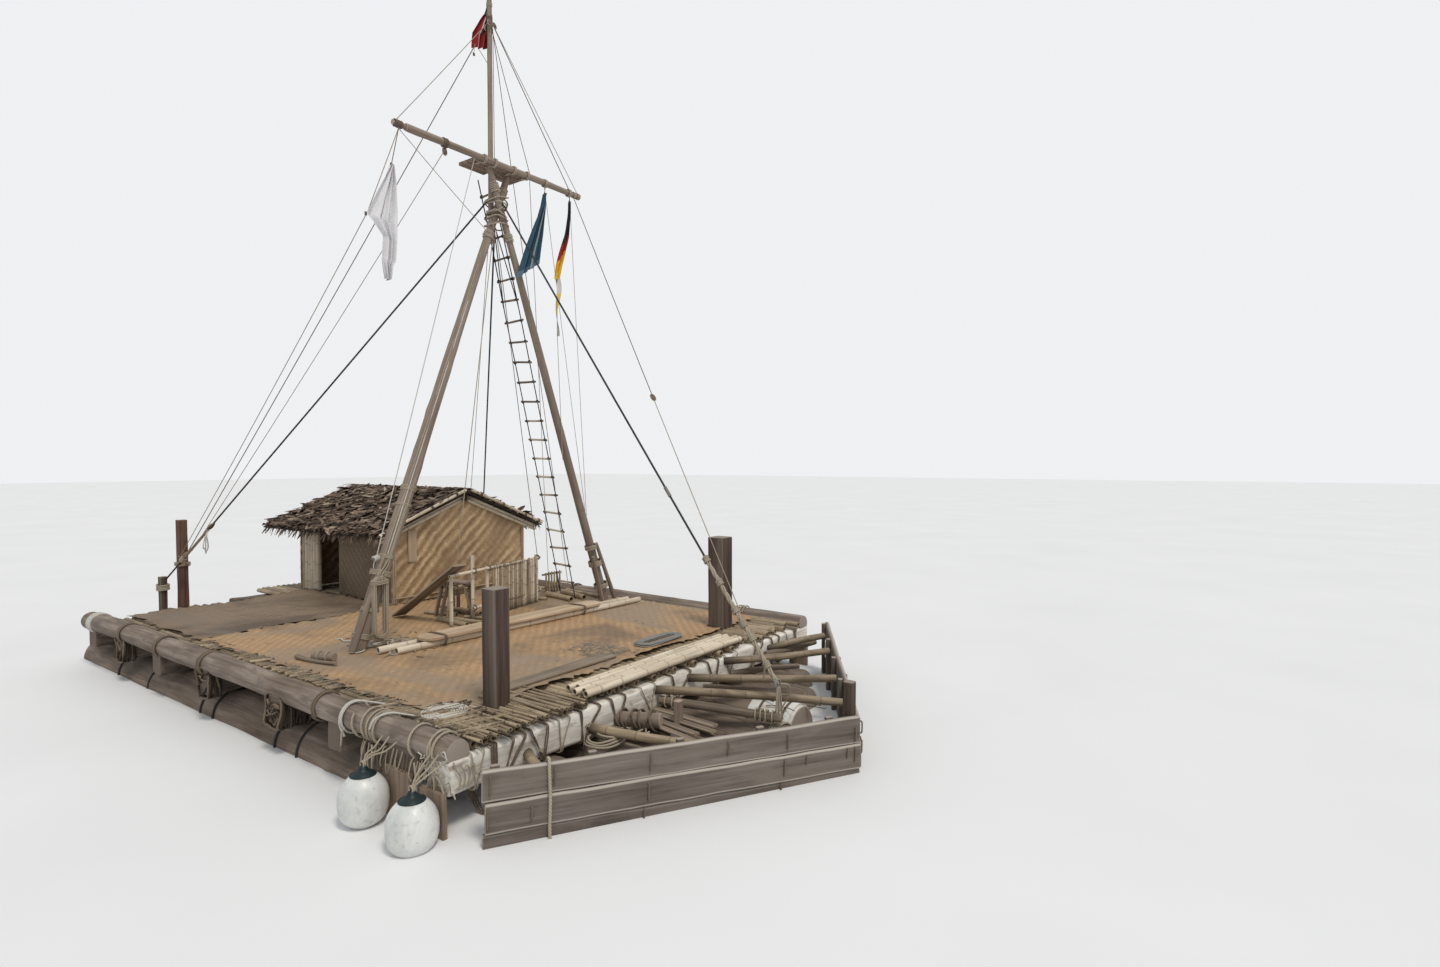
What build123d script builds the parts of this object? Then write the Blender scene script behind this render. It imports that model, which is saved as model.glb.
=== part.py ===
from build123d import *
import os
from math import atan2, cos, hypot

# Balsa log raft with a bamboo deck, a thatched cabin and a two-legged mast.
# Frame: +X to the bow, +Y to port, +Z up, origin on the centreline at the hull's
# bottom, below the middle of the main deck. All sizes are in millimetres.

# Hull logs
hull_bow = 5480.0
hull_stern = -5100.0
log_count = 9
log_pitch = 600.0
log_top = 590.0
log_rim_bevel = 22.0
log_tip_shrink = 22.0
log_taper_share = 0.55

# Cross-beams, which lie on the logs
beam_height = 280.0
beam_half_length = 2790.0
beam_edge_radius = 35.0
bow_beam_width = 280.0
bow_beam_nose = 20.0
bow_beam_edge_radius = 55.0
saddle_spare = 100.0

# Deck of bamboo poles, side by side
deck_bow_setback = 1630.0
deck_bow = hull_bow - deck_bow_setback
deck_aft = -3850.0
deck_pole_count = 63
deck_pole_pitch = 81.5
deck_thickness = 80.0
deck_groove_depth = 26.0
stern_deck_aft = -4950.0
stern_deck_skip_count = 27
mat_thickness = 14.0
mat_corner_radius = 60.0

# Side logs along the deck's edges
side_log_radius = 125.0
side_log_tip_radius = 108.0
side_log_aft = -4300.0
side_log_height = 900.0
side_log_gap = 4.0

# Splash boards in a V at the bow
apex_reach = 390.0
splash_end_reach = 350.0
splash_end_x = deck_bow + splash_end_reach
splash_half_width = 2750.0
splash_thickness = 55.0
splash_step = 14.0
splash_top_apex = 810.0
splash_row_height = 225.0
splash_low_height = 240.0
splash_top_stbd = 866.0
splash_top_port = 950.0
stanchion_width = 70.0
stanchion_depth = 48.0
stanchion_foot = 200.0
seam_clearance = 0.3
apex_post_half_width = 45.0
apex_post_depth = 100.0
apex_post_top = 1110.0
apex_post_foot = 150.0
mitre_spare = 60.0
strut_radius = 36.0

# Boards over the beams' ends
end_board_thickness = 45.0

# Mast, of two legs that cross under a lookout platform
mast_x = 615.0
leg_half_spacing = 52.0
leg_crossing_radius = 50.0
leg_foot_stbd_y = -1655.0
leg_foot_port_y = 2190.0
crossing_y = 300.0
crossing_z = 6340.0
leg_top_rise = 515.0
platform_length = 360.0
platform_reach = 105.0
platform_y = 290.0
platform_width = 820.0
platform_thickness = 45.0
yard_radius = 44.0
yard_tip_radius = 32.0
yard_half_length = 1440.0
yard_tip_length = 160.0
yard_y = 170.0
pole_radius = 36.0
pole_tip_radius = 31.0
pole_gap = 12.0
pole_tail = 390.0
pole_top_z = 9350.0
pole_tip_length = 180.0
rope_radius = 11.0
stay_radius = 13.0

# Cabin
cabin_bow_x = -1610.0
cabin_aft_x = -4350.0
cabin_stbd_y = 100.0
cabin_port_y = 2550.0
cabin_wall = 30.0
cabin_wall_height = 1120.0
cabin_ridge_height = 1620.0
door_aft_x = -3780.0
door_bow_x = -3120.0
frame_post_radius = 38.0
pole_end_setback = 60.0
pole_cover = 8.0
roof_thickness = 105.0
roof_bow_x = -1450.0
roof_aft_x = -5000.0
eave_overhang = 290.0
eave_lip = 20.0
eave_lip_height = 58.0
eave_round = 60.0

os.makedirs("parts", exist_ok=True)
made = {}


def write(builder, name):
    """Label a finished piece, keep it for what seats on it, and write its STEP."""
    builder.part.label = name
    made[name] = builder.part
    export_step(builder.part, f"parts/{name}.step")


def add_pole(start, end, start_radius, end_radius):
    """Round pole between two points, straight or tapered, in the part being built."""
    axis = Vector(*end) - Vector(*start)
    with BuildSketch(Plane(origin=start, z_dir=axis)) as first:
        Circle(start_radius)
    if start_radius == end_radius:
        extrude(first.sketch, amount=axis.length)
        return
    with BuildSketch(Plane(origin=end, z_dir=axis)) as last:
        Circle(end_radius)
    loft((first.sketch, last.sketch))


# Heights that follow from the layers of the hull and deck
beam_top = log_top + beam_height
deck_top = beam_top + deck_thickness
mat_top = deck_top + mat_thickness
deck_half_width = deck_pole_count * deck_pole_pitch / 2
side_log_y = deck_half_width + side_log_gap + side_log_radius

# Hull logs: number from the centreline, radius, and how far the bow and stern ends
# lie inside those of the middle log
hull_logs = (
    (-4, 295.0, 2780.0, 350.0),
    (-3, 288.0, 1140.0, 200.0),
    (-2, 292.0, 790.0, 110.0),
    (-1, 286.0, 580.0, 50.0),
    (0, 295.0, 0.0, 0.0),
    (1, 290.0, 520.0, 60.0),
    (2, 287.0, 760.0, 100.0),
    (3, 291.0, 1150.0, 220.0),
    (4, 295.0, 2780.0, 340.0),
)

for place, radius, bow_setback, stern_setback in hull_logs:
    bow = hull_bow - bow_setback
    stern = hull_stern + stern_setback
    name = f"hull_log_{place + (log_count + 1) // 2}"
    axis_height = log_top - radius
    bow_radius = radius if abs(place) == log_count // 2 else radius - log_tip_shrink
    with BuildPart() as hull_log:
        with BuildSketch(Plane((0, place * log_pitch, axis_height), x_dir=(1, 0, 0), z_dir=(0, -1, 0))):
            with BuildLine():
                Polyline(
                    (stern, 0),
                    (stern, radius - log_rim_bevel),
                    (stern + log_rim_bevel, radius),
                    (bow * log_taper_share, radius),
                    (bow - log_rim_bevel, bow_radius),
                    (bow, bow_radius - log_rim_bevel),
                    (bow, 0),
                    close=True,
                )
            make_face()
        revolve(axis=Axis((0, place * log_pitch, axis_height), (1, 0, 0)))
    write(hull_log, name)

# Cross-beams: middle, width, starboard end and port end
bow_post_beam_setback = 590.0
beams = (
    (deck_bow - bow_post_beam_setback, 400.0, -beam_half_length, beam_half_length),
    (2260.0, 240.0, -beam_half_length, beam_half_length),
    (1180.0, 260.0, -beam_half_length, beam_half_length),
    (-400.0, 260.0, -beam_half_length, beam_half_length),
    (-1720.0, 250.0, -beam_half_length, beam_half_length),
    (-2860.0, 240.0, -beam_half_length, beam_half_length),
    (-3930.0, 280.0, -beam_half_length, beam_half_length),
    (-4620.0, 240.0, -840.0, 2600.0),
)


def add_beam(middle, width, stbd_end, port_end, edge_radius):
    """Beam of rounded-square section across the hull, on top of the logs."""
    end_plane = Plane((middle, stbd_end, log_top + beam_height / 2), x_dir=(1, 0, 0), z_dir=(0, 1, 0))
    with BuildSketch(end_plane) as section:
        RectangleRounded(width, beam_height, edge_radius)
    extrude(section.sketch, amount=port_end - stbd_end)


def cut_side_log_saddles():
    """Saddles in the beams' ends, which hold the side logs."""
    for side in (-1, 1):
        with BuildSketch(Plane((side_log_aft, side * side_log_y, side_log_height), z_dir=(1, 0, 0))) as saddle:
            Circle(side_log_radius)
        extrude(saddle.sketch, amount=deck_bow + saddle_spare - side_log_aft, mode=Mode.SUBTRACT)


beam_front = deck_bow + bow_beam_nose
with BuildPart() as bow_beam:
    add_beam(beam_front - bow_beam_width / 2, bow_beam_width, -beam_half_length, beam_half_length,
             bow_beam_edge_radius)
    cut_side_log_saddles()
write(bow_beam, "bow_beam")

with BuildPart() as cross_beams:
    for middle, width, stbd_end, port_end in beams:
        add_beam(middle, width, stbd_end, port_end, beam_edge_radius)
    cut_side_log_saddles()
write(cross_beams, "cross_beams")

# Side logs, with a short taper at the bow end
for side, name in ((-1, "side_log_stbd"), (1, "side_log_port")):
    with BuildPart() as side_log:
        add_pole((side_log_aft, side * side_log_y, side_log_height),
                 (deck_bow - bow_beam_width, side * side_log_y, side_log_height),
                 side_log_radius, side_log_radius)
        add_pole((deck_bow - bow_beam_width, side * side_log_y, side_log_height),
                 (deck_bow, side * side_log_y, side_log_height),
                 side_log_radius, side_log_tip_radius)
    write(side_log, name)

# Mooring posts: name, x, y, side of the square, top above the deck
post_sill = beam_top
bow_post_setback_stbd = 490.0
bow_post_setback_port = 685.0
mooring_posts = (
    ("mooring_post_bow_stbd", deck_bow - bow_post_setback_stbd, -1960.0, 178.0, 1040.0),
    ("mooring_post_bow_port", deck_bow - bow_post_setback_port, 1710.0, 236.0, 1160.0),
    ("mooring_post_aft_stbd", -3855.0, -1770.0, 120.0, 1290.0),
    ("tackle_post", -3860.0, -2010.0, 95.0, 500.0),
)
post_clearance = 5.0
post_edge = 8.0

for name, x, y, width, height in mooring_posts:
    with BuildPart() as mooring_post:
        with BuildSketch(Plane.XY.offset(post_sill)):
            with Locations((x, y)):
                Rectangle(width, width)
        extrude(amount=deck_top - post_sill + height)
        chamfer(mooring_post.faces().sort_by(Axis.Z)[-1].edges(), post_edge)
    write(mooring_post, name)


def cut_post_holes():
    """Square holes in the deck and mats for the posts that stand on the beams."""
    with BuildSketch(Plane.XY.offset(post_sill)) as holes:
        for _, x, y, width, _ in mooring_posts:
            with Locations((x, y)):
                Rectangle(width + 2 * post_clearance, width + 2 * post_clearance)
    extrude(holes.sketch, amount=deck_thickness + mat_thickness, mode=Mode.SUBTRACT)


# Bamboo deck: flat below, a row of round pole backs above
def add_pole_row(first, last, aft, bow):
    """Row of deck poles, from number first up to last, as one scalloped sheet."""
    starboard = -deck_half_width + first * deck_pole_pitch
    port = -deck_half_width + last * deck_pole_pitch
    groove = deck_thickness - deck_groove_depth
    with BuildSketch(Plane((aft, 0, beam_top), x_dir=(0, 1, 0), z_dir=(1, 0, 0))) as row:
        with BuildLine():
            for number in range(first, last):
                edge = -deck_half_width + number * deck_pole_pitch
                ThreePointArc((edge, groove), (edge + deck_pole_pitch / 2, deck_thickness),
                              (edge + deck_pole_pitch, groove))
            Polyline((port, groove), (port, 0), (starboard, 0), (starboard, groove))
        make_face()
    extrude(row.sketch, amount=bow - aft)


with BuildPart() as bamboo_deck:
    add_pole_row(0, deck_pole_count, deck_aft, deck_bow)
    add_pole_row(stern_deck_skip_count, deck_pole_count, stern_deck_aft, deck_aft)
    cut_post_holes()
write(bamboo_deck, "bamboo_deck")

# Plaited mats: name, aft, bow, starboard and port edges
mat_bow_setback = 570.0
mats = (
    ("deck_mat_fore", -1450.0, deck_bow - mat_bow_setback, -2550.0, 2330.0),
    ("deck_mat_side", -3800.0, -1470.0, -2440.0, 40.0),
)
for name, aft, bow, starboard, port in mats:
    with BuildPart() as deck_mat:
        with BuildSketch(Plane.XY.offset(deck_top)):
            with Locations(((aft + bow) / 2, (starboard + port) / 2)):
                RectangleRounded(bow - aft, port - starboard, mat_corner_radius)
        extrude(amount=mat_thickness)
        cut_post_holes()
    write(deck_mat, name)

# Splash boards: three rows of planks on inner stanchions, mitred at the apex
apex_x = hull_bow + apex_reach
splash_run = hypot(apex_x - splash_end_x, splash_half_width)
along_x = (apex_x - splash_end_x) / splash_run
along_y = splash_half_width / splash_run
stanchion_places = (60.0, 780.0, 1500.0, 2220.0, 2900.0)


def splash_plane(side, out=0.0):
    """Upright plane of one wall's outer face, its X from the free end to the apex.

    The plane faces outwards on the starboard wall and inwards on the port one.
    """
    origin = (splash_end_x + out * along_y, side * (splash_half_width + out * along_x), 0)
    return Plane(origin=origin, x_dir=(along_x, -side * along_y, 0), z_dir=(-side * along_y, -along_x, 0))


def splash_top(side, place):
    end_top = splash_top_port if side > 0 else splash_top_stbd
    return end_top + (splash_top_apex - end_top) * place / splash_run


def add_splash_row(side, upper, lower, out):
    """One plank row between two depths below the sloping top edge."""
    wall = splash_plane(side, out)
    far = splash_run + mitre_spare
    with BuildSketch(wall) as row:
        with BuildLine():
            Polyline((0, splash_top(side, 0) - upper), (far, splash_top(side, far) - upper),
                     (far, splash_top(side, far) - lower), (0, splash_top(side, 0) - lower), close=True)
        make_face()
    extrude(row.sketch, amount=side * (splash_thickness + out))


for side, name in ((-1, "splash_boards_stbd"), (1, "splash_boards_port")):
    with BuildPart() as splash_boards:
        add_splash_row(side, 0, splash_low_height, 0)
        add_splash_row(side, splash_low_height, splash_low_height + splash_row_height, splash_step)
        add_splash_row(side, splash_low_height + splash_row_height,
                       splash_low_height + 2 * splash_row_height, -splash_step / 2)
        for place in stanchion_places:
            with BuildSketch(splash_plane(side, -splash_thickness)):
                with BuildLine():
                    top = splash_top(side, place)
                    Polyline((place, stanchion_foot), (place + stanchion_width, stanchion_foot),
                             (place + stanchion_width, top), (place, top), close=True)
                make_face()
            extrude(amount=side * stanchion_depth)
        split(bisect_by=Plane((0, side * seam_clearance, 0), z_dir=(0, side, 0)), keep=Keep.TOP)
    write(splash_boards, name)

# Apex post, with a nose that fits the inside of the V
inner_apex_x = apex_x - (splash_thickness + seam_clearance) / along_y
nose_back = apex_post_half_width * along_x / along_y
with BuildPart() as apex_post:
    with BuildSketch(Plane.XY.offset(apex_post_foot)):
        with BuildLine():
            Polyline((inner_apex_x, 0), (inner_apex_x - nose_back, apex_post_half_width),
                     (inner_apex_x - apex_post_depth, apex_post_half_width),
                     (inner_apex_x - apex_post_depth, -apex_post_half_width),
                     (inner_apex_x - nose_back, -apex_post_half_width), close=True)
        make_face()
    extrude(amount=apex_post_top - apex_post_foot)
    chamfer(apex_post.faces().sort_by(Axis.Z)[-1].edges(), post_edge)
write(apex_post, "apex_post")

# Bow struts from the beam's face to the boards: side of the wall,
# y and height at the beam, y and height at the wall
struts = (
    (1, -420.0, 800.0, 450.0, 745.0),
    (1, 120.0, 790.0, 1010.0, 790.0),
    (1, 800.0, 815.0, 1790.0, 850.0),
    (1, 1750.0, 760.0, 2420.0, 860.0),
    (-1, -1350.0, 700.0, -1050.0, 700.0),
    (-1, -2050.0, 690.0, -2300.0, 690.0),
)
strut_spare = 150.0

with BuildPart() as bow_struts:
    for side, beam_y, beam_z, wall_y, wall_z in struts:
        wall_x = apex_x - splash_thickness / along_y - abs(wall_y) * along_x / along_y
        start = Vector(beam_front, beam_y, beam_z)
        end = Vector(wall_x, wall_y, wall_z)
        spare = (end - start).normalized() * strut_spare
        add_pole(tuple(start - spare), tuple(end + spare), strut_radius, strut_radius)
    split(bisect_by=Plane((beam_front, 0, 0), z_dir=(1, 0, 0)), keep=Keep.TOP)
    for side in (-1, 1):
        inner = splash_plane(side, -splash_thickness)
        with BuildSketch(Plane(inner.origin, x_dir=inner.x_dir, z_dir=inner.z_dir)):
            Rectangle(2 * splash_run, 2 * splash_run)
        extrude(amount=-side * 3 * strut_spare, mode=Mode.SUBTRACT)
write(bow_struts, "bow_struts")

# Boards over the ends of the two foremost beams: how far the bow edge and the aft
# edge lie behind the deck's bow edge, then foot and top
end_boards = (
    (410.0, 790.0, 60.0, 680.0),
    (0.0, 290.0, 40.0, 640.0),
)
for side, name in ((-1, "end_boards_stbd"), (1, "end_boards_port")):
    with BuildPart() as end_board:
        for bow_setback, aft_setback, foot, top in end_boards:
            with BuildSketch(Plane((deck_bow, side * beam_half_length, 0), x_dir=(1, 0, 0), z_dir=(0, -1, 0))):
                with Locations((-(bow_setback + aft_setback) / 2, (foot + top) / 2)):
                    Rectangle(aft_setback - bow_setback, top - foot)
            extrude(amount=-side * end_board_thickness)
    write(end_board, name)

# Mast legs, each in its own upright plane so that they pass at the crossing
leg_top_z = crossing_z + leg_top_rise
pole_foot_z = crossing_z - pole_tail


def leg_point(foot_y, leg_x, height):
    """Point on a leg's axis at a given height."""
    share = (height - deck_top) / (crossing_z - deck_top)
    return (leg_x, foot_y + (crossing_y - foot_y) * share, height)


# Legs: name, y of the foot, x of the leg's plane, radius at the foot and at the tip
mast_legs = (
    ("mast_leg_stbd", leg_foot_stbd_y, mast_x - leg_half_spacing, 92.0, 42.0),
    ("mast_leg_port", leg_foot_port_y, mast_x + leg_half_spacing, 69.0, 40.0),
)
leg_spare = 200.0
for name, foot_y, leg_x, foot_radius, tip_radius in mast_legs:
    with BuildPart() as mast_leg:
        add_pole(leg_point(foot_y, leg_x, mat_top - leg_spare), leg_point(foot_y, leg_x, leg_top_z + leg_spare),
                 foot_radius, tip_radius)
        split(bisect_by=Plane.XY.offset(mat_top), keep=Keep.TOP)
        split(bisect_by=Plane.XY.offset(leg_top_z), keep=Keep.BOTTOM)
    write(mast_leg, name)

# Topmast pole behind the crossing
pole_x = mast_x - leg_half_spacing - leg_crossing_radius - pole_radius - pole_gap
with BuildPart() as topmast:
    add_pole((pole_x, crossing_y, pole_foot_z), (pole_x, crossing_y, pole_top_z - pole_tip_length),
             pole_radius, pole_tip_radius)
    add_pole((pole_x, crossing_y, pole_top_z - pole_tip_length), (pole_x, crossing_y, pole_top_z),
             pole_tip_radius, pole_tip_radius)
write(topmast, "topmast")

# Lookout platform on the legs' tops, with a notch for the topmast
platform_bow = mast_x + platform_reach
with BuildPart() as lookout_platform:
    with BuildSketch(Plane.XY.offset(leg_top_z)):
        with Locations((platform_bow - platform_length / 2, platform_y)):
            Rectangle(platform_length, platform_width)
        with Locations((pole_x, crossing_y)):
            Circle(pole_radius + seam_clearance, mode=Mode.SUBTRACT)
        with Locations((pole_x - platform_length / 4, crossing_y)):
            Rectangle(platform_length / 2, 2 * (pole_radius + seam_clearance), mode=Mode.SUBTRACT)
    extrude(amount=platform_thickness)
write(lookout_platform, "lookout_platform")

# Yard, lashed along the platform's bow edge
yard_x = platform_bow + yard_radius + seam_clearance
yard_z = leg_top_z + platform_thickness / 2
with BuildPart() as yard:
    add_pole((yard_x, yard_y - yard_half_length + yard_tip_length, yard_z),
             (yard_x, yard_y + yard_half_length - yard_tip_length, yard_z), yard_radius, yard_radius)
    for side in (-1, 1):
        shoulder = yard_y + side * (yard_half_length - yard_tip_length)
        add_pole((yard_x, shoulder, yard_z), (yard_x, yard_y + side * yard_half_length, yard_z),
                 yard_tip_radius, yard_tip_radius)
write(yard, "yard")

# Rope lashing round the crossing of the legs and the topmast
lashing_height = 420.0
lashing_cover = 40.0
lashing_pole_cover = 26.0
lashing_corner_radius = 90.0
lashing_half_width = 150.0
lashing_bow = mast_x + leg_half_spacing + leg_crossing_radius + lashing_cover
lashing_aft = pole_x - pole_radius - lashing_pole_cover


def add_lashing_block(mode):
    """Outer shape of the lashing, to build it or to trim what ends on it."""
    with BuildSketch(Plane.XY.offset(crossing_z - lashing_height / 2)) as block:
        with Locations(((lashing_bow + lashing_aft) / 2, crossing_y)):
            RectangleRounded(lashing_bow - lashing_aft, 2 * lashing_half_width, lashing_corner_radius)
    extrude(block.sketch, amount=lashing_height, mode=mode)


with BuildPart() as mast_lashing:
    add_lashing_block(Mode.ADD)
    for _, foot_y, leg_x, foot_radius, tip_radius in mast_legs:
        axis_low = leg_point(foot_y, leg_x, mat_top - leg_spare)
        axis_high = leg_point(foot_y, leg_x, leg_top_z + leg_spare)
        axis = Vector(*axis_high) - Vector(*axis_low)
        with BuildSketch(Plane(origin=axis_low, z_dir=axis)):
            Circle(foot_radius + seam_clearance)
        with BuildSketch(Plane(origin=axis_high, z_dir=axis)):
            Circle(tip_radius + seam_clearance)
        loft(mode=Mode.SUBTRACT)
    with BuildSketch(Plane.XY.offset(pole_foot_z)):
        with Locations((pole_x, crossing_y)):
            Circle(pole_radius + seam_clearance)
    extrude(amount=pole_top_z - pole_foot_z, mode=Mode.SUBTRACT)
write(mast_lashing, "mast_lashing")

# Rope ladder from the lashing's underside to the deck, beside the port leg
ladder_top_inset = 37.0
ladder_top_y_offset = 88.0
ladder_foot_x = 160.0
ladder_foot_y = 1930.0
ladder_top_z = crossing_z - lashing_height / 2
ladder_top = Vector(lashing_aft + ladder_top_inset, crossing_y + ladder_top_y_offset, ladder_top_z)
ladder_foot = Vector(ladder_foot_x, ladder_foot_y, deck_top)
ladder_half_width = 150.0
ladder_top_half_width = 15.0
ladder_shoulder_share = 0.82
rung_radius = 14.0
rung_count = 17
rung_first_share = 0.06
rung_last_share = 0.93
rung_overhang = 34.0
rope_spare = 60.0


def ladder_point(share, side, overhang=0.0):
    """Point on one of the ladder's ropes, which close in above the shoulder."""
    narrowing = max(0.0, (share - ladder_shoulder_share) / (1 - ladder_shoulder_share))
    half_width = ladder_half_width + (ladder_top_half_width - ladder_half_width) * narrowing
    middle = ladder_foot + (ladder_top - ladder_foot) * share
    return (middle.X + side * (half_width + overhang), middle.Y, middle.Z)


ladder_spare_share = rope_spare / (ladder_top_z - deck_top)
with BuildPart() as rope_ladder:
    for side in (-1, 1):
        shoulder = ladder_point(ladder_shoulder_share, side)
        add_pole(ladder_point(0, side), shoulder, rope_radius, rope_radius)
        add_pole(shoulder, ladder_point(1 + ladder_spare_share, side), rope_radius, rope_radius)
        with Locations(shoulder):
            Sphere(rope_radius)
    for rung in range(rung_count):
        share = rung_first_share + (rung_last_share - rung_first_share) * rung / (rung_count - 1)
        add_pole(ladder_point(share, -1, rung_overhang), ladder_point(share, 1, rung_overhang),
                 rung_radius, rung_radius)
    split(bisect_by=Plane.XY.offset(mat_top), keep=Keep.TOP)
    split(bisect_by=Plane.XY.offset(ladder_top_z), keep=Keep.BOTTOM)
write(rope_ladder, "rope_ladder")

# Cabin walls
cabin_mid_y = (cabin_stbd_y + cabin_port_y) / 2
cabin_half_width = (cabin_port_y - cabin_stbd_y) / 2
eave_z = deck_top + cabin_wall_height
ridge_z = deck_top + cabin_ridge_height
roof_slope = (ridge_z - eave_z) / cabin_half_width
roof_angle = atan2(ridge_z - eave_z, cabin_half_width)
frame_lift = (frame_post_radius + pole_cover) / cos(roof_angle)
plate_inset = cabin_wall + frame_post_radius
plate_z = eave_z + plate_inset * roof_slope - frame_lift
ridge_pole_z = ridge_z - frame_lift


def cut_roof_poles():
    """Holes in a gable for the ridge pole and the two eave poles."""
    with BuildSketch(Plane((roof_aft_x, 0, 0), x_dir=(0, 1, 0), z_dir=(1, 0, 0))) as ends:
        with Locations((cabin_mid_y, ridge_pole_z), (cabin_stbd_y + plate_inset, plate_z),
                       (cabin_port_y - plate_inset, plate_z)):
            Circle(frame_post_radius + seam_clearance)
    extrude(ends.sketch, amount=cabin_bow_x - cabin_wall - roof_aft_x, mode=Mode.SUBTRACT)


# Gables: name and the x of the outer face, then the way the wall grows
gables = (
    ("cabin_gable_bow", cabin_bow_x, -1),
    ("cabin_gable_aft", cabin_aft_x, 1),
)
flap_width = 150.0
flap_height = 480.0
flap_thickness = 22.0
flap_y = 420.0
flap_height_above_deck = 850.0
flap_z = deck_top + flap_height_above_deck
for name, face_x, inward in gables:
    with BuildPart() as gable:
        with BuildSketch(Plane((face_x, 0, 0), x_dir=(0, 1, 0), z_dir=(1, 0, 0))):
            with BuildLine():
                Polyline((cabin_stbd_y, deck_top), (cabin_port_y, deck_top), (cabin_port_y, eave_z),
                         (cabin_mid_y, ridge_z), (cabin_stbd_y, eave_z), close=True)
            make_face()
        extrude(amount=inward * cabin_wall)
        if inward > 0:
            cut_roof_poles()
        else:
            with BuildSketch(Plane((face_x, 0, 0), x_dir=(0, 1, 0), z_dir=(1, 0, 0))):
                with Locations((flap_y, flap_z)):
                    Rectangle(flap_width, flap_height)
            extrude(amount=flap_thickness)
    write(gable, name)

# Side walls, the starboard one with its doorway
door_post_radius = 46.0
door_post_count = 6
door_post_bite = 2.0
door_post_drop = 60.0
with BuildPart() as wall_stbd:
    with BuildSketch(Plane((0, cabin_stbd_y, 0), x_dir=(1, 0, 0), z_dir=(0, -1, 0))):
        with Locations(((door_bow_x + cabin_bow_x - cabin_wall) / 2, deck_top + cabin_wall_height / 2)):
            Rectangle(cabin_bow_x - cabin_wall - door_bow_x, cabin_wall_height)
    extrude(amount=-cabin_wall)
write(wall_stbd, "cabin_wall_stbd")

with BuildPart() as wall_port:
    with BuildSketch(Plane((0, cabin_port_y, 0), x_dir=(1, 0, 0), z_dir=(0, -1, 0))):
        with Locations(((cabin_aft_x + cabin_bow_x) / 2, deck_top + cabin_wall_height / 2)):
            Rectangle(cabin_bow_x - cabin_aft_x - 2 * cabin_wall, cabin_wall_height)
    extrude(amount=cabin_wall)
write(wall_port, "cabin_wall_port")

# Bamboo posts between the doorway and the aft corner
door_post_pitch = 2 * door_post_radius - door_post_bite
with BuildPart() as door_posts:
    with BuildSketch(Plane.XY.offset(deck_top)):
        for number in range(door_post_count):
            with Locations((cabin_aft_x + cabin_wall + seam_clearance + door_post_radius + number * door_post_pitch,
                            cabin_stbd_y + door_post_radius)):
                Circle(door_post_radius)
    extrude(amount=cabin_wall_height - door_post_drop)
write(door_posts, "door_posts")

# Frame: corner posts, eave poles and the ridge pole, one piece
with BuildPart() as cabin_frame:
    for x, y in ((cabin_bow_x - plate_inset, cabin_stbd_y + plate_inset),
                 (cabin_bow_x - plate_inset, cabin_port_y - plate_inset),
                 (cabin_aft_x + plate_inset, cabin_port_y - plate_inset),
                 (door_bow_x + frame_post_radius, cabin_stbd_y + plate_inset)):
        add_pole((x, y, deck_top), (x, y, plate_z), frame_post_radius, frame_post_radius)
    for y in (cabin_stbd_y + plate_inset, cabin_port_y - plate_inset):
        add_pole((roof_aft_x + pole_end_setback, y, plate_z), (cabin_bow_x - cabin_wall, y, plate_z),
                 frame_post_radius, frame_post_radius)
    add_pole((roof_aft_x + pole_end_setback, cabin_mid_y, ridge_pole_z),
             (cabin_bow_x - cabin_wall, cabin_mid_y, ridge_pole_z), frame_post_radius, frame_post_radius)
write(cabin_frame, "cabin_frame")

# Bargeboards: two bamboo poles down each slope of the bow gable
barge_radius = 28.0
barge_setback = 60.0
flap_clearance = 2.0
barge_x = cabin_bow_x + barge_radius
with BuildPart() as bargeboards:
    for side in (-1, 1):
        for course in (1, 3):
            drop = course * barge_radius / cos(roof_angle)
            reach = cabin_half_width + eave_overhang - barge_setback
            add_pole((barge_x, cabin_mid_y + side * barge_radius, ridge_z - drop - barge_radius * roof_slope),
                     (barge_x, cabin_mid_y + side * reach, ridge_z - drop - reach * roof_slope),
                     barge_radius, barge_radius)
    with BuildSketch(Plane((cabin_bow_x, 0, 0), x_dir=(0, 1, 0), z_dir=(1, 0, 0))):
        with Locations((flap_y, flap_z)):
            Rectangle(flap_width + 2 * flap_clearance, flap_height + 2 * flap_clearance)
    extrude(amount=flap_thickness + flap_clearance, mode=Mode.SUBTRACT)
write(bargeboards, "bargeboards")

# Thatch, one slab a slope
for side, name in ((-1, "thatch_stbd"), (1, "thatch_port")):
    reach = cabin_half_width + eave_overhang
    with BuildPart() as thatch:
        with BuildSketch(Plane((roof_aft_x, cabin_mid_y, ridge_z), x_dir=(0, 1, 0), z_dir=(1, 0, 0))):
            with BuildLine():
                Polyline((0, 0), (side * reach, -reach * roof_slope),
                         (side * (reach + eave_lip), -reach * roof_slope + eave_lip_height),
                         (side * (reach - eave_round), -(reach - eave_round) * roof_slope + roof_thickness),
                         (0, roof_thickness), close=True)
            make_face()
        extrude(amount=roof_bow_x - roof_aft_x)
    write(thatch, name)

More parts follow.
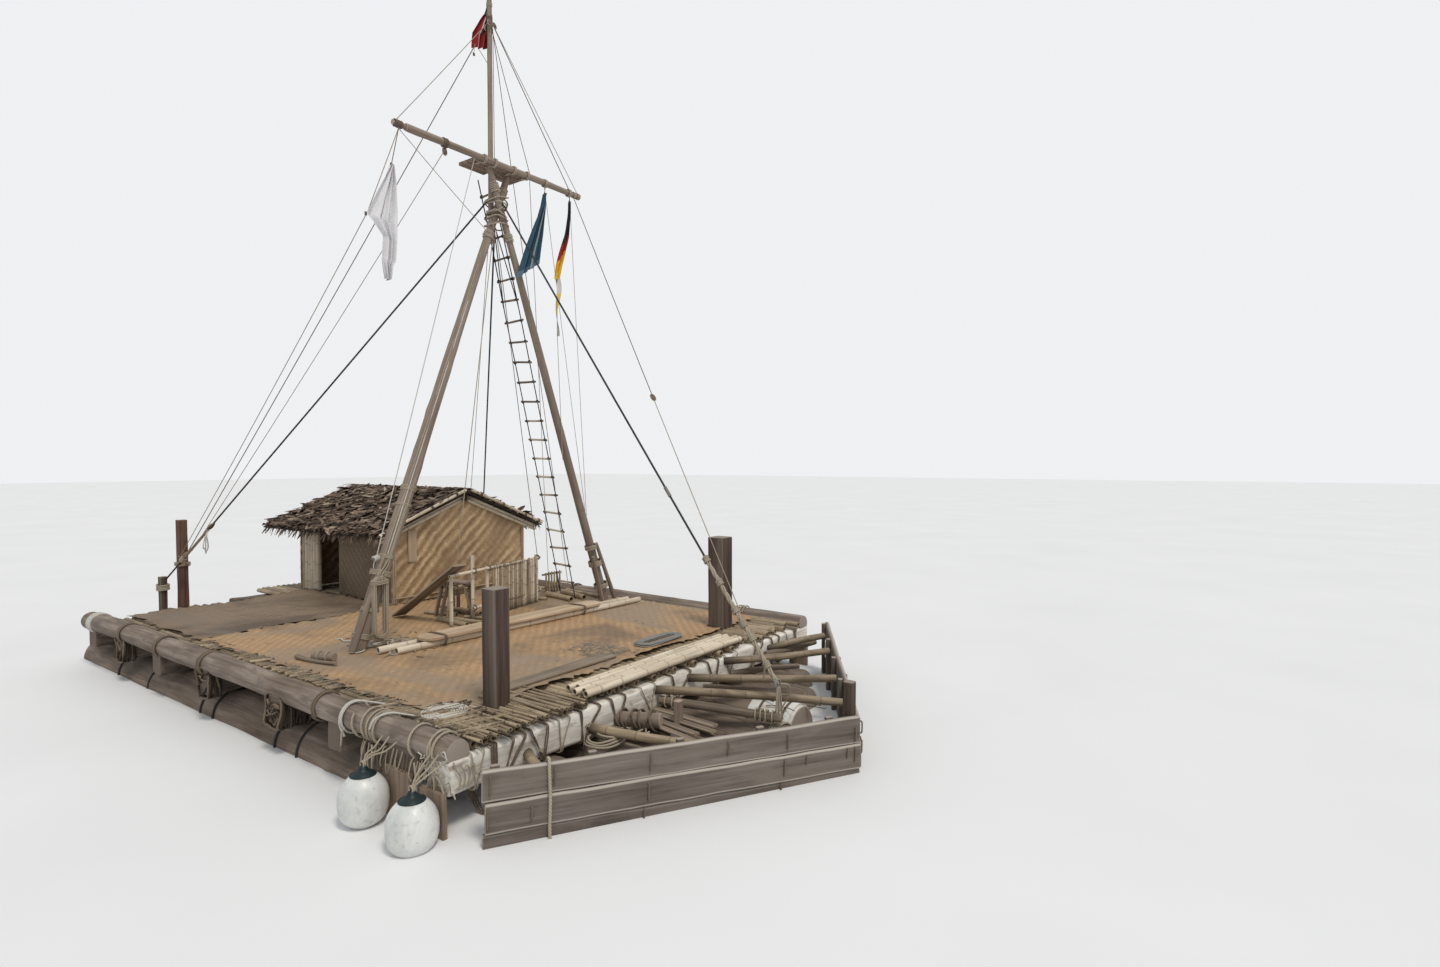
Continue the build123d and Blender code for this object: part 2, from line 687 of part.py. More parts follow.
# Fence of bamboo pickets between the mast legs, and a low panel port of it
fence_start = (450.0, -380.0)
fence_end = (-70.0, 1560.0)
rail_radius = 20.0
fence_post_radius = 25.0
picket_radius = 16.0
lashed_bite = 4.0
rail_heights = (170.0, 660.0)
picket_count = 15
picket_first_share = 0.42
picket_last_share = 0.94
picket_height = 640.0
picket_height_step = 25.0
fence_posts = ((0.04, 640.0), (0.25, 870.0), (0.40, 690.0), (0.98, 700.0))
low_panel_x = -470.0
low_panel_ends = (1965.0, 2365.0)
low_panel_rails = (80.0, 300.0)
low_panel_height = 340.0
low_picket_count = 6
low_picket_inset = 55.0


def fence_point(share, height, out=0.0):
    """Point beside the rails' line, out towards the bow, at a share of its length."""
    run_x = fence_end[0] - fence_start[0]
    run_y = fence_end[1] - fence_start[1]
    run = hypot(run_x, run_y)
    return (fence_start[0] + run_x * share + out * run_y / run,
            fence_start[1] + run_y * share - out * run_x / run, height)


with BuildPart() as bamboo_fence:
    for height in rail_heights:
        first = 0.0 if height == rail_heights[-1] else fence_posts[1][0] - 0.02
        add_pole(fence_point(first, mat_top + height), fence_point(1.0, mat_top + height), rail_radius, rail_radius)
    behind = lashed_bite - rail_radius - fence_post_radius
    before = rail_radius + picket_radius - lashed_bite
    for share, height in fence_posts:
        add_pole(fence_point(share, mat_top, behind), fence_point(share, mat_top + height, behind),
                 fence_post_radius, fence_post_radius)
    for number in range(picket_count):
        share = picket_first_share + (picket_last_share - picket_first_share) * number / (picket_count - 1)
        height = picket_height + picket_height_step * (number % 3)
        add_pole(fence_point(share, mat_top, before), fence_point(share, mat_top + height, before),
                 picket_radius, picket_radius)
    panel_start, panel_end = low_panel_ends
    for height in low_panel_rails:
        add_pole((low_panel_x, panel_start, mat_top + height), (low_panel_x, panel_end, mat_top + height),
                 picket_radius, picket_radius)
    picket_pitch = (panel_end - panel_start - 2 * low_picket_inset) / (low_picket_count - 1)
    for number in range(low_picket_count):
        x = low_panel_x + 2 * picket_radius - lashed_bite
        y = panel_start + low_picket_inset + number * picket_pitch
        add_pole((x, y, mat_top), (x, y, mat_top + low_panel_height), picket_radius, picket_radius)
write(bamboo_fence, "bamboo_fence")

# Board that leans on the fence's near end, its foot on the mat
lean_foot_x = -760.0
lean_rest_x = 409.0
lean_end_x = 600.0
lean_y = -330.0
lean_width = 200.0
lean_thickness = 32.0
rail_top = mat_top + rail_heights[-1] + rail_radius + seam_clearance
lean_slope = (rail_top - mat_top) / (lean_rest_x - lean_foot_x)
with BuildPart() as lean_plank:
    with BuildSketch(Plane((0, lean_y + lean_width / 2, 0), x_dir=(1, 0, 0), z_dir=(0, -1, 0))):
        with BuildLine():
            end_z = mat_top + (lean_end_x - lean_foot_x) * lean_slope
            Polyline((lean_foot_x, mat_top), (lean_end_x, end_z),
                     (lean_end_x - lean_thickness * lean_slope, end_z + lean_thickness),
                     (lean_foot_x - lean_thickness * lean_slope, mat_top + lean_thickness), close=True)
        make_face()
    extrude(amount=lean_width)
    add(made["bamboo_fence"], mode=Mode.SUBTRACT)
write(lean_plank, "lean_plank")

# Stowed steering blade on two bamboo poles, athwart behind the bow deck, and two
# short poles beside the port leg's foot; each pole from x, y to x, y
stowed_pole_radius = 42.0
stowed_poles_table = (
    ((900.0, -1600.0), (1090.0, 2250.0)),
    ((1090.0, -1500.0), (1250.0, 2330.0)),
    ((-150.0, 2120.0), (470.0, 1960.0)),
    ((-230.0, 1850.0), (420.0, 1740.0)),
)
with BuildPart() as stowed_poles:
    for (x0, y0), (x1, y1) in stowed_poles_table:
        add_pole((x0, y0, mat_top + stowed_pole_radius), (x1, y1, mat_top + stowed_pole_radius),
                 stowed_pole_radius, stowed_pole_radius)
write(stowed_poles, "stowed_poles")

blade_length = 2750.0
blade_width = 300.0
blade_thickness = 38.0
blade_edge = 8.0
blade_turn = -88.0
blade_x = 1080.0
blade_y = 190.0
with BuildPart() as stowed_blade:
    with BuildSketch(Plane.XY.offset(mat_top + 2 * stowed_pole_radius)):
        with Locations(Location((blade_x, blade_y), blade_turn)):
            SlotOverall(blade_length, blade_width)
    extrude(amount=blade_thickness)
    chamfer(stowed_blade.faces().sort_by(Axis.Z)[-1].edges(), blade_edge)
write(stowed_blade, "stowed_blade")

# Bundle of bamboo poles along the deck's bow edge
bundle_radius = 33.0
bundle_count = 5
bundle_setback = 10.0
bundle_bore_share = 0.72
bundle_bore_depth = 80.0
bundle_ends = ((-1340, 1190), (-1290, 1210), (-1350, 1130), (-1240, 1200), (-1300, 1160))
with BuildPart() as bamboo_bundle:
    for number, (start, end) in enumerate(bundle_ends):
        x = deck_bow - bundle_setback - (2 * number + 1) * bundle_radius
        height = deck_top + bundle_radius
        add_pole((x, start, height), (x, end, height), bundle_radius, bundle_radius)
        for mouth, inward in ((start, 1), (end, -1)):
            with BuildSketch(Plane((x, mouth, height), z_dir=(0, inward, 0))) as bore:
                Circle(bundle_radius * bundle_bore_share)
            extrude(bore.sketch, amount=bundle_bore_depth, mode=Mode.SUBTRACT)
write(bamboo_bundle, "bamboo_bundle")

# Plank that lies on the foredeck's mat
plank_setback = 800.0
plank_y = -935.0
plank_length = 1450.0
plank_width = 190.0
plank_thickness = 32.0
with BuildPart() as deck_plank:
    with BuildSketch(Plane.XY.offset(mat_top)):
        with Locations((deck_bow - plank_setback, plank_y)):
            Rectangle(plank_width, plank_length)
    extrude(amount=plank_thickness)
write(deck_plank, "deck_plank")

# Fenders against the end boards, fat in the middle and narrow at the ends
fender_radius = 185.0
fender_half_height = 210.0
fender_waist_half_height = 45.0
fender_shoulder_radius = 140.0
fender_shoulder_height = 150.0
fender_cap_radius = 70.0
fender_rounding = 40.0
fender_y = -(beam_half_length + end_board_thickness + fender_radius + seam_clearance)
fender_places = ((730.0, 500.0), (90.0, 470.0))
with BuildPart() as fenders:
    for setback, z in fender_places:
        x = deck_bow - setback
        with BuildSketch(Plane((x, fender_y, z), x_dir=(1, 0, 0), z_dir=(0, -1, 0))):
            with BuildLine():
                Polyline((0, -fender_half_height), (fender_cap_radius, -fender_half_height),
                         (fender_shoulder_radius, -fender_shoulder_height),
                         (fender_radius, -fender_waist_half_height), (fender_radius, fender_waist_half_height),
                         (fender_shoulder_radius, fender_shoulder_height),
                         (fender_cap_radius, fender_half_height), (0, fender_half_height), close=True)
            make_face()
        revolve(axis=Axis((x, fender_y, z), (0, 0, 1)))
    fillet(fenders.edges().filter_by(GeomType.CIRCLE), fender_rounding)
write(fenders, "fenders")

# Main stays: name, route from the mast down, and what the lower end seats on
eave_clearance = 4.0
stay_bite = 60.0
forestay_rise = 100.0
forestay_ring_setback = 460.0
forestay_ring_rise = 360.0
forestay_sink = 40.0
backstay_rise = 150.0
backstay_seat_height = 420.0
port_stay_drop = 100.0
port_stay_x = -3150.0
port_stay_out = 40.0
forestay_ring_x = hull_bow - forestay_ring_setback
eave_tip = Vector(port_stay_x,
                  cabin_mid_y + cabin_half_width + eave_overhang + eave_lip + stay_radius + eave_clearance,
                  ridge_z - (cabin_half_width + eave_overhang) * roof_slope + eave_lip_height)
tackle_x, tackle_y = mooring_posts[-1][1:3]
stays = (
    ("forestay", (Vector(lashing_bow - stay_bite, crossing_y, crossing_z + forestay_rise),
                  Vector(forestay_ring_x, 0, log_top + forestay_ring_rise),
                  Vector(forestay_ring_x, 0, log_top - forestay_sink)), "hull_log_5"),
    ("backstay_stbd", (Vector(lashing_aft + stay_bite, crossing_y - stay_bite, crossing_z + backstay_rise),
                       Vector(tackle_x, tackle_y, mat_top + backstay_seat_height)), "tackle_post"),
    ("backstay_port", (Vector(lashing_aft + stay_bite, crossing_y + stay_bite, crossing_z - port_stay_drop),
                       eave_tip,
                       Vector(port_stay_x, side_log_y + port_stay_out, side_log_height)), "side_log_port"),
)
for name, route, seat in stays:
    with BuildPart() as stay:
        for upper, lower in zip(route, route[1:]):
            add_pole(tuple(lower), tuple(upper), stay_radius, stay_radius)
        for corner in route[1:-1]:
            with Locations(corner):
                Sphere(stay_radius)
        add_lashing_block(Mode.SUBTRACT)
        add(made[seat], mode=Mode.SUBTRACT)
    write(stay, name)

# Loose rope: a flat round coil, an oval heap and a hank on the starboard leg
coil_setback = 710.0
coil_y = -2325.0
coil_radius = 214.0
coil_eye_radius = 48.0
coil_rope = 20.0
heap_setback = 820.0
heap_y = 630.0
heap_length = 860.0
heap_width = 320.0
heap_eye_length = 470.0
heap_eye_width = 60.0
heap_rope = 18.0
with BuildPart() as flat_coil:
    with BuildSketch(Plane.XY.offset(mat_top)):
        with Locations((deck_bow - coil_setback, coil_y)):
            Circle(coil_radius)
            Circle(coil_eye_radius, mode=Mode.SUBTRACT)
    extrude(amount=coil_rope)
write(flat_coil, "flat_coil")

with BuildPart() as rope_heap:
    with BuildSketch(Plane.XY.offset(mat_top)):
        with Locations((deck_bow - heap_setback, heap_y)):
            Ellipse(heap_width / 2, heap_length / 2)
            Ellipse(heap_eye_width / 2, heap_eye_length / 2, mode=Mode.SUBTRACT)
    extrude(amount=2 * heap_rope)
write(rope_heap, "rope_heap")

hank_y = -1440.0
hank_top = 1800.0
hank_bottom = 1060.0
hank_width = 190.0
hank_depth = 66.0
hank_corner_radius = 80.0
_, _, hank_leg_x, hank_leg_foot, hank_leg_tip = mast_legs[0]
leg_taper = (hank_leg_foot - hank_leg_tip) / (leg_top_z - mat_top + 2 * leg_spare)
hank_back = hank_leg_x + hank_leg_foot - leg_taper * (hank_top - mat_top + leg_spare)
with BuildPart() as hank:
    with BuildSketch(Plane((hank_back + seam_clearance, hank_y, (hank_top + hank_bottom) / 2),
                           x_dir=(0, 1, 0), z_dir=(1, 0, 0))):
        RectangleRounded(hank_width, hank_top - hank_bottom, hank_corner_radius)
    extrude(amount=hank_depth)
    add(made["mast_leg_stbd"], mode=Mode.SUBTRACT)
write(hank, "hank")

# Flags that hang limp: name, x of the plane, height of the top, then the outline's
# y and drop below the top
flag_thickness = 12.0
flag_top = yard_z - yard_radius - seam_clearance
red_flag_setback = 200.0
flags = (
    ("flag_white", yard_x, flag_top,
     ((-1108, 0), (-1050, 0), (-1240, 465), (-1270, 1335), (-1290, 1535), (-1330, 1745), (-1390, 1705),
      (-1440, 1525), (-1400, 1185), (-1590, 1065))),
    ("flag_blue", yard_x, flag_top,
     ((1000, 0), (940, 0), (780, 525), (480, 1335), (560, 1375), (890, 1045), (930, 745), (985, 235))),
    ("flag_stripes", yard_x, flag_top,
     ((1445, 0), (1400, 0), (1310, 585), (1170, 935), (1130, 1235), (1150, 2015), (1190, 2015), (1230, 1235),
      (1310, 985), (1400, 615), (1445, 235))),
    ("flag_red", pole_x - pole_tip_radius - flag_thickness / 2, pole_top_z - red_flag_setback,
     ((430, 0), (330, 0), (240, 300), (60, 590), (60, 750), (340, 630), (390, 420))),
)
for name, plane_x, top, outline in flags:
    with BuildPart() as flag:
        with BuildSketch(Plane((plane_x - flag_thickness / 2, 0, top), x_dir=(0, 1, 0), z_dir=(1, 0, 0))):
            with BuildLine():
                Polyline(*[(y, -drop) for y, drop in outline], close=True)
            make_face()
        extrude(amount=flag_thickness)
        add(made["topmast"], mode=Mode.SUBTRACT)
    write(flag, name)
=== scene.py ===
import math
import random

import bmesh
import bpy
import numpy as np
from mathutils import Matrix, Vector


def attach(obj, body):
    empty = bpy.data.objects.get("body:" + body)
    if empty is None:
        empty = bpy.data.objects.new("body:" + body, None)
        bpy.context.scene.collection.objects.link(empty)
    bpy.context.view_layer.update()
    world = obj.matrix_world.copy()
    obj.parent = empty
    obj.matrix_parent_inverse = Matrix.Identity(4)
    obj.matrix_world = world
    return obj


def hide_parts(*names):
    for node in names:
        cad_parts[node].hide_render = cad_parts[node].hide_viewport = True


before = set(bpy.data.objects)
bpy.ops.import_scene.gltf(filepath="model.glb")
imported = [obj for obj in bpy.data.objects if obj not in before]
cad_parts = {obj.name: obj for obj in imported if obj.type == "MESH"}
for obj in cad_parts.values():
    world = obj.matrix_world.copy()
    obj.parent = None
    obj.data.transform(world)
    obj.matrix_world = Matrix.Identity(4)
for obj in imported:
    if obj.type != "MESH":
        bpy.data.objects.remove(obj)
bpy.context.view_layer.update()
rng = random.Random(11)
scene = bpy.context.scene

# Heights above the hull logs' underside, in metres
WATERLINE, LOG_TOP, BEAM_Z, DECK_Z, MAT_TOP = 0.3, 0.59, 0.73, 0.95, 0.964
LOG_PITCH = 0.6

# Camera at the photograph's viewpoint
cam_data = bpy.data.cameras.new("camera")
cam_data.lens = 18.375
cam_data.sensor_width = 36.0
cam_data.clip_start = 0.05
cam_data.clip_end = 400
camera = bpy.data.objects.new("camera", cam_data)
camera.location = (8.53, -6.03, 3.07)
camera.rotation_euler = (math.radians(90 - 1.676), 0, math.radians(34.74))
scene.collection.objects.link(camera)
scene.camera = camera
scene.view_settings.view_transform = "Standard"


# ---------------------------------------------------------------- materials
M = {}  # finished materials by name


class Nodes:
    """Adds and links the shader nodes of one material."""

    def __init__(self, name):
        self.name = name
        self.mat = bpy.data.materials.new(name)
        self.mat.use_nodes = True
        self.tree = self.mat.node_tree
        self.bsdf = self.tree.nodes["Principled BSDF"]

    def add(self, kind, **props):
        node = self.tree.nodes.new(kind)
        for key, value in props.items():
            setattr(node, key, value)
        return node

    def link(self, a, b):
        self.tree.links.new(a, b)

    def put(self, socket, value):
        if isinstance(value, (int, float, tuple, list)):
            socket.default_value = value
        else:
            self.link(value, socket)

    def math(self, op, a, b=0.0):
        node = self.add("ShaderNodeMath", operation=op)
        for socket, value in zip(node.inputs, (a, b)):
            self.put(socket, value)
        return node.outputs[0]

    def coords(self):
        return self.add("ShaderNodeTexCoord").outputs["Object"]

    def lay_uv(self):
        return self.add("ShaderNodeUVMap", uv_map="lay").outputs[0]

    def split(self, vector):
        node = self.add("ShaderNodeSeparateXYZ")
        self.link(vector, node.inputs[0])
        return node.outputs

    def white(self, value):
        node = self.add("ShaderNodeTexWhiteNoise", noise_dimensions="1D")
        self.link(value, node.inputs["W"])
        return node.outputs[0]

    def attr(self, name, vector=False):
        node = self.add("ShaderNodeAttribute", attribute_name=name)
        return node.outputs["Vector" if vector else "Fac"]

    def stretch(self, vector, scale):
        node = self.add("ShaderNodeVectorMath", operation="MULTIPLY")
        self.put(node.inputs[0], vector)
        node.inputs[1].default_value = scale
        return node.outputs[0]

    def noise(self, vector, scale=1.0, detail=4.0, rough=0.55, distort=0.0):
        node = self.add("ShaderNodeTexNoise")
        self.put(node.inputs["Vector"], vector)
        node.inputs["Scale"].default_value = scale
        node.inputs["Detail"].default_value = detail
        node.inputs["Roughness"].default_value = rough
        node.inputs["Distortion"].default_value = distort
        return node.outputs["Fac"]

    def ramp(self, fac, stops):
        node = self.add("ShaderNodeValToRGB")
        self.put(node.inputs[0], fac)
        ramp = node.color_ramp
        while len(ramp.elements) < len(stops):
            ramp.elements.new(0.5)
        for element, (place, color) in zip(ramp.elements, stops):
            element.position = place
            if isinstance(color, (int, float)):
                color = (color,) * 3
            element.color = (*color, 1.0)
        return node.outputs[0]

    def mix(self, fac, a, b, blend="MIX"):
        node = self.add("ShaderNodeMix", data_type="RGBA", blend_type=blend)
        self.put(node.inputs["Factor"], fac)
        for socket, value in ((node.inputs[6], a), (node.inputs[7], b)):
            self.put(socket, (*value, 1.0) if isinstance(value, tuple) and len(value) == 3 else value)
        return node.outputs[2]

    def bump(self, height, strength, distance=0.01):
        node = self.add("ShaderNodeBump")
        node.inputs["Strength"].default_value = strength
        node.inputs["Distance"].default_value = distance
        self.put(node.inputs["Height"], height)
        self.link(node.outputs[0], self.bsdf.inputs["Normal"])

    def finish(self, color, rough, spec=0.3):
        self.put(self.bsdf.inputs["Base Color"], color)
        self.put(self.bsdf.inputs["Roughness"], rough)
        self.bsdf.inputs["Specular IOR Level"].default_value = spec
        M[self.name] = self.mat


def scaled(color, k):
    return tuple(min(1.0, c * k) for c in color)


def wood(name, dark, mid, light, stretch=(1.2, 22, 22), patch=1.3, rough=0.82, bump=0.5, tone=0.35,
         spec=0.2, stain=None, stain_scale=2.0, stain_at=(0.52, 0.66), mark=None, end=None):
    """Weathered wood with streaks along the grain, patches, stains and marks."""
    n = Nodes(name)
    v = n.attr("grain", vector=True)
    streak = n.noise(n.stretch(v, stretch), 1.0, 7.0, 0.62, 0.35)
    fine = n.noise(n.stretch(v, tuple(s * 4.2 for s in stretch)), 1.0, 3.0, 0.6)
    blotch = n.noise(n.stretch(v, (patch, patch * 2.2, patch * 2.2)), 1.0, 3.0, 0.5)
    fac = n.math("ADD", n.math("MULTIPLY", streak, 0.62), n.math("MULTIPLY", blotch, 0.38))
    color = n.ramp(fac, [(0.34, dark), (0.49, mid), (0.64, light)])
    cracks = n.ramp(fine, [(0.3, 0.62), (0.45, 1.0)])
    color = n.mix(0.6, color, cracks, "MULTIPLY")
    if stain:
        spots = n.noise(n.stretch(v, (stain_scale, stain_scale * 3, stain_scale * 3)), 1.0, 5.0, 0.6, 0.6)
        color = n.mix(n.ramp(spots, [(stain_at[0], 0.0), (stain_at[1], 1.0)]), color, stain)
    cast = n.add("ShaderNodeCombineXYZ")
    shade = n.math("ADD", n.math("MULTIPLY", n.attr("tone"), tone), 1.0 - tone / 2)
    for socket in cast.inputs:
        n.link(shade, socket)
    color = n.mix(1.0, color, cast.outputs[0], "MULTIPLY")
    for key, tint in (("mark", mark), ("end", end)):
        if tint:
            color = n.mix(n.attr(key), color, tint)
    n.bump(n.math("ADD", streak, n.math("MULTIPLY", fine, 0.35)), bump, 0.006)
    n.finish(color, n.ramp(streak, [(0.3, rough + 0.08), (0.7, rough - 0.08)]), spec)


def rope_mat(name, dark, light):
    """Laid rope: strands wind round it, from its own UVs (metres along over diameters, turn)."""
    strands, lay_length = 3.0, 3.2
    n = Nodes(name)
    length, turn, _ = n.split(n.lay_uv())
    wind = n.math("ADD", n.math("MULTIPLY", length, strands / lay_length), n.math("MULTIPLY", turn, strands))
    wave = n.math("ABSOLUTE", n.math("SINE", n.math("MULTIPLY", wind, math.pi)))
    fuzz = n.noise(n.coords(), 190.0, 3.0, 0.6)
    patch = n.noise(n.coords(), 3.0, 2.0, 0.5)
    # Painted shade in the grooves between the strands, where the colour drops to a darker brown.
    color = n.mix(n.ramp(wave, [(0.05, 0.0), (0.55, 1.0)]), scaled(dark, 0.6), n.mix(fuzz, dark, light))
    color = n.mix(n.ramp(patch, [(0.35, 0.0), (0.7, 0.45)]), color, dark)
    n.bump(n.math("ADD", wave, n.math("MULTIPLY", fuzz, 0.4)), 0.7, 0.004)
    n.finish(color, 0.9, 0.1)


STRIP = 0.034  # width of a strip of split bamboo


def plait(name, across, along, dark, coords="xy", contrast=1.0, worn=None, bump=0.5, lean="ADD",
          painted_light_bands=None, worn_at=(0.4, 0.68), fade=None):
    """Plaited split bamboo in a twill of two over and two under.

    coords names the two axes it lies in, lean the way its diagonals go; painted_light_bands is the width of
    its broad diagonals of painted sunlight and painted shade, with their dark and light colours, worn and
    fade are the colours of small and broad patches.
    """
    n = Nodes(name)
    out = n.coords()
    axes = dict(zip("xyz", n.split(out)))
    wobble = n.math("MULTIPLY", n.math("SUBTRACT", n.noise(out, 2.3, 2.0, 0.5), 0.5), 0.05)
    p, q = (n.math("DIVIDE", n.math("ADD", axes[key], wobble), STRIP) for key in coords)
    cell_p, cell_q = n.math("FLOOR", p), n.math("FLOOR", q)
    over = n.math("LESS_THAN", n.math("FLOORED_MODULO", n.math(lean, cell_p, cell_q), 4.0), 1.9)
    under = n.math("SUBTRACT", 1.0, over)

    def pick(above, below):
        return n.math("ADD", n.math("MULTIPLY", over, above), n.math("MULTIPLY", under, below))

    ridge_p, ridge_q = (n.math("SINE", n.math("MULTIPLY", n.math("FRACT", c), math.pi)) for c in (p, q))
    ridge = pick(ridge_q, ridge_p)
    strip_tone = pick(n.white(n.math("ADD", cell_q, 0.37)), n.white(cell_p))
    streak = n.noise(n.stretch(out, (9, 9, 9)), 4.0, 6.0, 0.65)
    patch = n.noise(out, 0.9, 4.0, 0.6, 0.4)
    color = n.mix(n.math("MULTIPLY", over, contrast), along, across)
    color = n.mix(n.math("MULTIPLY", strip_tone, 0.3), color, dark)
    # Painted shade: each strip goes darker towards its edges, in the gaps between the strips.
    color = n.mix(n.ramp(ridge, [(0.0, 0.75), (0.35, 0.0)]), color, scaled(dark, 0.55))
    # Broad diagonal bands of painted sunlight and painted shade, broken up by noise.
    if painted_light_bands:
        width, shade, shine = painted_light_bands
        drift = n.math("MULTIPLY", n.noise(out, 1.7, 3.0, 0.6), 1.6)
        place = n.math("FRACT", n.math("ADD", n.math("MULTIPLY", n.math(lean, p, q), STRIP / width), drift))
        broken = n.ramp(n.noise(out, 3.4, 3.0, 0.6), [(0.36, 0.15), (0.6, 1.0)])
        for stops, tint in (([(0.02, 0.0), (0.2, 0.75), (0.38, 0.75), (0.52, 0.0)], shine),
                            ([(0.52, 0.0), (0.66, 0.85), (0.84, 0.85), (0.98, 0.0)], shade)):
            color = n.mix(n.math("MULTIPLY", n.ramp(place, stops), broken), color, tint)
    color = n.mix(n.ramp(streak, [(0.42, 0.0), (0.75, 0.5)]), color, dark)
    color = n.mix(n.ramp(patch, [(worn_at[0], 0.0), (worn_at[1], 0.72)]), color, worn or dark)
    if fade:
        broad = n.noise(n.stretch(out, (0.6, 1.0, 1.0)), 0.55, 5.0, 0.62, 0.8)
        color = n.mix(n.ramp(broad, [(0.52, 0.0), (0.6, 0.7)]), color, fade)
    n.bump(n.math("ADD", ridge, n.math("MULTIPLY", streak, 0.3)), bump, 0.004)
    n.finish(color, 0.72, 0.25)


def cloth_mat(name, color_of):
    """Thin cloth with soft creases; color_of builds the base colour."""
    n = Nodes(name)
    uv = n.lay_uv()
    base = color_of(n, uv)
    shade = n.noise(uv, 3.0, 3.0, 0.6)
    base = n.mix(n.ramp(shade, [(0.35, 0.0), (0.75, 0.25)]), base, (0.12, 0.11, 0.11))
    n.bump(n.noise(uv, 7.0, 3.0, 0.5), 0.12, 0.004)
    n.finish(base, 0.85, 0.15)


wood("log", (0.09, 0.066, 0.051), (0.168, 0.129, 0.101), (0.257, 0.211, 0.168), stretch=(0.9, 14, 14),
     patch=1.1, rough=0.86, bump=0.8, tone=0.4, stain=(0.1, 0.085, 0.07), stain_scale=1.4,
     stain_at=(0.54, 0.7), mark=(0.7, 0.67, 0.62), end=(0.3, 0.25, 0.21))
wood("side_log", (0.105, 0.078, 0.06), (0.215, 0.17, 0.138), (0.36, 0.3, 0.25), stretch=(1.1, 18, 18),
     patch=1.5, bump=0.8, tone=0.3, stain=(0.17, 0.14, 0.12), end=(0.33, 0.28, 0.235))
wood("cross_beam", (0.075, 0.056, 0.044), (0.155, 0.12, 0.095), (0.26, 0.21, 0.17),
     stretch=(1.6, 16, 16), patch=2.0, bump=0.9, tone=0.5, stain=(0.06, 0.048, 0.04),
     stain_scale=3.0, stain_at=(0.5, 0.64), end=(0.16, 0.125, 0.1))
wood("beam", (0.5, 0.45, 0.39), (0.78, 0.73, 0.66), (0.9, 0.87, 0.81), stretch=(1.6, 16, 16), patch=2.2,
     bump=0.7, tone=0.2, stain=(0.4, 0.33, 0.27), stain_scale=3.2, stain_at=(0.56, 0.7))
wood("grey", (0.088, 0.073, 0.06), (0.158, 0.133, 0.112), (0.228, 0.197, 0.17), stretch=(0.8, 20, 20),
     patch=1.2, bump=0.6, tone=0.35, stain=(0.2, 0.165, 0.14), stain_scale=1.2, mark=(0.56, 0.5, 0.44),
     end=(0.36, 0.3, 0.25))
# Bamboo and pale bamboo: the mark darkens the nodes and, as painted shade, the inside of the hollow ends; the
# near-black end colour is painted shade at the bottoms of the hollows, and closed end faces take it too.
wood("bamboo", (0.216, 0.16, 0.1), (0.336, 0.26, 0.172), (0.464, 0.376, 0.264), stretch=(1.4, 26, 26),
     patch=1.8, rough=0.62, bump=0.35, tone=0.55, spec=0.35, stain=(0.22, 0.165, 0.11), stain_scale=2.6,
     mark=(0.16, 0.115, 0.075), end=(0.05, 0.038, 0.028))
wood("pale_bamboo", (0.4, 0.325, 0.235), (0.58, 0.49, 0.375), (0.73, 0.645, 0.52),
     stretch=(1.2, 24, 24), patch=1.6, rough=0.6, bump=0.35, tone=0.35, spec=0.35,
     mark=(0.22, 0.165, 0.115), end=(0.06, 0.045, 0.033))
wood("post", (0.042, 0.028, 0.021), (0.082, 0.056, 0.043), (0.135, 0.097, 0.077), stretch=(0.9, 24, 24),
     patch=1.1, bump=0.6, tone=0.35, mark=(0.42, 0.36, 0.3), end=(0.3, 0.25, 0.21))
wood("mast", (0.152, 0.114, 0.086), (0.26, 0.202, 0.158), (0.36, 0.292, 0.236), stretch=(0.7, 20, 20),
     patch=1.0, rough=0.72, bump=0.5, tone=0.3, spec=0.3, stain=(0.21, 0.165, 0.13), stain_scale=1.2,
     mark=(0.16, 0.12, 0.095), end=(0.4, 0.32, 0.25))
wood("board", (0.33, 0.235, 0.155), (0.475, 0.355, 0.24), (0.6, 0.47, 0.335), stretch=(0.8, 20, 20),
     patch=1.2, rough=0.78, bump=0.4, tone=0.3, end=(0.3, 0.22, 0.15))
wood("brown_board", (0.12, 0.085, 0.065), (0.2, 0.145, 0.11), (0.29, 0.22, 0.175), stretch=(1.0, 18, 18),
     bump=0.5, tone=0.3)
wood("end_board", (0.15, 0.11, 0.08), (0.26, 0.195, 0.145), (0.37, 0.295, 0.225), stretch=(1.0, 18, 18),
     bump=0.5, tone=0.3)
wood("old_plank", (0.1, 0.076, 0.058), (0.21, 0.165, 0.125), (0.34, 0.275, 0.21), stretch=(0.9, 18, 18),
     bump=0.6, tone=0.3, mark=(0.46, 0.38, 0.28), end=(0.3, 0.23, 0.17))
rope_mat("rope", (0.33, 0.275, 0.205), (0.62, 0.545, 0.435))
rope_mat("pale_rope", (0.5, 0.47, 0.42), (0.88, 0.86, 0.81))
rope_mat("brown_rope", (0.145, 0.108, 0.08), (0.3, 0.235, 0.18))
rope_mat("burnt_rope", (0.035, 0.026, 0.02), (0.105, 0.078, 0.058))
rope_mat("dark_rope", (0.035, 0.034, 0.036), (0.1, 0.095, 0.09))
rope_mat("grey_rope", (0.22, 0.21, 0.195), (0.44, 0.43, 0.4))


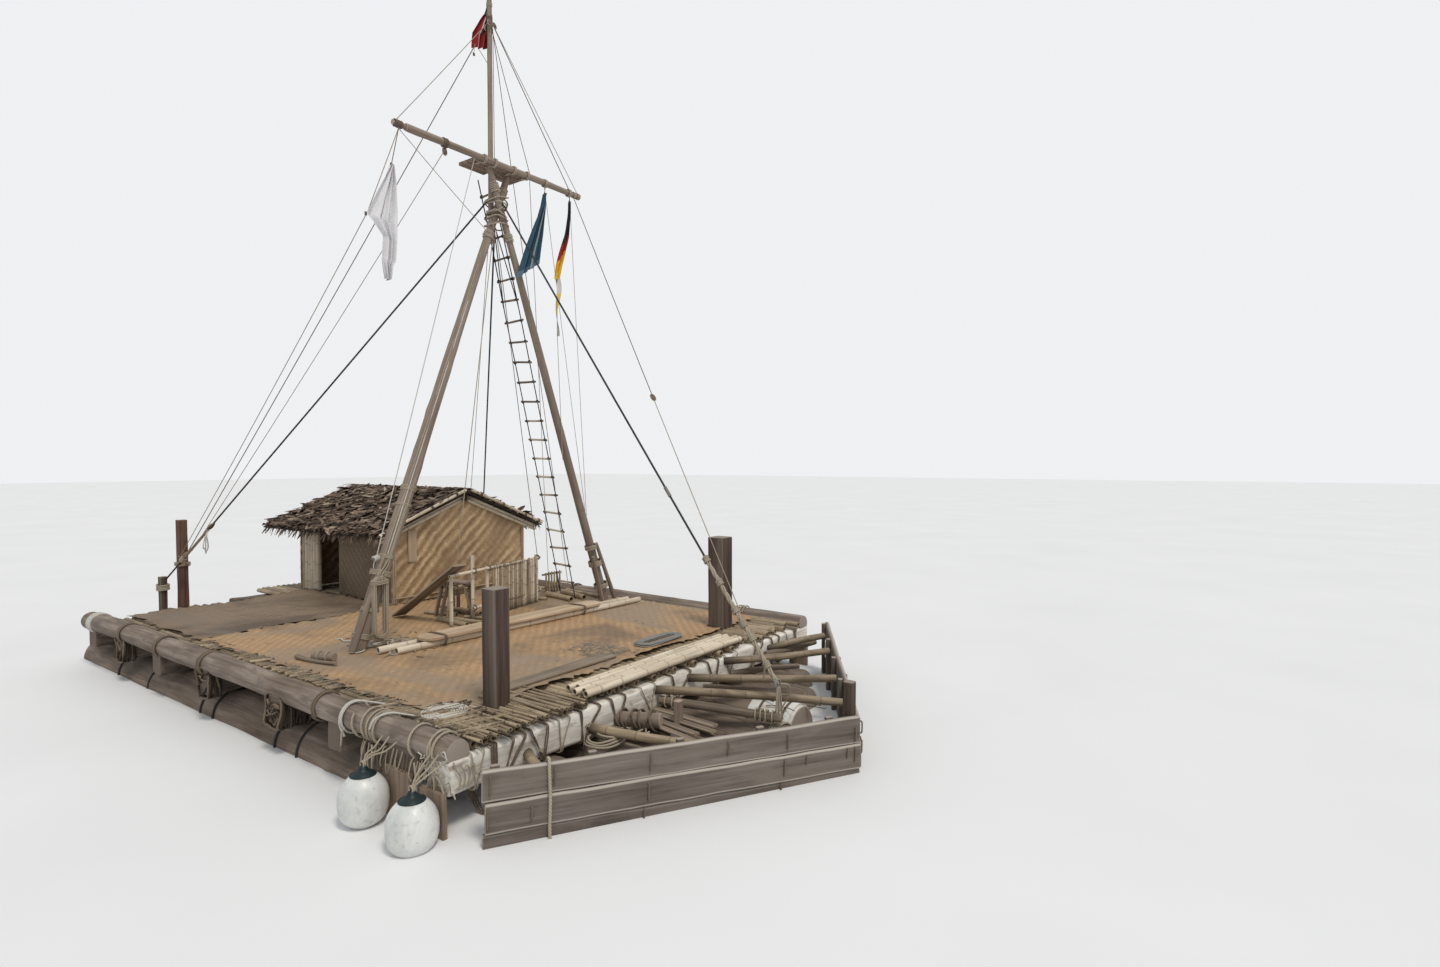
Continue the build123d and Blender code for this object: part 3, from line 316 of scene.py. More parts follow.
# ---------------------------------------------------------------- mesh builder
class Piece:
    """Collects swept shapes and makes one object of them."""

    def __init__(self):
        self.v, self.f, self.mi = [], [], []
        self.grain, self.tone, self.mark, self.end = [], [], [], []
        self.uv = []
        self.count = 0

    def add(self, verts, faces, grain, tone=0.5, mark=None, end=None, uv=None, material=0):
        verts = np.asarray(verts, float).reshape(-1, 3)
        k = len(verts)
        self.v.append(verts)
        self.f += [tuple(i + self.count for i in face) for face in faces]
        self.mi += [material] * len(faces)
        self.grain.append(np.asarray(grain, float).reshape(-1, 3))
        self.tone.append(np.full(k, tone) if np.isscalar(tone) else np.asarray(tone, float))
        for store, values in ((self.mark, mark), (self.end, end)):
            store.append(np.zeros(k) if values is None else np.asarray(values, float))
        self.uv += uv if uv is not None else [(0.0, 0.0)] * sum(len(face) for face in faces)
        self.count += k

    def sweep(self, centres, xs, ys, sections, tone=0.5, mark=None, uv_radius=None, closed=False,
              material=0, seed=None, end=True):
        """Sections (ring, point, 2) along centres, in the plane of xs and ys."""
        centres, sections = np.asarray(centres, float), np.asarray(sections, float)
        rings, sides = sections.shape[:2]
        verts = centres[:, None] + sections[..., :1] * xs[:, None] + sections[..., 1:] * ys[:, None]
        steps = np.r_[0, np.cumsum(np.linalg.norm(np.diff(centres, axis=0), axis=1))]
        seed = rng.uniform(0, 40) if seed is None else seed
        grain = np.concatenate([np.repeat(steps[:, None, None] + seed, sides, 1), sections + seed], axis=2)
        faces, uv = [], []
        last = rings if closed else rings - 1
        for i in range(last):
            a, b = i * sides, ((i + 1) % rings) * sides
            for j in range(sides):
                k = (j + 1) % sides
                faces.append((a + j, a + k, b + k, b + j))
                if uv_radius:
                    u0 = steps[i] / (2 * uv_radius)
                    ahead = steps[i + 1] if i + 1 < rings else steps[i] + (steps[i] - steps[i - 1])
                    u1 = ahead / (2 * uv_radius)
                    uv += [(u0, j / sides), (u0, (j + 1) / sides), (u1, (j + 1) / sides), (u1, j / sides)]
        ends = np.zeros(rings * sides)
        if not closed:
            faces.append(tuple(range(sides))[::-1])
            faces.append(tuple((rings - 1) * sides + j for j in range(sides)))
            if uv_radius:
                uv += [(0.1, 0.1)] * (2 * sides)
            if end:
                ends[:sides] = 1.0
                ends[-sides:] = 1.0
        if mark is not None:
            mark = np.asarray(mark, float)
            mark = np.repeat(mark, sides) if mark.ndim == 1 else mark.reshape(-1)
        self.add(verts.reshape(-1, 3), faces, grain.reshape(-1, 3), tone, mark, ends,
                 uv if uv_radius else None, material)

    def build(self, name, materials, replaces=(), smooth=40):
        mesh = bpy.data.meshes.new(name)
        mesh.from_pydata(np.concatenate(self.v).tolist(), [], self.f)
        for key, kind, values in (("grain", "FLOAT_VECTOR", self.grain), ("tone", "FLOAT", self.tone),
                                  ("mark", "FLOAT", self.mark), ("end", "FLOAT", self.end)):
            layer = mesh.attributes.new(key, kind, "POINT")
            data = np.concatenate(values).astype(np.float32)
            layer.data.foreach_set("vector" if kind == "FLOAT_VECTOR" else "value", data.reshape(-1))
        layer = mesh.uv_layers.new(name="lay")
        layer.uv.foreach_set("vector", np.asarray(self.uv, np.float32).reshape(-1))
        materials = materials if isinstance(materials, (list, tuple)) else [materials]
        for material in materials:
            mesh.materials.append(M[material])
        if len(materials) > 1:
            mesh.polygons.foreach_set("material_index", np.asarray(self.mi, np.int32))
        mesh.update()
        mesh.validate()
        mesh.shade_smooth()
        mesh.set_sharp_from_angle(angle=math.radians(smooth))
        obj = bpy.data.objects.new(name, mesh)
        scene.collection.objects.link(obj)
        if replaces:
            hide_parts(*replaces)
        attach(obj, "root")
        return obj


def unit(v):
    v = np.asarray(v, float)
    return v / np.linalg.norm(v)


def straight(start, end, count, up=(0, 0, 1)):
    """Centres and section axes along a straight line; up leans the second axis."""
    start, end = np.asarray(start, float), np.asarray(end, float)
    t = unit(end - start)
    up = np.asarray(up, float)
    if abs(t @ up) > 0.95:
        up = np.array([1.0, 0, 0])
    x = unit(np.cross(up, t))
    y = np.cross(t, x)
    shares = np.asarray(count) if np.ndim(count) else np.linspace(0, 1, count)
    centres = start + shares[:, None] * (end - start)
    return centres, np.repeat(x[None], len(shares), 0), np.repeat(y[None], len(shares), 0), shares


def along(points):
    """Section axes that follow a path without twisting."""
    p = np.asarray(points, float)
    t = np.gradient(p, axis=0)
    t /= np.linalg.norm(t, axis=1)[:, None] + 1e-12
    x = np.cross(t[0], (0, 0, 1) if abs(t[0][2]) < 0.9 else (1, 0, 0))
    xs = [unit(x)]
    for i in range(1, len(p)):
        x = xs[-1] - t[i] * (xs[-1] @ t[i])
        xs.append(unit(x))
    xs = np.array(xs)
    return xs, np.cross(t, xs)


def ring(sides, phase=0.0):
    a = np.linspace(0, 2 * math.pi, sides, endpoint=False) + phase
    return np.stack([np.cos(a), np.sin(a)], 1)


def lumps(u, a, seed, size=1.0):
    """Smooth unevenness over the length u and the angle a."""
    r = np.random.default_rng(seed)
    out = np.zeros(np.broadcast(u, a).shape)
    for k in range(1, 6):
        height, waves, twist = r.uniform(0.4, 1) / k, r.uniform(0.8, 1.9), round(r.uniform(-2.4, 2.4))
        out += height * np.sin(u * waves * k + twist * a + r.uniform(0, 6.3))
    return out * size


def log(piece, start, end, r0, r1, rough=0.012, sides=20, step=0.12, bend=0.0, tone=None, seed=None,
        marks=None, knots=0):
    """Rough round log, with an uneven surface, eased ends and knots."""
    length = float(np.linalg.norm(np.asarray(end, float) - start))
    count = max(6, int(length / step))
    between = np.linspace(0.08 / length, 1 - 0.08 / length, count)
    shares = np.concatenate([[0, 0.012 / length, 0.03 / length], between,
                             [1 - 0.03 / length, 1 - 0.012 / length, 1]])
    c, x, y, s = straight(start, end, shares)
    seed = rng.randrange(10 ** 6) if seed is None else seed
    sway = bend * np.sin(s * math.pi)
    c = c + x * (sway * math.cos(seed))[:, None] + y * (sway * math.sin(seed))[:, None]
    radius = r0 + (r1 - r0) * s
    edge = np.ones(len(s))
    edge[[0, -1]] = 0.93
    edge[[1, -2]] = 0.975
    edge[[2, -3]] = 0.995
    angle = np.linspace(0, 2 * math.pi, sides, endpoint=False)
    surface = 1 + lumps(s[:, None] * length, angle[None], seed, rough / max(r0, 0.01))
    kr = np.random.default_rng(seed + 1)
    for _ in range(knots):
        at, ang = kr.uniform(0.05, 0.95), kr.uniform(0, 6.28)
        off = np.angle(np.exp(1j * (angle[None] - ang)))
        d = ((s[:, None] - at) * length / 0.07) ** 2 + (off / 0.45) ** 2
        surface += kr.uniform(0.05, 0.12) * np.exp(-d)
    sections = (radius * edge)[:, None, None] * surface[..., None] * ring(sides)[None]
    tone = rng.random() if tone is None else tone
    mark = None
    if marks is not None:
        mark = np.array([marks(q * length, length) for q in s])
    piece.sweep(c, x, y, sections, tone, mark)


def bamboo(piece, start, end, radius, tip=None, sides=10, pitch=0.36, tone=None, hollow=(True, True),
           depth=0.1, bend=0.0, material=0):
    """Bamboo pole with raised nodes and open, hollow ends."""
    start, end = np.asarray(start, float), np.asarray(end, float)
    length = float(np.linalg.norm(end - start))
    tip = radius if tip is None else tip
    places, kinds = [0.0], [0]
    u = rng.uniform(0.06, pitch)
    while u < length - 0.05:
        places += [u - 0.012, u, u + 0.012]
        kinds += [0, 1, 0]
        u += pitch * rng.uniform(0.82, 1.15)
        if u < length - 0.05 and pitch > 0.25:
            places.append(u - pitch * 0.5)
            kinds.append(0)
    places.append(length)
    kinds.append(0)
    order = np.argsort(places)
    places, kinds = np.array(places)[order], np.array(kinds)[order]
    keep = np.r_[True, np.diff(places) > 1e-4]
    places, kinds = places[keep], kinds[keep]
    c, x, y, s = straight(start, end, places / length)
    seed = rng.random() * 6.3
    sway = bend * np.sin(s * math.pi)
    c = c + x * (sway * math.cos(seed))[:, None] + y * (sway * math.sin(seed))[:, None]
    r = (radius + (tip - radius) * s) * (1 + 0.075 * kinds)
    sections = r[:, None, None] * ring(sides, seed)[None]
    mark = kinds * 0.75
    tone = rng.random() if tone is None else tone
    centres, secs, marks = list(c), list(sections), list(mark.astype(float))
    xs, ys = list(x), list(y)
    t = unit(end - start)
    # Painted shade inside the hollow ends: the mark rises to 0.35 at the inner rim and to 1.0 at the bottom,
    # which also takes the end colour.
    for at_end in (0, 1):
        if not hollow[at_end]:
            continue
        k = -1 if at_end else 0
        inner, bottom = secs[k] * 0.74, centres[k] + t * depth * (1 - 2 * at_end)
        for centre, section, dark in ((centres[k].copy(), inner, 0.35), (bottom, inner * 0.97, 1.0)):
            for store, value in ((centres, centre), (secs, section), (marks, dark), (xs, x[0]), (ys, y[0])):
                store.insert(len(store) if at_end else 0, value)
    piece.sweep(np.array(centres), np.array(xs), np.array(ys), np.array(secs), tone, np.array(marks),
                material=material)


def rope(piece, points, radius, sides=7, closed=False, material=0, smooth=0):
    """Rope of one diameter along a path; smooth is the number of steps between two of its points."""
    p = np.asarray(points, float)
    if smooth:
        p = curve_through(p, smooth, closed)
    xs, ys = along(p)
    sections = np.repeat((radius * ring(sides))[None], len(p), 0)
    piece.sweep(p, xs, ys, sections, uv_radius=radius, closed=closed, material=material, end=False)


def curve_through(points, per=6, closed=False):
    """Smooth curve through the points."""
    p = np.asarray(points, float)
    q = np.vstack([p[-1], p, p[0], p[1]]) if closed else np.vstack([2 * p[0] - p[1], p, 2 * p[-1] - p[-2]])
    out = []
    for i in range(1, len(q) - 2):
        a, b, c, d = q[i - 1:i + 3]
        for t in np.arange(per) / per:
            out.append(0.5 * (2 * b + (c - a) * t + (2 * a - 5 * b + 4 * c - d) * t ** 2
                              + (3 * b - a - 3 * c + d) * t ** 3))
    if not closed:
        out.append(q[-2])
    return np.array(out)


def turns(centre, axis, radius, rope_radius, count, spread=None, start=0.0, per=18):
    """Helix of rope turns round a member."""
    axis = unit(axis)
    x = unit(np.cross((0, 0, 1) if abs(axis[2]) < 0.95 else (1, 0, 0), axis))
    y = np.cross(axis, x)
    n = int(count * per) + 1
    a = start + np.linspace(0, 2 * math.pi * count, n)
    pitch = (spread if spread is not None else 2.05 * rope_radius) / (2 * math.pi)
    u = (a - a.mean()) * pitch
    r = radius + rope_radius * 0.9 + rope_radius * 0.25 * np.sin(a * 0.37 + start * 5)
    across, up = (r * np.cos(a))[:, None] * x, (r * np.sin(a))[:, None] * y
    return np.asarray(centre)[None] + u[:, None] * axis + across + up


def wrap(piece, centre, axis, radius, rope_radius, count, sides=7, material=0, **shape):
    """Rope turns round a member, as a solid rope."""
    rope(piece, turns(centre, axis, radius, rope_radius, count, **shape), rope_radius, sides=sides,
         material=material)


def hoop(centre, u, v, count):
    """Closed oval of points with the half axes u and v."""
    a = np.linspace(0, 2 * math.pi, count, endpoint=False)[:, None]
    return np.asarray(centre, float) + np.cos(a) * np.asarray(u, float) + np.sin(a) * np.asarray(v, float)


def cells(rows, cols):
    """Each quad of a grid of points, after its row and column."""
    for i in range(rows - 1):
        for j in range(cols - 1):
            a = i * cols + j
            yield i, j, (a, a + cols, a + cols + 1, a + 1)


def plank(piece, start, end, width, thick, up, edge=0.008, wave=0.004, tone=None, step=0.12,
          seed=None, mark_edge=0.0):
    """Sawn board with eased, slightly wavy edges; up is the direction of its thickness."""
    start, end = np.asarray(start, float), np.asarray(end, float)
    length = float(np.linalg.norm(end - start))
    between = np.linspace(0.03 / length, 1 - 0.03 / length, max(4, int(length / step)))
    shares = np.concatenate([[0, 0.006 / length], between, [1 - 0.006 / length, 1]])
    c, x, y, s = straight(start, end, shares, up)
    seed = rng.randrange(10 ** 6) if seed is None else seed
    hw, ht = width / 2, thick / 2
    e = min(edge, ht * 0.8)
    flat = hw - e
    near = flat - min(0.01, 0.2 * flat)
    mid = np.array([-near, -0.5 * flat, 0.0, 0.5 * flat, near])
    outline = [(hw, -ht + e), (hw, ht - e), (hw - e, ht), *((m, ht) for m in mid[::-1]), (-hw + e, ht),
               (-hw, ht - e), (-hw, -ht + e), (-hw + e, -ht), *((m, -ht) for m in mid), (hw - e, -ht)]
    base = np.array(outline)
    k = len(base)
    wob = lumps(s[:, None] * length * 1.6, np.sign(base[None, :, 0]) * 1.3, seed, wave)
    sections = np.repeat(base[None], len(s), 0)
    sections[..., 0] += wob
    sections[..., 1] += lumps(s[:, None] * length, base[None, :, 0] * 3, seed + 5, wave * 0.5) * 0.6
    shrink = np.ones(len(s))
    shrink[[0, -1]] = 0.985
    sections *= shrink[:, None, None]
    mark = np.zeros((len(s), k))
    if mark_edge:
        mark[:, [1, 2, 8, 9]] = mark_edge
    piece.sweep(c, x, y, sections, rng.random() if tone is None else tone, mark, seed=seed % 40)


# ---------------------------------------------------------------- cords
def cord_line(points):
    """Smooth line of a cord, read from the spline that has these control points."""
    curve = bpy.data.curves.new("line", "CURVE")
    curve.dimensions = "3D"
    curve.resolution_u = 3
    spline = curve.splines.new("NURBS")
    spline.points.add(len(points) - 1)
    for point, place in zip(spline.points, points):
        point.co = (*place, 1.0)
    spline.order_u = 3
    spline.use_endpoint_u = True
    holder = bpy.data.objects.new("line", curve)
    mesh = bpy.data.meshes.new_from_object(holder)
    line = np.array([v.co for v in mesh.vertices])
    bpy.data.objects.remove(holder)
    bpy.data.curves.remove(curve)
    bpy.data.meshes.remove(mesh)
    return line


def free_cord(name, node, points, diameter, material):
    """Coiled rope that replaces a node of the CAD model."""
    line = cord_line(points)
    p = Piece()
    rope(p, line, diameter / 2, sides=10)
    obj = p.build(name, material, (node,), smooth=60)


def oval_turns(centre, u, v, out, widths, half, layers, rise, sag=0.0):
    """Oval turns round a centre: widths from the inmost to the outmost, layer upon layer along out."""
    centre, u, v, out = (np.asarray(a, float) for a in (centre, u, v, out))
    parts = (("side", (-1, -0.34, 0.34, 1)), ("top", (30, 60, 90, 120, 150)), ("back", (1, 0.34, -0.34, -1)),
             ("low", (210, 240, 270, 300, 330)))
    per_turn = [(part, q) for part, places in parts for q in places]
    points = []
    count = len(widths) - 1
    for layer in range(layers):
        order = widths if layer % 2 == 0 else widths[::-1]
        for turn in range(count):
            for i, (part, q) in enumerate(per_turn):
                share = turn + i / len(per_turn)
                w = np.interp(share, range(count + 1), order)
                lift = layer * rise
                if layer and turn == 0 and i < 4:
                    lift -= rise * (1 - (i + 1) / 4)
                loose = sag * math.sin(share * 2.3 + layer * 1.7)
                if part in ("side", "back"):
                    a, b = w * (1 if part == "side" else -1), half * q + (loose if q < 0 else 0)
                else:
                    a = w * math.cos(math.radians(q))
                    b = (half if part == "top" else -half) + w * math.sin(math.radians(q))
                    b += loose if part == "low" else 0
                points.append(centre + u * a + v * b + out * lift)
    return points


COIL_TURNS, COIL_STEPS = 6.45, 16
coil = []
for k in range(int(COIL_TURNS * COIL_STEPS) + 1):
    a = 2 * math.pi * k / COIL_STEPS
    r = 0.06 + 0.0221 * a / (2 * math.pi) + 0.0007 * math.sin(a * 0.63)
    coil.append((3.14 + r * math.cos(a + 0.8), -2.325 + r * math.sin(a + 0.8), MAT_TOP + 0.0106))
free_cord("flat_coil_rope", "flat_coil", coil, 0.02, "pale_rope")

heap = oval_turns((3.03, 0.63, MAT_TOP + 0.0091), (1, 0, 0), (0, 1, 0), (0, 0, 1),
                  [0.046 + 0.0187 * i for i in range(6)], 0.225, 2, 0.0178)
free_cord("rope_heap_turns", "rope_heap", heap, 0.0165, "grey_rope")

hank = oval_turns((0.6557, -1.44, 1.43), (0, 1, 0), (0, 0, 1), (1, 0, 0),
                  [0.05 + 0.0181 * i for i in range(3)], 0.272, 4, 0.0168, sag=0.006)
free_cord("hank_rope", "hank", hank, 0.016, "rope")


# ---------------------------------------------------------------- stage
def add_stage():
    n = Nodes("floor")
    coord = n.coords()
    tint = n.ramp(n.noise(coord, 0.4, 3.0, 0.5), [(0.3, (0.8, 0.805, 0.81)), (0.7, (0.835, 0.84, 0.845))])
    n.bump(n.noise(coord, 40.0, 2.0, 0.5), 0.02, 0.01)
    n.finish(tint, 0.75, 0.2)
    mesh = bpy.data.meshes.new("floor")
    mesh.from_pydata([(-120, -120, WATERLINE), (120, -120, WATERLINE), (120, 120, WATERLINE),
                      (-120, 120, WATERLINE)], [], [(0, 1, 2, 3)])
    mesh.materials.append(M["floor"])
    floor = bpy.data.objects.new("floor", mesh)
    scene.collection.objects.link(floor)
    world = bpy.data.worlds.new("world")
    world.use_nodes = True
    scene.world = world
    nodes, links = world.node_tree.nodes, world.node_tree.links
    soft, plain = nodes["Background"], nodes.new("ShaderNodeBackground")
    soft.inputs["Color"].default_value = (0.93, 0.965, 1.0, 1)
    soft.inputs["Strength"].default_value = 0.62
    plain.inputs["Color"].default_value = (0.86, 0.875, 0.89, 1)
    plain.inputs["Strength"].default_value = 1.0
    path, mix = nodes.new("ShaderNodeLightPath"), nodes.new("ShaderNodeMixShader")
    links.new(path.outputs["Is Camera Ray"], mix.inputs[0])
    links.new(soft.outputs[0], mix.inputs[1])
    links.new(plain.outputs[0], mix.inputs[2])
    links.new(mix.outputs[0], nodes["World Output"].inputs[0])
    sun = bpy.data.lights.new("sun", "SUN")
    sun.energy = 1.5
    sun.angle = math.radians(14)
    sun.color = (1.0, 0.95, 0.87)
    lamp = bpy.data.objects.new("sun", sun)
    lamp.rotation_euler = Vector((-0.55, 0.21, -1.0)).to_track_quat("-Z", "Y").to_euler()
    scene.collection.objects.link(lamp)


add_stage()


# ---------------------------------------------------------------- hull
# Hull logs: place from starboard to port, radius, bow end, stern end, tone
HULL = ((-4, 0.295, 2.7, -4.75, 0.95), (-3, 0.288, 4.34, -4.9, 0.7), (-2, 0.292, 4.69, -4.99, 0.8),
        (-1, 0.286, 4.9, -5.05, 1.25), (0, 0.295, 5.48, -5.1, 1.15), (1, 0.29, 4.96, -5.04, 1.2),
        (2, 0.287, 4.72, -5.00, 0.9), (3, 0.291, 4.33, -4.88, 0.7), (4, 0.295, 2.7, -4.76, 0.95))


def painted(reach, share=1.0):
    """Pale paint on the last stretch of a log, up to its bow end."""
    return lambda u, length: share if u > length - reach else 0.0


PAINTED = {-1: painted(0.16), 0: painted(0.1, 0.5), 1: painted(0.42)}
INSET = 0.008  # the rough surface stays inside the solid
for place, radius, bow, stern, tone in HULL:
    p = Piece()
    y = place * LOG_PITCH
    log(p, (stern + 0.004, y, LOG_TOP - radius - 0.002), (bow - 0.004, y, LOG_TOP - radius - 0.004),
        radius - INSET, radius - (0.03 if bow > 3 else INSET), rough=0.01, sides=28, step=0.1, knots=14,
        marks=PAINTED.get(place), tone=tone, seed=310 + place)
    p.build(f"hull_log_{place + 5}_wood", "log", (f"hull_log_{place + 5}",), smooth=50)

SIDE_Y, SIDE_Z = 2.69625, 0.9
for side, name in ((-1, "stbd"), (1, "port")):
    p = Piece()
    log(p, (-4.296, side * SIDE_Y, SIDE_Z), (3.846, side * SIDE_Y, SIDE_Z - 0.004), 0.119, 0.108,
        rough=0.007, sides=24, step=0.09, knots=16, bend=0.012, tone=0.45, seed=77 + side)
    p.build(f"side_log_{name}_wood", "side_log", (f"side_log_{name}",), smooth=50)


def hewn(piece, start, end, width, seed, edge, tone=0.5):
    """Squared beam with worn edges and hewn faces."""
    height, rough = 0.272, 0.006
    length = float(np.linalg.norm(np.asarray(end, float) - start))
    between = np.linspace(0.05 / length, 1 - 0.05 / length, int(length / 0.07))
    shares = np.concatenate([[0, 0.02 / length], between, [1 - 0.02 / length, 1]])
    c, x, y, s = straight(start, end, shares)
    hw, hh, e = width / 2, height / 2, edge
    outline = []
    for cx, cy, a0 in ((hw - e, hh - e, 0), (-hw + e, hh - e, 90), (-hw + e, -hh + e, 180),
                       (hw - e, -hh + e, 270)):
        for k in range(4):
            a = math.radians(a0 + 30 * k)
            outline.append((cx + e * math.cos(a), cy + e * math.sin(a)))
        nx, ny = math.cos(math.radians(a0 + 90)), math.sin(math.radians(a0 + 90))
        tx, ty = -ny, nx
        for q in (0.55, 0.18, -0.18, -0.55):
            half = (hw if abs(ny) > 0.5 else hh) - e
            outline.append((nx * hw - tx * half * q, ny * hh - ty * half * q))
    base = np.array(outline)
    r = np.random.default_rng(seed)
    cuts = int(length / 0.16)
    facets = np.interp(s[:, None] * length + 0.35 * base[None, :, 0] / width, np.linspace(0, length, cuts),
                       r.normal(0, 1, cuts))
    uneven = lumps(s[:, None] * length * 2, np.arctan2(base[None, :, 1], base[None, :, 0]), seed, rough)
    push = 1 + (uneven + facets * rough * 0.5) / (0.5 * width)
    sections = base[None] * push[..., None]
    sections[[0, -1]] *= 0.95
    piece.sweep(c, x, y, sections, tone)


BEAM_END, BOW_BEAM_X = 2.79, 3.73
p = Piece()
hewn(p, (BOW_BEAM_X, -2.785, BEAM_Z), (BOW_BEAM_X, 2.785, BEAM_Z), 0.268, 8, 0.04)
p.build("bow_beam_wood", "beam", ("bow_beam",), smooth=60)

# Cross beams: middle and width, with their ends where these aren't at BEAM_END
CROSS_BEAMS = ((3.26, 0.4), (2.26, 0.24), (1.18, 0.26), (-0.4, 0.26), (-1.72, 0.25), (-2.86, 0.24),
               (-3.93, 0.28), (-4.62, 0.24, -0.84, 2.6))
p = Piece()
for i, (mid, width, *ends) in enumerate(CROSS_BEAMS):
    a, b = ends or (-BEAM_END, BEAM_END)
    hewn(p, (mid, a + 0.004, BEAM_Z), (mid, b - 0.004, BEAM_Z), width - 0.012, 30 + i, 0.03,
         tone=rng.uniform(0.3, 0.9))
p.build("cross_beams_wood", "cross_beam", ("cross_beams",), smooth=60)

# Bamboo deck
p = Piece()
POLE_COUNT, POLE_R, POLE_PITCH, POLE_TOP, DECK_HALF = 63, 0.0392, 0.0815, 0.948, 2.56725
FIRST_LONG = 27  # from here to port the poles reach past the cabin to the stern
for i in range(POLE_COUNT):
    y = -DECK_HALF + POLE_PITCH * (i + 0.5)
    fore = 3.835 + rng.uniform(-0.13, 0.03) - (0.1 if i % 7 == 3 else 0)
    aft = (-4.93 if i >= FIRST_LONG else -3.84) + rng.uniform(-0.012, 0.05)
    r = POLE_R * rng.uniform(0.88, 1.0)
    bamboo(p, (aft, y, POLE_TOP - r + rng.uniform(-0.003, 0.002)),
           (fore, y + rng.uniform(-0.004, 0.004), POLE_TOP - r), r, r * 0.93, sides=9, pitch=0.42, depth=0.16)
p.build("bamboo_deck_poles", "bamboo", ("bamboo_deck",), smooth=50)


def plaited(name, node, material, points, faces, thickness, offset, smooth):
    """Sheet of plaited work with a thickness."""
    p = Piece()
    p.add(points, faces, points)
    obj = p.build(name, material, (node,), smooth=smooth)
    solid = obj.modifiers.new("thickness", "SOLIDIFY")
    solid.thickness, solid.offset = thickness, offset
    return obj


def mat_sheet(name, node, x0, x1, y0, y1, material, holes=(), lift=None, seed=3):
    """Plaited mat over the poles, with a ragged edge and slight buckles; holes are (x, y, half width)."""
    r = np.random.default_rng(seed)
    step, ragged = 0.05, 0.03
    xs = np.linspace(x0, x1, int((x1 - x0) / step) + 1)
    ys = np.linspace(y0, y1, int((y1 - y0) / step) + 1)
    gx, gy = np.meshgrid(xs, ys, indexing="ij")
    for edge in (gx[0], gx[-1], gy[:, 0], gy[:, -1]):
        edge += r.normal(0, ragged, len(edge))
    over_poles = 0.0022 * (1 + np.cos((gy / POLE_PITCH) * 2 * math.pi))
    buckles = 0.005 * (1 + np.sin(gx * 3.1 + 1.3 * np.sin(gy * 2.2 + seed)) * np.sin(gy * 2.7 + seed))
    gz = 0.9535 + over_poles + buckles
    edge = np.minimum.reduce([gx - x0, x1 - gx, gy - y0, y1 - gy])
    curl = np.clip(0.16 - edge, 0, 0.16) / 0.16
    gz += curl ** 2 * 0.016 * (1 + np.sin(gx * 5 + gy * 4 + seed))
    if lift is not None:
        gz = lift(gx, gy, gz)
    faces = []
    for i, j, quad in cells(*gx.shape):
        cx, cy = (xs[i] + xs[i + 1]) / 2, (ys[j] + ys[j + 1]) / 2
        if not any(abs(cx - hx) < hw and abs(cy - hy) < hw for hx, hy, hw in holes):
            faces.append(quad)
    plaited(name, node, material, np.stack([gx, gy, gz], 2).reshape(-1, 3), faces, 0.005, 1.0, 60)


plait("mat", (0.57, 0.375, 0.205), (0.47, 0.3, 0.16), (0.25, 0.155, 0.09), contrast=0.9,
      worn=(0.17, 0.125, 0.09), worn_at=(0.47, 0.66), fade=(0.3, 0.235, 0.175), bump=0.4)
plait("mat_aft", (0.34, 0.25, 0.17), (0.275, 0.2, 0.135), (0.16, 0.115, 0.08), contrast=0.6,
      worn=(0.085, 0.063, 0.046), worn_at=(0.44, 0.64), fade=(0.215, 0.178, 0.142), bump=0.4)


def corner_droop(gx, gy, gz):
    """The mat sinks at the starboard bow corner."""
    droop = np.clip((gx - 3.12) / 0.4, 0, 1) * np.clip((-1.9 - gy) / 0.3, 0, 1)
    return gz - 0.01 * droop


mat_sheet("deck_mat_fore_plait", "deck_mat_fore", -1.45, 3.28, -2.43, 2.33, "mat",
          holes=((3.36, -1.96, 0.13), (3.165, 1.71, 0.13)), lift=corner_droop)
mat_sheet("deck_mat_side_plait", "deck_mat_side", -3.8, -1.47, -2.44, 0.04, "mat_aft", seed=9)

# Splash boards: the walls run from (SPLASH_END, SPLASH_HALF) to the apex; AX and AY are their direction
APEX, SPLASH_END, SPLASH_HALF = 5.87, 4.2, 2.75
RUN = math.hypot(APEX - SPLASH_END, SPLASH_HALF)
AX, AY = (APEX - SPLASH_END) / RUN, SPLASH_HALF / RUN
TOPS = {-1: 0.866, 1: 0.95}
APEX_TOP = 0.81


def on_wall(side, place, out, z):
    """Point of a splash wall: along it from the free end, outwards from its face, and up."""
    return np.array([SPLASH_END + AX * place + AY * out, side * (SPLASH_HALF - AY * place + AX * out), z])


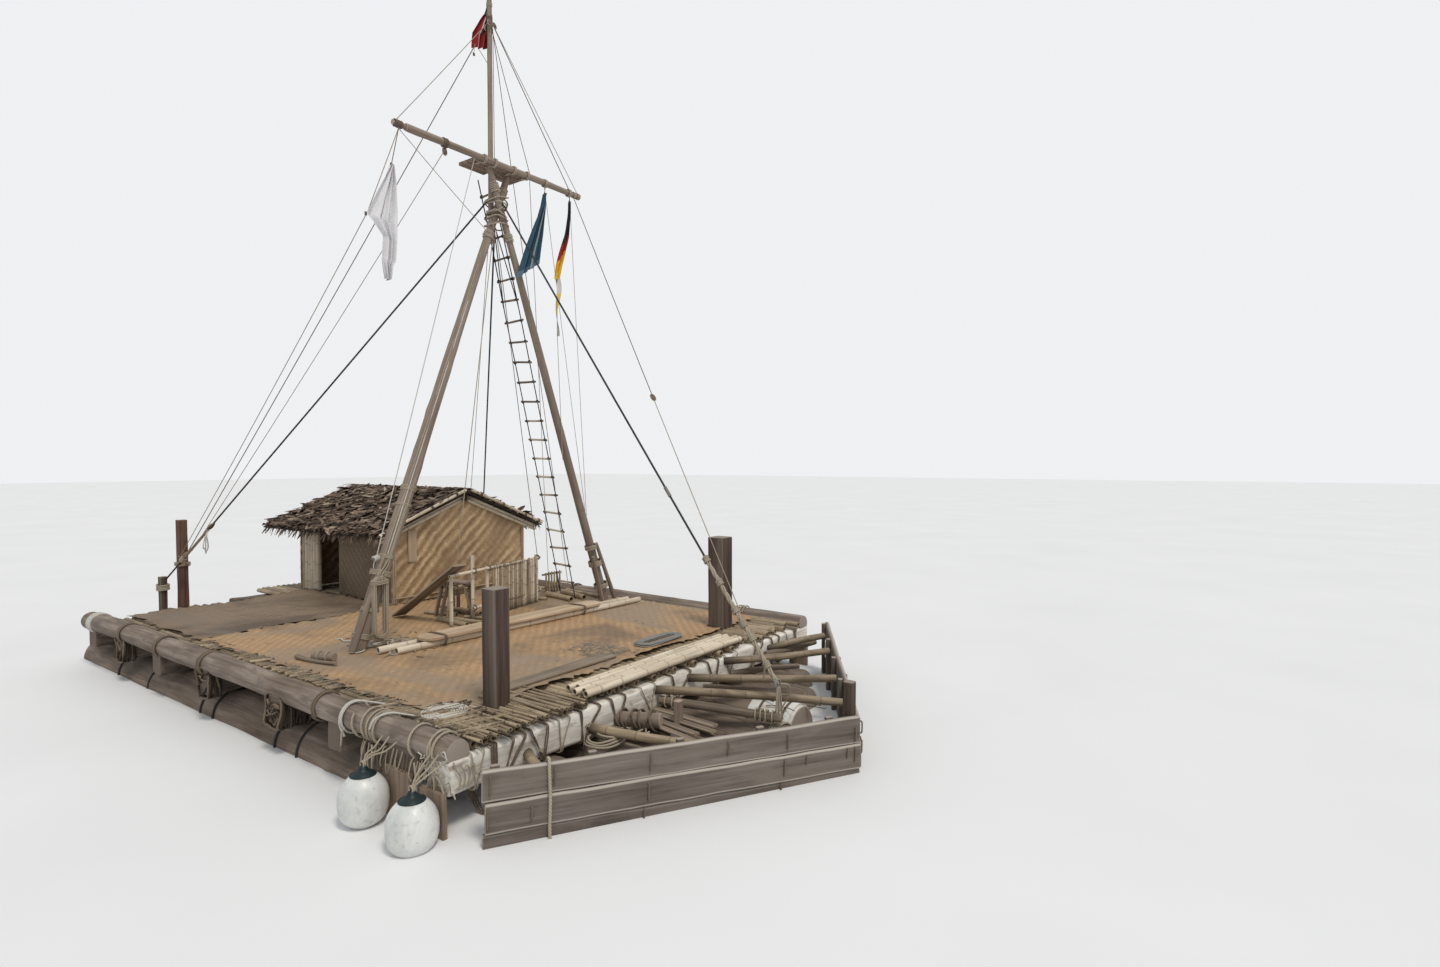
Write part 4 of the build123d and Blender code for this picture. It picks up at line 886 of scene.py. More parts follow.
for side, name in ((-1, "stbd"), (1, "port")):
    p = Piece()
    top0, top1 = TOPS[side], APEX_TOP
    rows = ((0.0, 0.24, 0.0), (0.24, 0.465, 0.014), (0.465, 0.69, -0.007))
    for k, (hi, lo, out) in enumerate(rows):
        mid = (hi + lo) / 2
        a = on_wall(side, -0.004 + 0.02 * (k == 1), out - 0.0275 - out / 2, top0 - mid)
        b = on_wall(side, RUN - 0.002, out - 0.0275 - out / 2, top1 - mid)
        plank(p, a, b, 0.232 if k == 0 else 0.219, 0.05 + out * 0.5, (AY, side * AX, 0), edge=0.01,
              wave=0.0055, tone=(0.55, 0.45, 0.35)[k] + 0.1 * (side > 0), seed=50 + k + 7 * side,
              mark_edge=0.75 if k < 2 else 0.2, step=0.1)
        block = p.v[-1]  # mitred where the two walls meet
        over = (block[:, 1] * side) < 0.0006
        shift = (0.0006 - block[over, 1] * side) / AY
        block[over, 0] -= AX * shift
        block[over, 1] += side * AY * shift
    for place in (0.06, 0.78, 1.5, 2.22, 2.9):
        top = top0 + (top1 - top0) * place / RUN
        a, b = on_wall(side, place + 0.035, -0.082, 0.205), on_wall(side, place + 0.035, -0.082, top + 0.005)
        plank(p, a, b, 0.064, 0.044, (AY, side * AX, 0), wave=0.003, tone=0.4)
    p.build(f"splash_boards_{name}_planks", "grey", (f"splash_boards_{name}",), smooth=35)

# Stitches: place along the wall, upper and lower end
STITCHES = {-1: ((0.05, 0.83, 0.69), (0.51, 0.815, 0.7), (1.255, 0.79, 0.665), (1.92, 0.785, 0.68),
                 (2.475, 0.765, 0.64), (3.157, 0.72, 0.605), (0.03, 0.6, 0.445), (0.34, 0.56, 0.46),
                 (1.235, 0.57, 0.435), (2.44, 0.55, 0.42), (2.655, 0.55, 0.48), (3.07, 0.55, 0.465),
                 (3.15, 0.55, 0.42), (1.2, 0.375, 0.302), (2.41, 0.365, 0.302))}
STITCHES[1] = tuple((q, hi + 0.03, lo + 0.03) for q, hi, lo in STITCHES[-1] if q > 0.2 and hi > 0.4)
p = Piece()
for side in (-1, 1):
    for place, hi, lo in STITCHES[side]:
        pts = [on_wall(side, place, 0.004, hi), on_wall(side, place + 0.003, 0.019, hi - 0.012),
               on_wall(side, place, 0.021, (hi + lo) / 2),
               on_wall(side, place - 0.003, 0.019, lo + 0.012), on_wall(side, place, 0.004, lo)]
        rope(p, pts, 0.0072, smooth=4)
p.build("splash_board_stitches", "brown_rope", smooth=60)

p = Piece()
pts = [on_wall(-1, 0.46, -0.12, 0.62), on_wall(-1, 0.465, -0.085, 0.8),
       on_wall(-1, 0.47, -0.062, 0.862), on_wall(-1, 0.47, -0.02, 0.883),
       on_wall(-1, 0.47, 0.012, 0.868), on_wall(-1, 0.468, 0.026, 0.8),
       on_wall(-1, 0.472, 0.029, 0.6), on_wall(-1, 0.466, 0.03, 0.4), on_wall(-1, 0.47, 0.022, 0.26)]
rope(p, pts, 0.0125, sides=9, smooth=8)
p.build("splash_board_rope", "rope", smooth=60)

# Apex post, behind the walls' board ends
p = Piece()
plank(p, (5.762, 0, 0.155), (5.762, 0, 1.105), 0.086, 0.095, (1, 0, 0), edge=0.012, wave=0.003, tone=0.25)
p.build("apex_post_wood", "post", ("apex_post",), smooth=35)

# Struts behind the boards: side, y and z on the beam, y and z on the wall
STRUTS = ((1, -0.42, 0.8, 0.45, 0.745), (1, 0.12, 0.79, 1.01, 0.79), (1, 0.8, 0.815, 1.79, 0.85),
          (1, 1.75, 0.76, 2.42, 0.86), (-1, -1.35, 0.7, -1.05, 0.7), (-1, -2.05, 0.69, -2.3, 0.69))
p = Piece()
for side, by, bz, wy, wz in STRUTS:
    wx = APEX - 0.055 / AY - abs(wy) * AX / AY
    start, end = np.array([3.865, by, bz]), np.array([wx, wy, wz])
    d = unit(end - start)
    bamboo(p, start - d * 0.02, end - d * 0.045, 0.043, 0.038, sides=14, pitch=0.34, bend=0.014,
           depth=0.05, hollow=(False, True))
p.build("bow_strut_poles", "bamboo", ("bow_struts",), smooth=50)

for side, name in ((-1, "stbd"), (1, "port")):
    p = Piece()
    for bow, aft, foot, top in ((3.44, 3.06, 0.06, 0.68), (3.85, 3.56, 0.04, 0.64)):
        mid = (bow + aft) / 2
        plank(p, (mid, side * 2.8125, foot + 0.003), (mid, side * 2.8125, top - 0.003),
              bow - aft - 0.008, 0.042, (0, side, 0), wave=0.006, tone=0.6)
    p.build(f"end_boards_{name}_wood", "end_board", (f"end_boards_{name}",), smooth=35)

# Posts that stand on the beams: name, x, y, width, top
POSTS = (("mooring_post_bow_stbd", 3.36, -1.96, 0.178, 1.99),
         ("mooring_post_bow_port", 3.165, 1.71, 0.236, 2.11),
         ("mooring_post_aft_stbd", -3.855, -1.77, 0.12, 2.24), ("tackle_post", -3.86, -2.01, 0.095, 1.45))
wood("red_post", (0.072, 0.036, 0.027), (0.129, 0.069, 0.051), (0.186, 0.114, 0.087),
     stretch=(0.9, 24, 24), bump=0.5, tone=0.3, end=(0.32, 0.24, 0.19))
for name, x, y, w, top in POSTS:
    p = Piece()
    plank(p, (x, y, 0.873), (x, y, top - 0.002), w - 0.006, w - 0.006, (1, 0, 0), edge=0.012, wave=0.003,
          tone=0.5, step=0.08, mark_edge=0.25)
    p.build(f"{name}_wood", "red_post" if name == "mooring_post_aft_stbd" else "post",
            (name,), smooth=35)

# ---------------------------------------------------------------- mast
MAST_X, CROSS_Y, CROSS_Z = 0.615, 0.3, 6.34


def leg_point(foot_y, leg_x, z):
    """Point of a leg's axis at the height z."""
    share = (z - DECK_Z) / (CROSS_Z - DECK_Z)
    return np.array([leg_x, foot_y + (CROSS_Y - foot_y) * share, z])


# Legs: side, y of the foot, x
LEGS = (("stbd", -1.655, 0.563), ("port", 2.19, 0.667))
STBD_LEG, PORT_LEG = LEGS[0][1:], LEGS[1][1:]


def leg_radius(z, leg_x):
    """Radius of a leg at the height z; the starboard one is thicker."""
    foot, tip = (0.092, 0.042) if leg_x < MAST_X else (0.069, 0.04)
    return foot + (tip - foot) * (z - 0.764) / (7.055 - 0.764)


for name, foot, x in LEGS:
    p = Piece()
    a, b = leg_point(foot, x, MAT_TOP + 0.001), leg_point(foot, x, 6.853)
    log(p, a, b, leg_radius(MAT_TOP, x) - 0.001, leg_radius(6.853, x) - 0.001, rough=0.0032, sides=24,
        step=0.1, knots=26, bend=0.012, tone=0.55 if name == "stbd" else 0.45,
        seed=21 if name == "stbd" else 90)
    p.build(f"mast_leg_{name}_wood", "mast", (f"mast_leg_{name}",), smooth=50)

POLE_X = 0.465
p = Piece()
log(p, (POLE_X, CROSS_Y, 5.952), (POLE_X, CROSS_Y, 9.17), 0.0355, 0.031, rough=0.0012, sides=16,
    step=0.12, knots=10, tone=0.75, seed=5)
log(p, (POLE_X, CROSS_Y, 9.165), (POLE_X, CROSS_Y, 9.349), 0.0308, 0.03, rough=0.0004, sides=16,
    step=0.05, tone=0.75, seed=6)
p.build("topmast_wood", "mast", ("topmast",), smooth=50)

p = Piece()
YARD_X, YARD_Z = 0.7643, 6.8775
log(p, (YARD_X, -1.11, YARD_Z), (YARD_X, 1.45, YARD_Z), 0.0432, 0.0375, rough=0.0018, sides=16,
    step=0.1, knots=12, tone=0.5, seed=8, bend=0.004)
for s0, s1 in ((-1.268, -1.1), (1.44, 1.608)):
    log(p, (YARD_X, s0, YARD_Z), (YARD_X, s1, YARD_Z), 0.0317, 0.0317, rough=0.0006, sides=16, step=0.05,
        tone=0.3, seed=9)
p.build("yard_wood", "mast", ("yard",), smooth=50)

p = Piece()
for k in range(4):
    x = 0.718 - 0.045 - 0.0895 * k
    y0, y1 = -0.118 + rng.uniform(0, 0.012), 0.698 - rng.uniform(0, 0.015)
    parts = ((y0, CROSS_Y - 0.04), (CROSS_Y + 0.04, y1)) if abs(x - POLE_X) < 0.08 else ((y0, y1),)
    for a, b in parts:
        plank(p, (x, a, YARD_Z), (x, b, YARD_Z), 0.0865, 0.043, (0, 0, 1), edge=0.005, wave=0.002)
p.build("lookout_platform_planks", "brown_board", ("lookout_platform",), smooth=35)

# Lashing at the crossing: turns round both legs and the pole, crossed and frapped
p = Piece()
for k in range(9):
    z = CROSS_Z - 0.18 + 0.044 * k
    a = leg_point(*STBD_LEG, z)
    b = leg_point(*PORT_LEG, z)
    y_lo, y_hi = min(a[1], b[1]), max(a[1], b[1])
    half = (y_hi - y_lo) / 2 + 0.05
    ang = np.linspace(0, 2 * math.pi, 40, endpoint=False)
    tilt = 0.05 * math.sin(k * 1.7)
    lo, hi = POLE_X - 0.036, PORT_LEG[1] + 0.048
    cx, hx = (lo + hi) / 2, (hi - lo) / 2
    pts = np.stack([cx + (hx + 0.01) * np.sign(np.cos(ang)) * np.abs(np.cos(ang)) ** 0.55,
                    (y_lo + y_hi) / 2 + (half + 0.008) * np.sign(np.sin(ang)) * np.abs(np.sin(ang)) ** 0.75,
                    z + tilt * np.sin(ang) + 0.012 * np.cos(ang * 2 + k)], 1)
    rope(p, pts, 0.0092, sides=8, closed=True, material=1 if k % 3 == 1 else 0)
for _, foot, x in LEGS:
    for z0, count in ((6.62, 6), (6.02, 5)):
        c = leg_point(foot, x, z0)
        axis = unit(leg_point(foot, x, 7) - leg_point(foot, x, 5))
        wrap(p, c, axis, leg_radius(z0, x), 0.01, count)
wrap(p, (POLE_X, CROSS_Y, 6.00), (0, 0, 1), 0.036, 0.008, 4)
for y in (-0.06, 0.1, 0.4, 0.62):
    path = [(YARD_X - 0.05, y, 6.848), (YARD_X, y + 0.01, 6.826), (YARD_X + 0.05, y + 0.014, 6.86),
            (YARD_X + 0.04, y + 0.018, 6.915), (YARD_X - 0.02, y + 0.02, 6.93),
            (YARD_X - 0.14, y + 0.02, 6.912), (YARD_X - 0.16, y + 0.01, 6.86), (YARD_X - 0.12, y, 6.842)]
    rope(p, path, 0.0085, smooth=5, closed=True)
    rope(p, [(a, b + 0.019, c) for a, b, c in path], 0.0085, smooth=5, closed=True)
p.build("mast_lashing_rope", ["rope", "brown_rope"], ("mast_lashing",), smooth=60)

# Rope ladder, slack enough to bow a little
LADDER_FOOT, LADDER_TOP = np.array([0.16, 1.93, 0.95]), np.array([0.44, 0.388, 6.13])
p = Piece()
share = np.linspace(0.004, 1.0, 70)
middle = LADDER_FOOT + share[:, None] * (LADDER_TOP - LADDER_FOOT)
middle[:, 1] += 0.018 * np.sin(share * math.pi)
half = np.interp(share, [0, 0.82, 1], [0.15, 0.15, 0.017])
for side in (-1, 1):
    pts = middle.copy()
    pts[:, 0] += side * half
    rope(p, pts, 0.0072, material=1)
for k in range(16):
    u = 0.055 + (0.835 - 0.055) * k / 15
    c = np.array([np.interp(u, share, middle[:, i]) for i in range(3)])
    h = np.interp(u, share, half) + 0.036
    tilt = rng.uniform(-0.016, 0.016)
    bamboo(p, c - (h, 0, tilt), c + (h, 0, tilt), 0.0135 + 0.002 * rng.random(), sides=9, pitch=0.19,
           hollow=(False, False), tone=1.0 - 0.8 * u, bend=0.002, material=2 if u > 0.55 else 0)
    for side in (-1, 1):
        e = c + np.array([side * (h - 0.036), 0, 0])
        wrap(p, e, (1, 0, 0), 0.014, 0.004, 2, per=10, sides=6, material=1)
p.build("rope_ladder_rungs", ["pale_bamboo", "dark_rope", "brown_board"], ("rope_ladder",), smooth=50)
p = Piece()
top = np.array([np.interp(0.82, share, middle[:, i]) for i in range(3)])
end = np.array([0.275, 0.33, 6.86])
for side in (-1, 1):
    rope(p, [top + (side * 0.15, 0, 0), (top + end) / 2 + (side * 0.132, 0.012, 0),
             end + (side * 0.115, 0, 0)], 0.008, smooth=8)
for k in range(5):
    u = 0.213 + 0.165 * k
    c = top + (end - top) * u + (0, 0.01, 0)
    h = 0.15 - 0.035 * u + 0.03
    bamboo(p, c - (h, 0, 0.008), c + (h, 0, 0.008), 0.0135, sides=9, pitch=0.19, hollow=(False, False),
           tone=0.4, bend=0.002, material=1)
    for side in (-1, 1):
        wrap(p, c + (side * (h - 0.03), 0, 0), (1, 0, 0), 0.014, 0.005, 3, per=10, sides=6)
p.build("rope_ladder_head", ["dark_rope", "brown_board"], smooth=50)

# ---------------------------------------------------------------- cabin
# The cabin's bow, aft, starboard and port faces, eaves and ridge
CB, CA, CS, CP, EAVE, RIDGE = -1.61, -4.35, 0.1, 2.55, 2.07, 2.57
CMID, CHALF = (CS + CP) / 2, (CP - CS) / 2
SLOPE = (RIDGE - EAVE) / CHALF


def woven_panel(name, node, material, origin, u_axis, out, u_len, top, seed=1):
    """Upright wall of plaited strips in relief: u along the wall, v up, twill of two over and two under."""
    steps = 2  # to each strip
    u_axis, v_axis, out, origin = (np.asarray(a, float) for a in (u_axis, (0, 0, 1), out, origin))
    nu = int(round(u_len / STRIP))
    v_len = max(top(u) for u in np.linspace(0, u_len, 40))
    us = np.linspace(0, u_len, nu * steps + 1)
    vs = np.linspace(0, v_len, int(math.ceil(v_len / STRIP)) * steps + 1)
    gu, gv = np.meshgrid(us, vs, indexing="ij")
    p, q = gu / (u_len / nu), gv / STRIP
    over = (np.floor(p - 1e-6) + np.floor(q - 1e-6)) % 4 < 1.9
    h = np.where(over, 0.5 + 0.5 * np.abs(np.sin(q * math.pi)), 0.5 * np.abs(np.sin(p * math.pi)))
    relief = 0.0052 * h + 0.007 * np.sin(gu * 4.2 + seed) * np.sin(gv * 3.4 + seed * 2)
    limit = np.array([top(u) for u in us])
    height = np.minimum(gv, limit[:, None])
    points = origin + gu[..., None] * u_axis + height[..., None] * v_axis + relief[..., None] * out
    flip = float(np.cross(u_axis, v_axis) @ out) < 0
    faces = [quad[::-1] if flip else quad for i, j,
             quad in cells(*gu.shape) if vs[j] < limit[i:i + 2].min() or vs[j] < limit[i:i + 2].max() - 1e-6]
    obj = plaited(name, node, material, points.reshape(-1, 3), faces, 0.022, -1.0, 70)
    bm = bmesh.new()
    bm.from_mesh(obj.data)
    bmesh.ops.remove_doubles(bm, verts=bm.verts, dist=0.0004)
    bmesh.ops.dissolve_degenerate(bm, dist=0.0004, edges=bm.edges)
    bmesh.ops.delete(bm, geom=[v for v in bm.verts if not v.link_faces], context="VERTS")
    bm.to_mesh(obj.data)
    bm.free()


# The gable's plait carries broad diagonal bands of painted sunlight and painted shade.
plait("wall", (0.6, 0.42, 0.235), (0.52, 0.36, 0.2), (0.3, 0.19, 0.105), coords="yz",
      lean="SUBTRACT", contrast=0.7, worn=(0.27, 0.18, 0.105), worn_at=(0.42, 0.6),
      painted_light_bands=(0.2, (0.27, 0.175, 0.095), (0.86, 0.66, 0.42)), bump=0.35)
plait("wall_side", (0.285, 0.214, 0.14), (0.223, 0.164, 0.105), (0.136, 0.096, 0.062), coords="xz",
      contrast=0.8, worn=(0.1, 0.075, 0.055), worn_at=(0.44, 0.62), bump=0.35)


def gable_top(u):
    return RIDGE - DECK_Z - abs(u - CHALF) * SLOPE


def wall_top(u):
    return EAVE - DECK_Z - 0.004


# Foot of the walls, their inset, the doorway's edge and the side walls' ends
FOOT, FACE, DOOR_X, WALL_BOW, WALL_AFT = DECK_Z + 0.002, 0.009, -3.12, -1.64, -4.32
woven_panel("cabin_gable_bow_plait", "cabin_gable_bow", "wall", (CB - FACE, CS, FOOT), (0, 1, 0),
            (1, 0, 0), CP - CS, gable_top, seed=2)
woven_panel("cabin_gable_aft_plait", "cabin_gable_aft", "wall", (CA + FACE, CS, FOOT), (0, 1, 0),
            (-1, 0, 0), CP - CS, gable_top, seed=5)
woven_panel("cabin_wall_stbd_plait", "cabin_wall_stbd", "wall_side", (DOOR_X, CS + FACE, FOOT), (1, 0, 0),
            (0, -1, 0), WALL_BOW - DOOR_X, wall_top, seed=7)
woven_panel("cabin_wall_port_plait", "cabin_wall_port", "wall_side", (WALL_AFT, CP - FACE, FOOT), (1, 0, 0),
            (0, 1, 0), WALL_BOW - WALL_AFT, wall_top, seed=11)

# The small flap, split canes at the corners and the frame's poles
p = Piece()
plank(p, (CB + 0.013, 0.42, 1.565), (CB + 0.013, 0.42, 2.035), 0.144, 0.018, (1, 0, 0), wave=0.002, tone=0.3)
for y, way in ((CS + 0.012, 1), (CP - 0.012, -1)):
    bamboo(p, (CB + 0.012, y, DECK_Z + 0.02), (CB + 0.012, y, EAVE - 0.11), 0.012, sides=8, tone=0.8)
    bamboo(p, (CB + 0.01, y + 0.03 * way, DECK_Z + 0.02), (CB + 0.01, y + 0.03 * way, EAVE - 0.1), 0.01,
           sides=8, tone=0.5)
bamboo(p, (CB + 0.014, CS + 0.02, DECK_Z + 0.09), (CB + 0.014, CP - 0.02, DECK_Z + 0.085), 0.012,
       sides=8, tone=0.4)
p.build("cabin_wall_trim", "board", smooth=50)

p = Piece()
for k in range(6):
    x = CA + 0.03 + 0.046 + 0.09 * k
    bamboo(p, (x, CS + 0.046, FOOT), (x, CS + 0.046, EAVE - 0.064), 0.0445, 0.0445 * 0.96, sides=12,
           pitch=0.34, tone=rng.uniform(0.5, 1.0))
p.build("door_posts_bamboo", "pale_bamboo", ("door_posts",), smooth=50)

# Frame: poles of radius FRAME_R, set in from the faces, under the wall plates' and the ridge pole's height
FRAME_R, SET_IN = 0.038, 0.068
LIFT = (FRAME_R + 0.008) / math.cos(math.atan(SLOPE))
PLATE_Z, RIDGE_POLE_Z = EAVE + SET_IN * SLOPE - LIFT, RIDGE - LIFT
p = Piece()
for x, y in ((CB - SET_IN, CS + SET_IN), (CB - SET_IN, CP - SET_IN), (CA + SET_IN, CP - SET_IN),
             (DOOR_X + FRAME_R, CS + SET_IN)):
    bamboo(p, (x, y, DECK_Z + 0.001), (x, y, PLATE_Z), FRAME_R - 0.002, sides=12, pitch=0.38,
           hollow=(False, False))
for y, z in ((CS + SET_IN, PLATE_Z), (CP - SET_IN, PLATE_Z), (CMID, RIDGE_POLE_Z)):
    bamboo(p, (-4.94, y, z), (CB - 0.031, y, z), FRAME_R - 0.001, FRAME_R - 0.003, sides=12, pitch=0.4,
           hollow=(True, False))
RAFTER_Z = RIDGE_POLE_Z - FRAME_R - 0.012
for k in range(6):
    x = -4.75 + 0.6 * k
    for side in (-1, 1):
        bamboo(p, (x, CMID + side * 0.02, RAFTER_Z),
               (x, CMID + side * (CHALF - 0.1), RAFTER_Z - (CHALF - 0.12) * SLOPE), 0.014, sides=8,
               hollow=(False, False))
p.build("cabin_frame_bamboo", "bamboo", ("cabin_frame",), smooth=50)

p = Piece()
for side in (-1, 1):
    for course in (1, 3):
        drop = course * 0.028 / math.cos(math.atan(SLOPE))
        reach = CHALF + 0.23
        a = (CB + 0.028, CMID + side * 0.028, RIDGE - drop - 0.028 * SLOPE)
        b = (CB + 0.028, CMID + side * reach, RIDGE - drop - reach * SLOPE)
        bamboo(p, a, b, 0.027, 0.025, sides=11, pitch=0.33, tone=rng.uniform(0.5, 1.0),
               hollow=(False, True), depth=0.05)
p.build("bargeboard_poles", "pale_bamboo", ("bargeboards",), smooth=50)


# Thatch: a thin bed under rows of dry leaves
def leaf(piece, root, down, side, up, length, width, tone, curl, twist):
    """One dry leaf, folded along its rib."""
    n = 5
    verts = []
    for i in range(n + 1):
        t = i / n
        w = width * (math.sin(math.pi * min(1.0, 0.18 + 0.82 * t)) ** 0.7) * 0.5 + 0.002
        rise = curl * t * t + 0.012 * math.sin(3 * t + twist)
        c = root + down * (length * t) + up * rise + side * (twist * 0.05 * t * t)
        tw = twist * t
        sx = side * math.cos(tw) + up * math.sin(tw)
        ridge = up * 0.006
        verts += [c - sx * w, c + ridge, c + sx * w]
    faces = []
    for i in range(n):
        a = 3 * i
        faces += [(a, a + 1, a + 4, a + 3), (a + 1, a + 2, a + 5, a + 4)]
    verts = np.array(verts)
    grain = np.stack([np.repeat(np.linspace(0, length, n + 1), 3), np.tile([-width, 0, width], n + 1),
                      np.zeros(3 * (n + 1))], 1) + rng.uniform(0, 30)
    piece.add(verts, faces, grain, tone)


n = Nodes("thatch")
gv = n.attr("grain", vector=True)
veins = n.noise(n.stretch(gv, (5, 120, 1)), 1.0, 4.0, 0.6)
fac = n.math("ADD", n.math("MULTIPLY", n.attr("tone"), 0.75), n.math("MULTIPLY", veins, 0.25))
leaf_color = n.ramp(fac, [(0.12, (0.022, 0.015, 0.011)), (0.38, (0.095, 0.064, 0.045)),
                          (0.6, (0.21, 0.15, 0.108)), (0.88, (0.5, 0.41, 0.32))])
n.bump(veins, 0.4, 0.003)
n.finish(leaf_color, 0.75, 0.25)

LEAF_ROWS, LEAVES_A_ROW, BED_COLS, BED_ROWS = 13, 98, 46, 18
ROOF_X0, ROOF_X1 = -4.985, -1.465
X_AXIS = np.array([1.0, 0, 0])

for side, name in ((-1, "stbd"), (1, "port")):
    p = Piece()
    down = unit((0, side, -SLOPE))
    up = np.array([0, side * SLOPE, 1.0]) / math.hypot(1, SLOPE)
    span = (CHALF + 0.29) * math.hypot(1, SLOPE)
    gx = np.linspace(ROOF_X0, ROOF_X1, BED_COLS)
    gs = np.linspace(0, span, BED_ROWS)

    def on_roof(x, s, rise):
        """Point of this roof side: along the ridge, down the slope and out of it."""
        return np.array([x, CMID, RIDGE]) + down * s + up * rise

    bed, base = [], []
    for i in range(BED_COLS):
        for j in range(BED_ROWS):
            wave = 0.018 * math.sin(gx[i] * 7.1 + 3 * math.sin(gs[j] * 4))
            rise = 0.055 + wave * math.sin(gs[j] * 9 + gx[i] * 2.3)
            bed.append(on_roof(gx[i], gs[j], 0.02 if j == BED_ROWS - 1 or i in (0, BED_COLS - 1) else rise))
            base.append(on_roof(gx[i], gs[j], 0.004))
    faces = []
    size = BED_COLS * BED_ROWS
    for _, _, quad in cells(BED_COLS, BED_ROWS):
        under = tuple(k + size for k in quad)
        faces += [quad if side > 0 else quad[::-1], under[::-1] if side > 0 else under]
    rim = [(i * BED_ROWS + j, (i + 1) * BED_ROWS + j) for i in range(BED_COLS - 1) for j in (0, BED_ROWS - 1)]
    rim += [(i * BED_ROWS + j, i * BED_ROWS + j + 1) for j in range(BED_ROWS - 1) for i in (0, BED_COLS - 1)]
    faces += [(a, b, b + size, a + size) for a, b in rim]
    verts = np.array(bed + base)
    p.add(verts, faces, verts * 6, 0.08)
    # rows of leaves from the eave up to the ridge
    for row in range(LEAF_ROWS):
        s0 = span * (LEAF_ROWS - 1 - row) / LEAF_ROWS
        for k in range(LEAVES_A_ROW):
            x = ROOF_X0 + 0.05 + (ROOF_X1 - ROOF_X0 - 0.1) * (k + rng.uniform(0, 1)) / LEAVES_A_ROW
            length = rng.uniform(0.14, 0.3)
            s = max(0.0, s0 + rng.uniform(-0.05, 0.05))
            yaw = rng.gauss(0, 0.38)
            d = unit(down * math.cos(yaw) + X_AXIS * math.sin(yaw))
            root = on_roof(x, s, 0.05 + rng.uniform(0, 0.018))
            over = s + length * math.cos(yaw) - span - 0.012
            if over > 0:
                length = max(0.08, length - over)
            tone = rng.gauss(0.42, 0.2)
            tone = min(1.0, max(0.0, tone + (0.32 if rng.random() < 0.13 else 0)))
            leaf(p, root, d, unit(np.cross(up, d)), up, length, rng.uniform(0.024, 0.062), tone,
                 rng.uniform(-0.02, 0.048), rng.uniform(-1.1, 1.1))
    # loose leaves over them, that stand up a little
    for _ in range(720):
        x = ROOF_X0 + 0.06 + (ROOF_X1 - ROOF_X0 - 0.12) * rng.random()
        s = span * rng.random() ** 0.9
        yaw = rng.gauss(0, 0.95)
        d = unit(down * math.cos(yaw) + X_AXIS * math.sin(yaw) + up * rng.uniform(-0.05, 0.42))
        root = on_roof(x, s, 0.058 + rng.uniform(0, 0.022))
        length = rng.uniform(0.1, 0.24)
        if s + length > span + 0.04:
            length = max(0.07, span + 0.04 - s)
        leaf(p, root, d, unit(np.cross(up, d)), up, length, rng.uniform(0.035, 0.085),
             min(1.0, max(0.0, rng.gauss(0.4, 0.26))), rng.uniform(-0.05, 0.03), rng.uniform(-1.5, 1.5))
    # leaves that hang over the eave
    for _ in range(150):
        x = ROOF_X0 + 0.04 + (ROOF_X1 - ROOF_X0 - 0.08) * rng.random()
        d = unit(down * 0.5 + np.array([rng.gauss(0, 0.25), 0, -0.75]))
        sv = unit(np.cross((0, side, 0.2), d))
        root = on_roof(x, span - rng.uniform(0.05, 0.1), rng.uniform(0.015, 0.05))
        leaf(p, root, d, sv, unit(np.cross(d, sv)), rng.uniform(0.09, 0.2), rng.uniform(0.02, 0.045),
             rng.uniform(0.1, 0.75), 0.01, rng.uniform(-0.8, 0.8))
    # leaves along the ridge
    for _ in range(110):
        x = ROOF_X0 + 0.04 + (ROOF_X1 - ROOF_X0 - 0.08) * rng.random()
        d = unit(down * 0.9 + up * rng.uniform(-0.1, 0.35) + np.array([rng.gauss(0, 0.6), 0, 0]))
        root = np.array([x, CMID - side * 0.03, RIDGE + 0.075 + rng.uniform(0, 0.012)])
        leaf(p, root, d, unit(np.cross(up, d)), up, rng.uniform(0.12, 0.24), rng.uniform(0.025, 0.05),
             rng.uniform(0.1, 0.8), -0.015, rng.uniform(-0.6, 0.6))
    p.build(f"thatch_{name}_leaves", "thatch", (f"thatch_{name}",), smooth=30)

p = Piece()
for side, tone in ((-1, 0.9), (1, 0.75)):
    down = unit((0, side, -SLOPE))
    up = np.array((0, side * SLOPE, 1.0)) / math.hypot(1, SLOPE)
    a = np.array([-1.452, CMID, RIDGE]) + down * 0.03 + up * 0.07
    b = np.array([-1.452, CMID, RIDGE]) + down * ((CHALF + 0.27) * math.hypot(1, SLOPE)) + up * 0.052
    bamboo(p, a, b, 0.024, 0.021, sides=10, pitch=0.28, tone=tone, bend=0.006)
    for u in (0.12, 0.42, 0.74, 0.94):
        wrap(p, a + (b - a) * u, down, 0.027, 0.005, 4, per=12, sides=6, material=1)
p.build("thatch_edge_poles", ["pale_bamboo", "brown_rope"], smooth=50)

# ---------------------------------------------------------------- deck gear
# Bundle of bamboo along the deck's bow edge
p = Piece()
for k, (a, b) in enumerate(((-1.34, 1.19), (-1.29, 1.21), (-1.35, 1.13), (-1.24, 1.2), (-1.3, 1.16))):
    x = 3.84 - 0.033 * (2 * k + 1)
    bamboo(p, (x, a, 0.9835), (x, b, 0.9825), 0.0325, 0.0318, sides=14, pitch=0.34,
           tone=(0.9, 0.7, 1.0, 0.6, 0.8)[k], depth=0.08, bend=0.002)
p.build("bamboo_bundle_poles", "pale_bamboo", ("bamboo_bundle",), smooth=50)

p = Piece()
for (x0, y0), (x1, y1) in (((0.9, -1.6), (1.09, 2.25)), ((1.09, -1.5), (1.25, 2.33))):
    bamboo(p, (x0, y0, MAT_TOP + 0.041), (x1, y1, MAT_TOP + 0.041), 0.041, 0.038, sides=14, pitch=0.36,
           tone=0.8)
p.build("stowed_pole_bamboo", "pale_bamboo", ("stowed_poles",), smooth=50)

